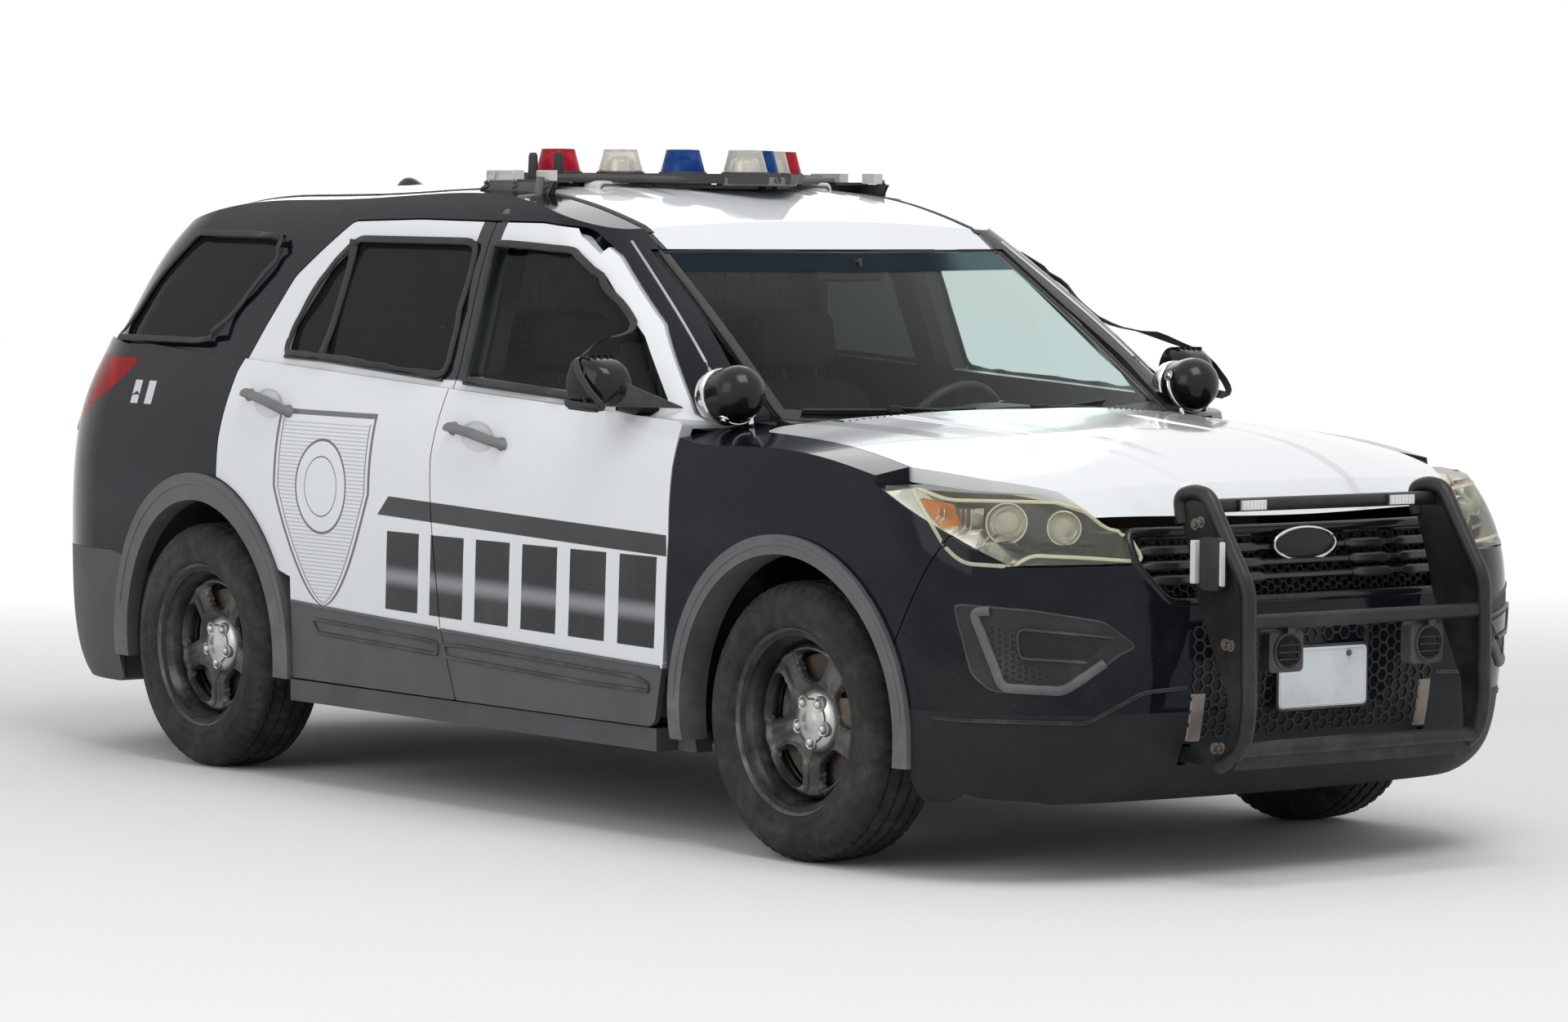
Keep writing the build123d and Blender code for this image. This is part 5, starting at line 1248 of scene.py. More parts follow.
# %% Head lamp bowls
def lamp_inner(mesh):
    lathe(mesh, [(0.006, -0.050), (0.022, -0.046), (0.038, -0.032), (0.047, -0.012), (0.050, 0.004),
        (0.053, 0.004), (0.053, -0.004), (0.041, -0.038), (0.020, -0.056), (0.006, -0.056)],
        row(655, -800, 902), (1, -0.5, 0), 40)
    lathe(mesh, [(0.006, -0.046), (0.020, -0.042), (0.034, -0.028), (0.041, -0.008), (0.043, 0.004),
        (0.046, 0.004), (0.046, -0.006), (0.036, -0.036), (0.018, -0.052), (0.006, -0.052)],
        row(745, -690, 892), (1, -0.35, 0), 40)
    for n in range(7):
        brick(mesh, row(515 + n * 12, -900 + n * 7, 880), row(519 + n * 12, -860 + n * 7, 935))


def lamp_balls(mesh):
    for at, axis, size in ((row(672, -808, 902), (1, -0.5, 0), 0.030),
        (row(760, -696, 892), (1, -0.35, 0), 0.026)):
        arc = [(size * math.sin(a), size * math.cos(a)) for a in (math.pi * n / 16 for n in range(17))]
        lathe(mesh, arc, at - Vector(axis).normalized() * 0.012, axis, 32)


def lamp_amber(mesh):
    slab(mesh, rounded([row(440, -905, 958), row(545, -885, 945), row(575, -885, 880), row(505, -912, 884)],
        0.012), (0, 0.012, 0))


def lamp_shelf(mesh):
    slab(mesh, [row(500, -900, 862), row(700, -800, 840), row(800, -640, 834), row(780, -620, 836),
        row(680, -770, 842), row(490, -870, 864)], (0, 0, 0.010))
    for n in range(5):
        brick(mesh, row(745 + n * 9, -716 + n * 19, 838), row(757 + n * 9, -706 + n * 19, 850))


both("lamp_bowls", lamp_inner, "lamp_silver")
both("lamp_balls", lamp_balls, "lens_clear")
both("lamp_amber", lamp_amber, "lens_amber")
both("lamp_shelf", lamp_shelf, "plastic_gloss")
LAMP_OUTLINE = [(1114, 594), (1160, 612), (1260, 614), (1358, 617), (1382, 655), (1402, 688), (1330, 683),
    (1262, 680), (1240, 694), (1180, 690), (1158, 672), (1136, 634)]
both("lamp_edge", sight_strip(LAMP_OUTLINE, 0.010, 0.002, nose, True, round_by=14), "lens_haze")
print("lamp bowls made")

# %% [markdown]
# The push bumper is bent tube welded round flat plates. Its two uprights hook over at the top, and two
# tubes, a square rail and a low strip join them. Lamps are bolted on: two thin bars on the top tube, two
# square housings behind the rail, one upright lamp at the near side. It takes the place of the plainer
# solid, inside the same outline.

# %% Push bumper
UPRIGHT_Y = 409
HOOK = [(880, 905), (868, 972), (918, 986), (972, 978), (1030, 888), (1076, 820), (1122, 752), (1128, 440),
    (1108, 352), (1022, 306)]
PLATE_EDGE = [(878, 915), (924, 786), (940, 717), (985, 621), (1052, 488), (1064, 371), (1004, 310)]


def upright(mesh):
    path = bend([row(x, -UPRIGHT_Y, z) for x, z in HOOK], 0.045, 6)
    tube(mesh, path, 0.0205, 14)
    skin = [row(x, -UPRIGHT_Y - 5, z) for x, z in HOOK[1:] + PLATE_EDGE[::-1]]
    bridge(mesh, [skin, [p + Vector((0, 0.010, 0)) for p in skin]])
    foot = [(800, 345), (1010, 345), (1020, 306), (800, 306)]
    slab(mesh, [row(x, -UPRIGHT_Y - 5, z) for x, z in foot], (0, 0.010, 0))


def push_bolts(mesh):
    for x, z in ((1046, 612), (1066, 610), (1012, 350), (1034, 352), (930, 905), (952, 912)):
        bolt(mesh, row(x, -UPRIGHT_Y - 5, z), (0, -1, 0), 0.0085)


both("push_upright", upright, "bumper_black", smooth=50)
both("push_bolts", push_bolts, "chrome_worn", smooth=20)
cross = bmesh.new()
tube(cross, [row(935, -UPRIGHT_Y, 950), row(935, UPRIGHT_Y, 950)], 0.0175, 16)
tube(cross, [row(1098, -UPRIGHT_Y, 352), row(1098, UPRIGHT_Y, 352)], 0.020, 16)
across = (0, 2 * UPRIGHT_Y / 1000, 0)
rail = [(1112, 652), (1122, 652), (1130, 660), (1130, 682), (1122, 690), (1112, 690)]
slab(cross, rounded([row(x, -UPRIGHT_Y, z) for x, z in rail], 0.003), across)
slab(cross, [row(x, -UPRIGHT_Y, z) for x, z in ((1076, 300), (1084, 300), (1084, 332), (1076, 332))], across)
push = piece("push_cross_bars", "vehicle", "bumper_black", cross, 50)
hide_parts("push_bumper")
housings = bmesh.new()
lenses = bmesh.new()
for y in (-262, 228):
    box = rounded([row(1068, y + 58 * a, 593 + 53 * b) for a, b in BOX], 0.016)
    bridge(housings, [box, [p + Vector((0.036, 0, 0)) for p in box],
        [row(1108, y, 593) + (p - row(1068, y, 593)) * 0.9 for p in box]])
    lathe(housings, [(0.040, 0.038), (0.043, 0.046), (0.047, 0.046), (0.048, 0.038)], row(1068, y, 593),
        (1, 0, 0), 40)
    lathe(lenses, [(0.0, 0.046), (0.020, 0.045), (0.036, 0.041), (0.040, 0.038)], row(1068, y, 593),
        (1, 0, 0), 40)
    for n in (-1, 0, 1):
        brick(housings, row(1108, y - 34, 590 + n * 18), row(1115, y + 34, 592 + n * 18))
    brick(housings, row(1040, y - 12, 640), row(1122, y + 12, 656))
LED_PLACES = (-245, 273)
for y in LED_PLACES:
    brick(housings, row(946, y - 46, 935), row(958, y + 46, 965))
side_box = rounded([row(950, -432, 752), row(1050, -432, 752), row(1050, -432, 872), row(950, -432, 872)],
    0.012)
slab(housings, side_box, (0, 0.020, 0))
slab(housings, rounded([row(985, -446, 746), row(1052, -446, 746), row(1052, -446, 878), row(985, -446, 878)],
    0.01), (0, 0.018, 0))
piece("push_lamp_housings", "vehicle", "plastic_black", housings, 40)
piece("push_lamp_lenses", "vehicle", "glass_dark", lenses, 50)
white = bmesh.new()
for y in LED_PLACES:
    brick(white, row(957, y - 42, 938), row(963, y + 42, 962))
    for n in range(7):
        brick(white, row(962, y - 40 + n * 12, 940), row(965, y - 32 + n * 12, 960))
slab(white, rounded([row(1048, -444, 758), row(1048, -430, 758), row(1048, -430, 868), row(1048, -444, 868)],
    0.004), (0.010, 0, 0))
slab(white, rounded([row(948, -447, 760), row(966, -447, 760), row(966, -447, 868), row(948, -447, 868)],
    0.004), (0, 0.016, 0))
piece("push_led_lenses", "vehicle", "lamp_white", white, 30)
print("push bumper dressed")

# %% [markdown]
# The front plate is blank: a thin pressed sheet with a rolled edge in a black frame, with its two screws.
# The lower opening behind it has its own honeycomb, between two upright braces.

# %% Front plate and lower opening
PLATE_SIZE = (0.305, 0.152)


def sheet_plate(name, body, at, forward):
    wide, tall = PLATE_SIZE
    forward = Vector(forward).normalized()
    level_y = Vector((0, 1, 0))
    rise = forward.cross(level_y).normalized()
    if rise.z < 0:
        rise = -rise
    at = Vector(at)

    def outline(share_y, share_z, out, radius):
        return rounded([at + level_y * (a * share_y * wide / 2) + rise * (b * share_z * tall / 2) + forward *
            out for a, b in BOX], radius)
    sheet = bmesh.new()
    ring = outline(1, 1, 0, 0.014)
    bridge(sheet, [ring, [p + forward * 0.0016 for p in ring]])
    tube(sheet, outline(0.96, 0.93, 0.0018, 0.012), 0.0016, 6, True)
    piece(name, body, "plate_blank", sheet, 40)
    screws = bmesh.new()
    for a in (-89, 89):
        bolt(screws, at + level_y * (a / 1000) + rise * 0.057 + forward * 0.0016, forward, 0.005)
    piece(name + "_screws", body, "chrome_worn", screws, 20)
    holder = bmesh.new()
    tube(holder, outline(1.02, 1.04, -0.001, 0.014), 0.004, 8, True)
    piece(name + "_frame", body, "plastic_black", holder)


sheet_plate("plate_front", "vehicle", row(961, 0, 507), (1, 0, 0))
# The lower honeycomb is black plastic made darker as painted shade, since it sits deep in the opening
low_comb = bmesh.new()
size = 0.019
for y, z in comb_places(size, 0.500, range(-15, 16), range(-6, 7)):
    if abs(y) < 0.165 and 0.42 < z < 0.60 or abs(y) > 0.42 or not 0.37 < z < 0.66:
        continue
    ring = [on_front(y + size * 0.95 * math.cos(t), z + size * 0.95 * math.sin(t)) for t in around(6)]
    ring = [(p, f if f.x > 0 else -f) for p, f in ring]
    strip(low_comb, ring, 0.0045, 0.004, closed=True, section=FLAT_WALL)
piece("lower_honeycomb", "vehicle", "plastic_black_painted_shade", low_comb, 20)
braces = bmesh.new()
for y in (-395, 395):
    hits = [on_front(y / 1000, z / 1000, 0.001) for z in range(360, 500, 20)]
    strip(braces, [(p, f if f.x > 0 else -f) for p, f in hits], 0.045, 0.006)
piece("lower_braces", "vehicle", "chrome_worn", braces)
print("front plate blank")

# %% [markdown]
# The windshield has a black printed border and a blue-black band along the top, and a bright trim line runs
# up each pillar. A mirror hangs behind the glass, and fine ribs cross the cowl. Two wipers park on the
# cowl: a bent arm, a pivot cap and a blade that follows the glass.

# %% Windshield border, wipers and pillar trim
grained("trim_silver", (0.42, 0.43, 0.44), (0.55, 0.55, 0.55), 0.24, 300, 0.00005, 0.8, 0.15)
grained("bracket_steel", (0.085, 0.085, 0.083), (0.13, 0.125, 0.12), 0.45, 260, 0.0002, 0.5, 0.35)
grained("lamp_case", (0.55, 0.54, 0.50), (0.66, 0.65, 0.60), 0.35, 300, 0.0002, dust=0.3)
grained("frit_black", (0.006, 0.006, 0.007), (0.012, 0.012, 0.013), 0.25, 500, 0.00003, dust=0.08)
band = Finish("band_blue", Transmission_Weight=0.75, IOR=1.05)
band.feed("Base Color", band.mix(band.noise(6, 3), (0.035, 0.055, 0.075), (0.05, 0.075, 0.095)))
glass_tree = tree_of(["windshield"])


def on_glass(across, along, lift=0.0):
    """across -1..1 over the glass, along 0 at the base and 1 at the top."""
    low = Vector((-0.250 - 0.170 * abs(across) ** 1.8, 0.690 * across, 1.110))
    high = Vector((-1.000 - 0.064 * abs(across) ** 1.8, 0.612 * across, 1.570))
    spot = low.lerp(high, along) + Vector((FRONT_AXLE, 0, 0))
    at, facing, _, _ = glass_tree.ray_cast(spot + Vector((0.5, 0, 0.6)), Vector((-0.64, 0, -0.768)), 2)
    if at is None:
        at, facing, _, _ = glass_tree.find_nearest(spot)
    if facing.z < 0:
        facing = -facing
    return at + facing * lift, facing


def border_sheet(name, finish, cells, lift):
    mesh = bmesh.new()
    for across, along in cells:
        rows = []
        for a in across:
            rows.append([mesh.verts.new(on_glass(a, b, lift)[0]) for b in along])
        for p, q in zip(rows, rows[1:]):
            for m in range(len(along) - 1):
                mesh.faces.new((p[m], q[m], q[m + 1], p[m + 1]))
    return piece(name, "vehicle", finish, mesh, 60)


fine = [(-1 + 2 * n / 40) * 0.985 for n in range(41)]
tall = [n / 24 for n in range(25)]
border_sheet("windshield_border", "frit_black", [(fine, [0.002, 0.03, 0.055]), (fine, [0.972, 0.985, 0.998]),
    ([-0.99, -0.975, -0.955], tall), ([0.955, 0.975, 0.99], tall)], 0.0012)
border_sheet("windshield_band", "band_blue", [(fine, [0.86, 0.90, 0.94, 0.972])], 0.0008)
seal = bmesh.new()
loop = [on_glass(a, 0.0) for a in fine] + [on_glass(0.99, t) for t in tall[1:-1]]
loop += [on_glass(a, 1.0) for a in fine[::-1]] + [on_glass(-0.99, t) for t in tall[-2:0:-1]]
strip(seal, loop, 0.014, 0.004, closed=True)
piece("windshield_seal", "vehicle", "rubber_seal", seal)
for side, word in SIDES:
    trim = bmesh.new()
    line = []
    start, high = Vector((-0.462, side * 0.800, 1.128)), Vector((-1.100, side * 0.668, 1.590))
    for n in range(31):
        t = n / 30
        spot = start.lerp(high, t) + Vector((FRONT_AXLE, 0, 0))
        spot.z += 0.020 * math.sin(math.pi * t)
        at, facing, _, _ = whole.find_nearest(spot)
        if facing.dot(spot - at) < 0:
            facing = -facing
        line.append((at, facing))
    strip(trim, line, 0.009, 0.005)
    piece(f"pillar_trim.{word}", "vehicle", "trim_silver", trim)


def wiper(name, pivot, tip_across, tip_along, blade_half):
    base, facing = on_glass(pivot, -0.02, 0.018)
    base = base + Vector((0.030, 0, -0.004))
    middle, facing = on_glass(tip_across, tip_along, 0.016)
    arm = bmesh.new()
    lathe(arm, [(0, 0.016), (0.010, 0.015), (0.013, 0.008), (0.014, -0.012)], base, facing, 20)
    path = bend([base + facing * 0.004, base.lerp(middle, 0.12) + facing * 0.012,
        base.lerp(middle, 0.6) + facing * 0.014, middle + facing * 0.004], 0.03)
    tube(arm, path, 0.0055, 8, flat=0.6)
    piece(name + "_arm", "vehicle", "plastic_black", arm)
    blade = bmesh.new()
    path, edge = [], []
    for n in range(21):
        t = -1 + 2 * n / 20
        at, facing = on_glass(tip_across + t * blade_half, tip_along + 0.018 * t, 0)
        path.append(at + facing * 0.013)
        edge.append(at + facing * 0.004)
    tube(blade, path, 0.0058, 8, flat=0.8)
    tube(blade, edge, 0.0028, 6)
    brick(blade, middle - Vector((0.012, 0.022, 0.006)), middle + Vector((0.012, 0.022, 0.010)))
    piece(name + "_blade", "vehicle", "rubber_seal", blade)


wiper("wiper_left", 0.62, 0.18, 0.055, 0.43)
wiper("wiper_right", -0.12, -0.52, 0.050, 0.38)
rear_mirror = bmesh.new()
hang = row(-985, 0, 1500)
outline = rounded([hang + Vector((0, -0.120, -0.026)), hang + Vector((0, 0.120, -0.026)),
    hang + Vector((0, 0.125, 0.030)), hang + Vector((0, -0.125, 0.030))], 0.02)
bridge(rear_mirror, [outline, [p + Vector((0.016, 0, 0.002)) for p in outline],
    [hang + Vector((0.026, 0, 0.004)) + (p - hang) * 0.8 for p in outline]])
tube(rear_mirror, [hang + Vector((0.018, 0, 0.02)), hang + Vector((0.060, 0, 0.035)),
    on_glass(0, 0.90, -0.004)[0]], 0.008, 10)
brick(rear_mirror, on_glass(0, 0.90)[0] - Vector((0.028, 0.030, 0.020)),
    on_glass(0, 0.90)[0] - Vector((0.006, -0.030, 0.0)))
piece("rear_view_mirror", "vehicle", "plastic_black", rear_mirror)
cowl_slots = bmesh.new()
for n in range(56):
    y = -0.60 + 1.20 * n / 55
    a, _ = on_top(-0.262 - 0.09 * abs(y) ** 1.8, y, 0.0015)
    b, _ = on_top(-0.212 - 0.09 * abs(y) ** 1.8, y, 0.0015)
    if (a - b).length < 0.12:
        tube(cowl_slots, [a, b], 0.0035, 6)
piece("cowl_ribs", "vehicle", "plastic_black", cowl_slots)
print("windshield dressed")

# %% [markdown]
# The roof carries a black strip over each panel joint, a fin, two stub aerials and the strap that holds the
# light bar's bracket to the drip rail. The fin is lofted from half rings that rise and fall along it.

# %% Roof
ROOF_FRONT, ROOF_END = -1.120, -3.300
for side, word in SIDES:
    joint = bmesh.new()
    line = []
    for n in range(61):
        line.append(on_top(ROOF_FRONT + (ROOF_END - ROOF_FRONT) * n / 60, side * 0.588))
    line = [(p, f if f.z > 0 else -f) for p, f in line]
    strip(joint, line, 0.024, 0.0035)
    piece(f"roof_joint.{word}", "vehicle", "rubber_seal", joint)
fin = bmesh.new()
fin_rows = []
for n in range(15):
    t = n / 14
    px = -3.262 + 0.194 * (1 - t)
    deck = on_top(px, 0)[0]
    tall = 0.002 + 0.050 * math.sin(math.pi * min(1, t * 1.05) ** 1.6) ** 0.8
    wide = 0.002 + 0.026 * math.sin(math.pi * (0.08 + 0.88 * t)) ** 0.6
    fin_rows.append([deck + Vector((0, wide * math.cos(a), tall * max(0.0, math.sin(a)) ** 0.7 - 0.003))
        for a in (math.pi * k / 12 for k in range(13))])
bridge(fin, fin_rows)
piece("roof_fin", "vehicle", "plastic_gloss", fin, 60)
aerials = bmesh.new()
for px, py in ((-1800, -505), (-1745, -455)):
    deck = on_top(px / 1000, py / 1000)[0]
    lathe(aerials, [(0, 0.098), (0.010, 0.096), (0.013, 0.088), (0.0145, 0.040), (0.017, 0.012),
        (0.024, 0.006), (0.026, -0.003)], deck, (0, 0, 1), 24)
piece("roof_aerials", "vehicle", "rubber_seal", aerials)
strap = bmesh.new()
for side in (-1, 1):
    line = []
    for py, px in ((0.590, -1.604), (0.640, -1.606), (0.690, -1.607), (0.720, -1.608), (0.745, -1.609)):
        at, facing, _, _ = whole.ray_cast(Vector((px + FRONT_AXLE, side * py * 1.25, 2.1)),
            Vector((0, -side * 0.28, -0.96)), 1.5)
        if at is not None:
            line.append((at, facing if facing.z > 0 else -facing))
    strip(strap, line, 0.034, 0.003)
    top = line[0][0]
    tube(strap, [top + Vector((0, 0, 0.002)), top + Vector((0, -side * 0.006, 0.05))], 0.012, 8, flat=0.25)
piece("light_bar_straps", "vehicle", "bracket_steel", strap)
print("roof dressed")

# %% [markdown]
# The light bar gets what makes it one: brackets with slots and nuts, clear domes over bright drums, end
# lamps, a work lamp and wires. From the middle out the domes are clear, blue, clear and red, and since one
# solid holds all seven, the colours come from bands of y in one finish.

# %% Light bar
dome_paint = Finish("dome_bands", Transmission_Weight=0.5, IOR=1.15, Specular_IOR_Level=0.7)
away = dome_paint.axis("Y").size()
haze = dome_paint.noise(18, 4, 0.6).fade(0.4, 0.75) * 0.5 + (dome_paint.axis("Z").fade(1.83, 1.845)) * 0.3
clear_tone = dome_paint.mix(haze, (0.80, 0.77, 0.70), (0.60, 0.57, 0.50))
red_tone = dome_paint.mix(haze * 0.5, (0.50, 0.010, 0.030), (0.55, 0.16, 0.16))
blue_tone = dome_paint.mix(haze * 0.5, (0.006, 0.060, 0.290), (0.16, 0.27, 0.45))
tone = dome_paint.mix(away > 0.3375, clear_tone, red_tone)
tone = dome_paint.mix((away > 0.0675) * (away < 0.2025), tone, blue_tone)
dome_paint.feed("Base Color", tone)
dome_paint.feed("Roughness", 0.08 + haze * 0.35)
flutes = ((dome_paint.axis("X") * 150) % 1) * 0.5 + ((dome_paint.axis("Y") * 150) % 1) * 0.5
dome_paint.bump(flutes + dome_paint.noise(45, 2) * 0.2, 0.0008, 0.4)
wear("light_domes", "dome_bands")
DOME_ACROSS, DOME_BACK = 135, 119
BAR_BACK = 3.4 * DOME_BACK
BAR_HALF = 519
skirts = bmesh.new()
drums = bmesh.new()
lids = bmesh.new()
for k in range(-3, 4):
    at = row(-1459 - DOME_BACK * abs(k), DOME_ACROSS * k, 1776)
    lathe(skirts, [(0.0645, 0.006), (0.0685, 0.005), (0.0700, 0.001), (0.0700, -0.003), (0.060, -0.003)], at,
        (0, 0, 1), 48)
    lathe(lids, [(0, 0.0705), (0.030, 0.0700), (0.044, 0.0692), (0.0485, 0.0670), (0.0495, 0.062),
        (0.0490, 0.060)], at, (0, 0, 1), 48)
    lathe(drums, [(0.0, 0.048), (0.018, 0.047), (0.034, 0.038), (0.040, 0.020), (0.041, 0.004), (0.0, 0.004)],
        at, (0, 0, 1), 24)
piece("dome_skirts", "vehicle", "plastic_black", skirts)
piece("dome_lids", "vehicle", "dome_bands", lids, 50)
piece("dome_drums", "vehicle", "lamp_silver", drums)
bar = bmesh.new()
nose_grey = bmesh.new()
for side in (-1, 1):
    front_edge, back_edge = [], []
    for n in range(13):
        t = n / 12
        front_edge.append(row(-1309 - t * BAR_BACK, side * t * BAR_HALF, 1761))
        back_edge.append(row(-1559 - t * BAR_BACK, side * t * BAR_HALF, 1761))
    tube(bar, front_edge, 0.010, 10, flat=1.3)
    tube(bar, back_edge, 0.010, 10, flat=1.3)
    slab(bar, [row(-1360, side * 40, 1746), row(-1740, side * 470, 1746), row(-1790, side * 470, 1746),
        row(-1500, side * 40, 1746)], (0, 0, -0.012))
    for n in range(9):
        t = (n + 0.6) / 9.5
        at = row(-1372 - t * BAR_BACK, side * t * 500, 1734)
        slab(bar, [at + Vector((a * 0.020, b * 0.018, 0)) for a, b in BOX], (0, 0, 0.014))
nose_rows = []
for y in (-130, -105, -60, -25, 0, 25, 60, 105, 130):
    px = -1296 - abs(y) * 0.72 if abs(y) > 25 else -1312
    nose_rows.append([row(px - 8, y, 1742), row(px + 6, y, 1744), row(px + 6, y, 1764), row(px - 2, y, 1773),
        row(px - 12, y, 1773)])
bridge(nose_grey, nose_rows)
piece("light_bar_nose", "vehicle", "handle_grey", nose_grey, 30)
piece("light_bar_rails", "vehicle", "plastic_black", bar)
brackets = bmesh.new()
lights = bmesh.new()
wires = bmesh.new()
for side in (-1, 1):
    face = [(-1552, 1748), (-1588, 1700), (-1640, 1700), (-1660, 1716), (-1800, 1724), (-1845, 1712),
        (-1880, 1690), (-1946, 1692), (-1952, 1704), (-1880, 1750)]
    ring = [row(px, side * 606, pz) for px, pz in face]
    if side > 0:
        ring = ring[::-1]
    slab(brackets, ring, (0, side * 0.004, 0))
    for px, pz in ((-1578, 1736), (-1600, 1716), (-1620, 1712), (-1880, 1734), (-1900, 1716), (-1922, 1702),
        (-1740, 1736)):
        at = row(px, side * 610, pz)
        tube(brackets, [at + Vector((-0.010, 0, -0.003)), at + Vector((0.010, 0, 0.003))], 0.0042, 8)
        bolt(brackets, at + Vector((0, 0, 0.012)), (0, side, 0), 0.004)
    for px, size in ((-1610, 0.028), (-1790, 0.046), (-1862, 0.022)):
        low = row(px, side * 592, 1752)
        brick(lights, low + Vector((-size, -0.016, 0)), low + Vector((size, 0.016, 0.030)))
        ring = rounded([low + Vector((a * size * 0.86, side * 0.017, 0.015 + b * 0.011)) for a, b in BOX],
            0.006)
        tube(lights, ring, 0.0022, 6, True)
    wire = [row(-1700, side * 585, 1722), row(-1720, side * 560, 1700), row(-1760, side * 520, 1712),
        row(-1800, side * 500, 1735)]
    tube(wires, bend(wire, 0.04), 0.0035, 8)
    lamp_at = row(-1605, side * 330, 1722)
    body = rounded([lamp_at + Vector(p) for p in ((0, -0.100, -0.036), (0, 0.100, -0.036), (0, 0.100, 0.032),
        (0, -0.100, 0.032))], 0.022)
    bridge(lights, [[p + Vector((-0.050, 0, 0)) for p in body], [p + Vector((0.004, 0, 0)) for p in body],
        [lamp_at + Vector((0.012, 0, 0)) + (p - lamp_at) * 0.94 for p in body]])
    ring = rounded([lamp_at + Vector(p) for p in ((0.012, -0.084, -0.022), (0.012, 0.084, -0.022),
        (0.012, 0.084, 0.020), (0.012, -0.084, 0.020))], 0.014)
    tube(brackets, ring, 0.004, 8, True)
piece("light_bar_brackets", "vehicle", "bracket_steel", brackets, 30)
piece("light_bar_lamps", "vehicle", "lamp_case", lights, 40)
piece("light_bar_wires", "vehicle", "rubber_seal", wires)
print("light bar dressed")

# %% [markdown]
# The hood has two soft ridges that run from the windshield corners to the grille, and a crease beyond each.
# They are pressed into the sheet, so they come from the finish: a height that rises and falls with y. The
# ribs of the roof are made the same way.

# %% Hood and roof pressings
hood_paint = Finish("hood_pressed", Coat_Roughness=0.03, Specular_IOR_Level=0.3, Coat_Weight=0.35)
run_x = hood_paint.axis("X")
across = hood_paint.axis("Y").size()
ridge = 0.475 - (run_x - 1.10) * 0.155
inner_ridge = 0.255 - (run_x - 1.25) * 0.06
press = (across - ridge).fade(-0.045, 0.012) * 0.9 - (across - (ridge + 0.16)).fade(-0.03, 0.05) * 0.55
press = press - (across - inner_ridge).fade(-0.02, 0.05) * 0.5 * run_x.fade(1.3, 1.5)
wave = hood_paint.noise(7, 2) * 0.015
hood_tone = weather(hood_paint, WHITE, 0.22)
hood_paint.feed("Base Color", hood_tone)
hood_paint.bump(1 - press + wave, 0.016, 1.0)
roof_paint = Finish("roof_pressed", Coat_Roughness=0.03, Specular_IOR_Level=0.3, Coat_Weight=0.35)
roof_across = roof_paint.axis("Y").size()
behind = roof_paint.axis("X")
rail = 1 - (behind - (-1.62)).fade(0.0, 0.02)
ribs = ((roof_paint.axis("Y") * 6.2 + 0.5) % 1).between(0.30, 0.70, 0.12) * (1 - roof_across.fade(0.42, 0.46))
roof_tone = roof_paint.mix(rail.top(roof_across.fade(0.583, 0.5845)), WHITE, BLACK)
roof_paint.feed("Base Color", weather(roof_paint, roof_tone, 0.22))
roof_paint.bump(ribs * behind.fade(-1.5, -1.4) * (1 - behind.fade(0.0, 0.1)) + roof_paint.noise(7, 2) * 0.02,
    0.006, 0.8)
wear("hood", "hood_pressed")
wear("roof_panel", "roof_pressed")
nozzles = bmesh.new()
for y in (-330, 330):
    at, facing = on_top(-0.300, y / 1000)
    lathe(nozzles, [(0, 0.009), (0.008, 0.008), (0.012, 0.004), (0.013, -0.002)], at, facing, 16)
piece("hood_nozzles", "hood", "plastic_black", nozzles)
print("hood pressed")

# %% [markdown]
# The rear has a blank plate on a panel with two small lamps above it, a bar handle, reflectors and a step
# pad on the bumper, and a lip at the top edge of the gate with a long red lamp. Rays shot forward find the
# skin here.

# %% Rear of the vehicle
rear_tree = tree_of(["liftgate", "glass_liftgate", "rear_bumper", "tail_lamps", "body_sides", "roof_panel"])


def on_back(y, z, lift=0.0):
    at, facing, _, _ = rear_tree.ray_cast(Vector((-3.4, y, z)), Vector((1, 0, 0)), 2.5)
    if at is None:
        at, facing, _, _ = rear_tree.find_nearest(Vector((-2.5, y, z)))
    if facing.x > 0:
        facing = -facing
    return at + facing * lift, facing


def gate_top(y):
    """How far back the lip of the gate reaches at y, and how high the roof skin is there."""
    at, _, _, _ = rear_tree.ray_cast(Vector((-2.10, y, 2.1)), Vector((0, 0, -1)), 1.5)
    return -2.235 + 0.10 * (abs(y) / 0.56) ** 2.5, at.z


def back_strip(name, body, finish, points, width, height, closed=False, round_by=0.03, **more):
    flat = [(y / 1000, z / 1000, 0) for y, z in points]
    flat = rounded(flat, round_by) if closed else bend(flat, round_by)
    mesh = bmesh.new()
    strip(mesh, [on_back(p[0], p[1]) for p in split(flat, 0.03, closed)], width, height, closed=closed,
        **more)
    return piece(name, body, finish, mesh)


def back_sheet(name, body, finish, low, high, lift):
    mesh = bmesh.new()
    rows = []
    for i in range(17):
        y = low[0] + (high[0] - low[0]) * i / 16
        rows.append([mesh.verts.new(on_back(y / 1000, (low[1] + (high[1] - low[1]) * k / 8) / 1000, lift)[0])
            for k in range(9)])
    for a, b in zip(rows, rows[1:]):
        for k in range(8):
            mesh.faces.new((a[k], b[k], b[k + 1], a[k + 1]))
    return piece(name, body, finish, mesh, 60)


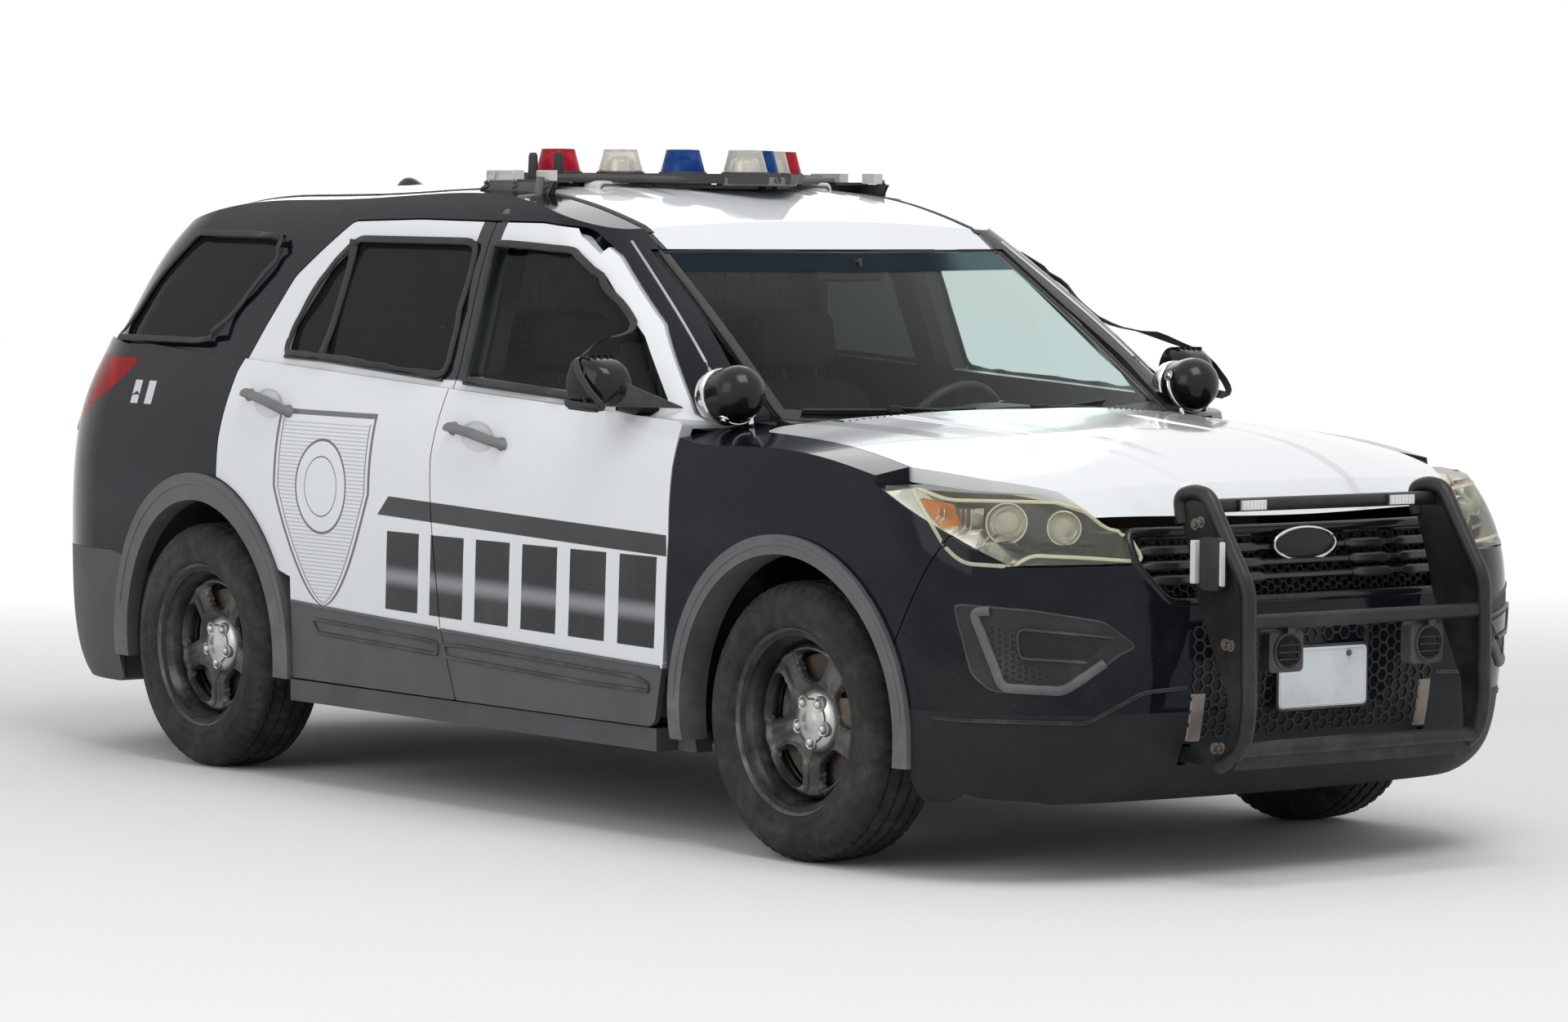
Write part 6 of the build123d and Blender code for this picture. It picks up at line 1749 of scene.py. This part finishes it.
back_strip("gate_glass_seal", "liftgate", "rubber_seal",
    [(-572, 1300), (572, 1300), (560, 1545), (-560, 1545)], 0.020, 0.004, True, 0.05)
middle_at, _ = on_back(0, 0.985)
back_sheet("gate_panel", "liftgate", "plastic_gloss", (-360, 880), (360, 1105), 0.003)
back_strip("gate_panel_edge", "liftgate", "plastic_gloss",
    [(-362, 878), (362, 878), (362, 1107), (-362, 1107)], 0.014, 0.008, True, 0.03)
sheet_plate("plate_rear", "liftgate", middle_at + Vector((-0.026, 0, 0)), (-1, 0, 0))
back_strip("gate_handle_bar", "liftgate", "trim_silver", [(-330, 1132), (330, 1132)], 0.030, 0.016)
small = bmesh.new()
for y in (-105, 105):
    at, facing = on_back(y / 1000, 1.092, 0.004)
    brick(small, at + Vector((-0.010, -0.026, -0.008)), at + Vector((0.002, 0.026, 0.008)))
piece("plate_lamps", "liftgate", "lamp_white", small)
back_strip("tail_crease", "liftgate", "paint_black", [(-640, 860), (0, 842), (640, 860)], 0.020, 0.004)
lamp_line = bmesh.new()
spoiler = bmesh.new()
rows = []
for n in range(25):
    y = -0.560 + 1.120 * n / 24
    back_x, tip = gate_top(y)
    rows.append([Vector((-2.02, y, tip + 0.012)), Vector((back_x, y, tip - 0.030)),
        Vector((back_x - 0.004, y, tip - 0.046)), Vector((back_x + 0.030, y, tip - 0.055)),
        Vector((-2.02, y, tip - 0.035))])
bridge(spoiler, rows)
piece("gate_spoiler", "liftgate", "paint_black", spoiler, 40)
rows = []
for n in range(13):
    y = -0.180 + 0.360 * n / 12
    back_x, tip = gate_top(y)
    rows.append([Vector((back_x + 0.001, y, tip - 0.033)), Vector((back_x - 0.007, y, tip - 0.036)),
        Vector((back_x - 0.007, y, tip - 0.047)), Vector((back_x + 0.001, y, tip - 0.049))])
bridge(lamp_line, rows)
piece("high_lamp", "liftgate", "lens_red", lamp_line)
for side, word in SIDES:
    mark = bmesh.new()
    hits = [on_back(side * y, 0.470) for y in (0.60, 0.64, 0.68, 0.72, 0.76)]
    strip(mark, hits, 0.040, 0.005)
    piece(f"rear_reflector.{word}", "vehicle", "lens_red", mark)
pad = bmesh.new()
bumper_tree = tree_of(["rear_bumper"])
for k in range(3):
    hits = []
    for y in (-0.5, -0.4, -0.25, 0, 0.25, 0.4, 0.5):
        start = Vector((-2.560 + 0.035 * k + 0.10 * (abs(y) / 0.5) ** 2, y, 1.0))
        at, facing, _, _ = bumper_tree.ray_cast(start, Vector((0, 0, -1)), 0.9)
        if at is not None and at.z > 0.60:
            hits.append((at, facing if facing.z > 0 else -facing))
    if len(hits) > 2:
        strip(pad, hits, 0.012, 0.003)
piece("step_pad", "vehicle", "plastic_black", pad)
back_strip("rear_bumper_line", "vehicle", "plastic_grey", [(-800, 520), (-450, 400), (450, 400), (800, 520)],
    0.014, 0.004, section=HOLLOW)
wipe_at, wipe_face = on_back(0.02, 1.268, 0.004)
rear_wiper = bmesh.new()
lathe(rear_wiper, [(0, 0.024), (0.012, 0.022), (0.018, 0.012), (0.020, -0.004)], wipe_at, wipe_face, 24)
reach = [on_back(0.02 + t * 0.30, 1.272 + t * 0.045, 0.016)[0] for t in (0, 0.2, 0.5, 0.8, 1.0)]
tube(rear_wiper, reach, 0.006, 8, flat=0.7)
tube(rear_wiper, [on_back(0.10 + t * 0.38, 1.312 + 0.018 * t, 0.010)[0] for t in (0, 0.25, 0.5, 0.75, 1.0)],
    0.006, 8)
piece("rear_wiper", "liftgate", "plastic_black", rear_wiper)
print("rear dressed")

# %% [markdown]
# The tail lamps wrap round the corners. Fine ribs run over the red lens, a clear strip stands for the
# reversing lamp, and two blank stickers sit ahead of it. Ribs are kept only where the ray meets the lens.

# %% Tail lamps
lamp_tree = tree_of(["tail_lamps"])
for side, word in SIDES:
    lines = bmesh.new()
    for z in (1.010, 1.060, 1.110, 1.155):
        hits = []
        for px in (-3.800, -3.700, -3.620, -3.540, -3.480, -3.430):
            start = Vector((px + FRONT_AXLE, side * OUTSIDE, z))
            at, facing, _, _ = sides.ray_cast(start, Vector((0, -side, 0)), 0.9)
            if at is not None and lamp_tree.find_nearest(at)[3] < 0.003:
                hits.append((at, facing if facing.y * side > 0 else -facing))
        if len(hits) > 2:
            strip(lines, hits, 0.005, 0.0016)
    piece(f"tail_lines.{word}", "vehicle", "lens_red", lines)
    clear = bmesh.new()
    strip(clear, [on_back(side * (0.845 - 0.028 * n), 0.990) for n in range(5)], 0.045, 0.003)
    piece(f"reverse_lens.{word}", "vehicle", "lens_clear", clear)
    for n, px in enumerate((-3.300, -3.215)):
        sticker = bmesh.new()
        face = [on_side(px + 0.022 * a, 1.105 + 0.035 * b, side, 0.0009)[0] for a, b in BOX]
        sticker.faces.new([sticker.verts.new(p) for p in face])
        piece(f"sticker_blank_{n}.{word}", "vehicle", "cup_white", sticker)
print("tail lamps dressed")

# %% [markdown]
# The liftgate's skin runs out to the tail lamps with a narrow gap. At each height the outermost point of
# the gate and the rearmost point of the body side are found on the fixed model, and a pressed flange spans
# between them and stops short of the body, so the gate still lifts free.


# %% Flanges of the liftgate
def cut_at(names, z, side):
    """Points where the named nodes cross a level, on one side."""
    found = []
    for name in names:
        data = nodes[name].data
        spots = [v.co for v in data.vertices]
        for edge in data.edges:
            a, b = spots[edge.vertices[0]], spots[edge.vertices[1]]
            if (a.z - z) * (b.z - z) < 0 and a.y * side > 0.3:
                found.append(a.lerp(b, (z - a.z) / (b.z - a.z)))
    return found


FLANGE_GAP = 0.005
FLANGE_T = 0.003
for side, word in SIDES:
    rows = []
    for n in range(40):
        z = 0.800 + 0.020 * n
        gate = cut_at(["liftgate"], z, side)
        body = [p for p in cut_at(["body_sides", "tail_lamps"], z, side) if p.x < FRONT_AXLE - 3.2]
        if not gate or not body:
            continue
        reach = max(p.y * side for p in gate)
        start = min((p for p in gate if p.y * side > reach - 0.004), key=lambda p: p.x)
        end = min(body, key=lambda p: p.x)
        span = end - start
        if span.length > 0.012:
            rows.append((start, end - span.normalized() * FLANGE_GAP))
    flange = bmesh.new()
    inward = Vector((FLANGE_T, 0, 0))
    rings = [[a, a.lerp(b, 0.5) + Vector((-0.004, 0, 0)), b, b + inward, a.lerp(b, 0.5) + inward, a + inward]
        for a, b in rows]
    bridge(flange, rings)
    piece(f"gate_flange.{word}", "liftgate", "paint_black", flange)
    print("flange", word, len(rows), "widest mm", round(max((b - a).length for a, b in rows) * 1000))

# %% [markdown]
# Seats are cushions over a frame, so each pad is a crowned closed form whose sides pull in between its
# corners. A cube cut into a fine grid bends into a rounded block, and its panels swell between sewn
# channels.

# %% Seats and bench
def cushion(mesh, centre, size, lean=0.0, crown=0.03, channels=3, axis=2):
    """A padded block: size along x, y, z; lean tilts it back about y; channels run across it."""
    count = 14
    half = Vector(size) / 2
    turn = Matrix.Rotation(lean, 3, "Y")
    block = bmesh.new()
    bmesh.ops.create_cube(block, size=2.0)
    bmesh.ops.subdivide_edges(block, edges=block.edges[:], cuts=count, use_grid_fill=True)
    for vert in block.verts:
        p = vert.co.copy()
        q = Vector(tuple(math.copysign(abs(c) ** 0.9, c) if c else 0 for c in p))
        power = 5.0
        norm = (abs(q.x) ** power + abs(q.y) ** power + abs(q.z) ** power) ** (1 / power)
        q = q / norm if norm else q
        face = max(range(3), key=lambda k: abs(p[k]))
        if face == axis:
            others = [k for k in range(3) if k != axis]
            a, b = (p[k] for k in others)
            puff = crown * (1 - a * a) * (1 - b * b)
            seam = (b * channels * 0.5 + 0.5) % 1
            seam = min(seam, 1 - seam)
            puff -= 0.007 * math.exp(-(seam / 0.045) ** 2)
            puff -= 0.006 * math.exp(-((abs(a) - 0.62) / 0.035) ** 2)
        else:
            puff = -0.006 * (1 - p[axis] ** 2)
        at = Vector((q.x * half.x, q.y * half.y, q.z * half.z))
        at[face] += math.copysign(puff, p[face])
        vert.co = Vector(centre) + turn @ at
    made = {v: mesh.verts.new(v.co) for v in block.verts}
    for f in block.faces:
        mesh.faces.new([made[v] for v in f.verts])
    block.free()


seat_mesh = bmesh.new()
frame_bits = bmesh.new()
for y in (-412, 412):
    cushion(seat_mesh, row(-1420, y, 490), (0.52, 0.50, 0.15), math.radians(4), 0.030, 4, 2)
    cushion(seat_mesh, row(-1672, y, 840), (0.135, 0.49, 0.66), math.radians(-9), 0.026, 4, 0)
    cushion(seat_mesh, row(-1748, y, 1290), (0.085, 0.26, 0.165), math.radians(-9), 0.016, 1, 0)
    for s in (-1, 1):
        tube(frame_bits, [row(-1712, y + s * 60, 1150), row(-1738, y + s * 60, 1250)], 0.007, 10)
        cushion(seat_mesh, row(-1650, y + s * 222, 800), (0.17, 0.065, 0.46), math.radians(-9), 0.010, 1, 0)
        cushion(seat_mesh, row(-1420, y + s * 225, 505), (0.44, 0.065, 0.14), math.radians(4), 0.010, 1, 2)
        brick(frame_bits, row(-1610, y + s * 200 - 12, 300), row(-1190, y + s * 200 + 12, 340))
        tube(frame_bits, [row(-1240, y + s * 200, 335), row(-1300, y + s * 200, 425)], 0.010, 8)
        tube(frame_bits, [row(-1580, y + s * 200, 335), row(-1540, y + s * 200, 425)], 0.010, 8)
    brick(frame_bits, row(-1630, y - 205, 395), row(-1200, y + 205, 428))
seats = piece("front_seat_pads", "vehicle", "cloth_seat", seat_mesh, 80)
piece("front_seat_frames", "vehicle", "steel_painted", frame_bits)
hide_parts("front_seats")
bench_mesh = bmesh.new()
cushion(bench_mesh, row(-2165, 0, 520), (0.36, 1.26, 0.16), math.radians(3), 0.024, 6, 2)
cushion(bench_mesh, row(-2405, 0, 510), (0.26, 0.95, 0.13), 0, 0.010, 4, 2)
cushion(bench_mesh, row(-2590, 0, 860), (0.135, 0.95, 0.62), math.radians(-13), 0.024, 5, 0)
cushion(bench_mesh, row(-2625, 0, 1040), (0.120, 1.26, 0.26), math.radians(-13), 0.018, 6, 0)
for y in (-330, 330):
    cushion(bench_mesh, row(-2672, y, 1225), (0.075, 0.24, 0.13), math.radians(-12), 0.014, 1, 0)
bench_pads = piece("rear_bench_pads", "vehicle", "cloth_seat", bench_mesh, 80)
bench_base = bmesh.new()
brick(bench_base, row(-2320, -560, 293), row(-2040, 560, 440))
piece("rear_bench_base", "vehicle", "steel_painted", bench_base)
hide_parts("rear_bench")
print("seat pads", len(seats.data.polygons) + len(bench_pads.data.polygons))

# %% [markdown]
# In front of the seats are a hood over the dials, vents, a screen on an arm with its keyboard, and a
# console. The wall behind the front seats gets its tubes and wire mesh. They show only through glass, so
# they stay simple.

# %% Dash, console and cabin wall
dash_bits = bmesh.new()
rings = []
for n in range(13):
    t = -1 + 2 * n / 12
    y = 400 + 190 * t
    tall = 26 + 40 * (1 - t * t) ** 0.5
    rings.append([row(-700, y, 1092), row(-830, y, 1068), row(-850, y, 1068 + tall * 0.8),
        row(-835, y, 1074 + tall * 0.9), row(-700, y, 1094 + tall * 0.5)])
bridge(dash_bits, rings)
for y in (-640, -120, 120, 690):
    ring = rounded([row(-872, y + 55 * a, 981 + 31 * b) for a, b in BOX], 0.014)
    tube(dash_bits, ring, 0.006, 8, True)
    for k in range(4):
        brick(dash_bits, row(-874, y - 48, 962 + k * 12), row(-862, y + 48, 965 + k * 12))
brick(dash_bits, row(-880, -90, 780), row(-858, 90, 925))
piece("dash_trim", "vehicle", "plastic_black", dash_bits, 40)
screen = bmesh.new()
lean = Vector((0.25, 0.05, 1)).normalized()
base = row(-1010, -60, 1000)
ring = rounded([base + Vector((0, -0.150, 0)) - lean * 0.105, base + Vector((-0.01, 0.150, 0)) - lean * 0.105,
    base + Vector((-0.01, 0.150, 0)) + lean * 0.105, base + Vector((0, -0.150, 0)) + lean * 0.105], 0.014)
bridge(screen, [ring, [p + Vector((0.024, 0, -0.004)) for p in ring]])
tube(screen, [row(-985, -60, 985), row(-960, -30, 900), row(-1000, -10, 560), row(-1010, 0, 300)], 0.018, 12)
slab(screen, [row(-1060, -200, 868), row(-1060, 80, 868), row(-1190, 80, 850), row(-1190, -200, 850)],
    (0, 0, 0.018))
for i in range(5):
    for j in range(11):
        at = row(-1078 - i * 22, -186 + j * 24, 886 - i * 3)
        brick(screen, at, at + Vector((0.016, 0.019, 0.005)))
brick(screen, row(-1500, -75, 293), row(-1000, 75, 560))
piece("computer_and_console", "vehicle", "plastic_black", screen, 30)
glow = bmesh.new()
ring = rounded([base + Vector((-0.002, -0.136, 0)) - lean * 0.088,
    base + Vector((-0.012, 0.136, 0)) - lean * 0.088, base + Vector((-0.012, 0.136, 0)) + lean * 0.088,
    base + Vector((-0.002, -0.136, 0)) + lean * 0.088], 0.006)
bridge(glow, [ring, [p + Vector((-0.001, 0, 0)) for p in ring]])
piece("computer_screen", "vehicle", "plastic_gloss", glow)
CAGE_X = -1872
cage = bmesh.new()
for n in range(35):
    y = -0.600 + 1.200 * n / 34
    tube(cage, [row(CAGE_X, y * 1000, 1010), row(CAGE_X, y * 1000, 1560)], 0.0018, 4)
for n in range(17):
    z = 1010 + 550 * n / 16
    tube(cage, [row(CAGE_X, -610, z), row(CAGE_X, 610, z)], 0.0018, 4)
for z in (1000, 1290, 1570):
    tube(cage, [row(CAGE_X - 2, -615, z), row(CAGE_X - 2, 615, z)], 0.012, 8)
for y in (-615, 0, 615):
    tube(cage, [row(CAGE_X - 2, y, 1000), row(CAGE_X - 2, y, 1570)], 0.012, 8)
piece("cage_mesh", "vehicle", "steel_painted", cage)
dials = bmesh.new()
for y in (330, 470):
    at = row(-852, y, 1085)
    lathe(dials, [(0.0, 0.004), (0.044, 0.004), (0.048, 0.010), (0.052, 0.010), (0.054, 0.0)], at,
        (-1, 0, 0.15), 32)
piece("dials", "vehicle", "plastic_gloss", dials)
pad = bmesh.new()
WHEEL_LEAN = math.radians(24)
hub = Vector((-math.cos(WHEEL_LEAN), 0, math.sin(WHEEL_LEAN)))
centre = Vector((FRONT_AXLE - 1.010, 0.400, 1.015))
lathe(pad, [(0.0, 0.034), (0.030, 0.033), (0.055, 0.028), (0.068, 0.018), (0.070, 0.002)], centre, hub, 32)
for s in (-1, 1):
    for k in range(3):
        at = centre + hub * 0.012 + Vector((0, s * (0.088 + 0.004 * k), 0.024 - 0.024 * k))
        lathe(pad, [(0, 0.005), (0.007, 0.004), (0.009, 0.0)], at, hub, 12)
piece("steering_wheel_pad", "steering_wheel", "plastic_black", pad, 50)
print("cabin dressed")

# %% [markdown]
# Under the vehicle the fixed parts carry most of the shape. Coil springs round the struts and the pipe's
# bright tip finish it. A spring is a tube along a helix.

# %% Underside and wheel houses
SPRING_TURNS = 6


def spring(mesh, foot, radius, tall, steps):
    """A tube along a helix that stands on foot."""
    path = []
    for n in range(steps + 1):
        turn = 2 * math.pi * SPRING_TURNS * n / steps
        path.append(Vector(foot) + Vector((radius * math.cos(turn), radius * math.sin(turn),
            tall * n / steps)))
    tube(mesh, path, 0.007, 8)


springs = bmesh.new()
for side in (-1, 1):
    spring(springs, (FRONT_AXLE, side * 0.640, 0.520), 0.062, 0.200, 144)
    spring(springs, (REAR_AXLE - 0.02, side * 0.520, 0.330), 0.055, 0.180, 120)
piece("suspension_springs", "vehicle", "plastic_black", springs)
tip = bmesh.new()
lathe(tip, [(0.030, 0.0), (0.036, 0.002), (0.038, 0.010), (0.038, 0.100), (0.033, 0.104), (0.033, 0.010),
    (0.030, 0.0)], (-2.236, -0.300, 0.262), (1, 0, 0), 32)
piece("exhaust_tip", "vehicle", "chrome", tip)
print("underside dressed")

# %% [markdown]
# A plain studio: a pale floor, a white surround that camera, gloss and glass rays see, and soft lamps. The
# surround that lights the body is weaker than the white that is seen, so pale paint doesn't clip. The floor
# glows more and more away from the car, a painted glow that blends it into the white surround.

# %% Studio
STUDIO_WHITE = 1.0
world = bpy.data.worlds.new("studio")
bpy.context.scene.world = world
world.use_nodes = True
tree = world.node_tree
ground = tree.nodes["Background"]
ground.inputs["Color"].default_value = (0.93, 0.95, 1.0, 1)
ground.inputs["Strength"].default_value = 0.60
seen = tree.nodes.new("ShaderNodeBackground")
seen.inputs["Color"].default_value = (1, 1, 1, 1)
seen.inputs["Strength"].default_value = STUDIO_WHITE
path = tree.nodes.new("ShaderNodeLightPath")
seeing = path.outputs["Is Camera Ray"]
for kind in ("Is Glossy Ray", "Is Transmission Ray"):
    either = tree.nodes.new("ShaderNodeMath")
    either.operation = "MAXIMUM"
    tree.links.new(seeing, either.inputs[0])
    tree.links.new(path.outputs[kind], either.inputs[1])
    seeing = either.outputs[0]
blend = tree.nodes.new("ShaderNodeMixShader")
tree.links.new(seeing, blend.inputs[0])
tree.links.new(ground.outputs[0], blend.inputs[1])
tree.links.new(seen.outputs[0], blend.inputs[2])
tree.links.new(blend.outputs[0], tree.nodes["World Output"].inputs[0])


def soft_lamp(name, at, to, size, power):
    lamp = bpy.data.objects.new(name, bpy.data.lights.new(name, "AREA"))
    bpy.context.scene.collection.objects.link(lamp)
    lamp.data.size = size
    lamp.data.energy = power
    lamp.location = at
    lamp.rotation_euler = (Vector(to) - Vector(at)).to_track_quat("-Z", "Y").to_euler()


soft_lamp("key", (5.0, -1.0, 9.0), (0, 0, 0.8), 5, 430)
soft_lamp("side_fill", (1.0, -9.0, 4.5), (0, 0, 0.7), 6, 170)
soft_lamp("rear_fill", (-8.0, 5.0, 5.0), (0, 0, 0.8), 6, 170)

floor_mesh = bpy.data.meshes.new("floor")
flat = bmesh.new()
bmesh.ops.create_circle(flat, cap_ends=True, segments=96, radius=60)
flat.to_mesh(floor_mesh)
flat.free()
floor = bpy.data.objects.new("floor", floor_mesh)
bpy.context.scene.collection.objects.link(floor)
floor_finish = Finish("floor_pale", Roughness=0.85, Specular_IOR_Level=0.2)
speckle = floor_finish.noise(60, 4, 0.7)
floor_finish.feed("Base Color", floor_finish.mix(speckle.fade(0.35, 0.7) * 0.25, (0.80, 0.80, 0.79),
    (0.70, 0.70, 0.69)))
# painted glow: the floor's emission grows from 3.5 m to 13 m out, so its far part glows into the white
# surround
out_x, out_y = floor_finish.axis("X"), floor_finish.axis("Y")
far_off = (out_x * out_x + out_y * out_y) ** 0.5
floor_finish.feed("Emission Color", floor_finish.mix(far_off.fade(3.5, 13), (0, 0, 0), (0.52, 0.52, 0.52)))
floor_finish.shader.inputs["Emission Strength"].default_value = 1.0
floor_mesh.materials.append(floor_finish.material)
print("studio ready")
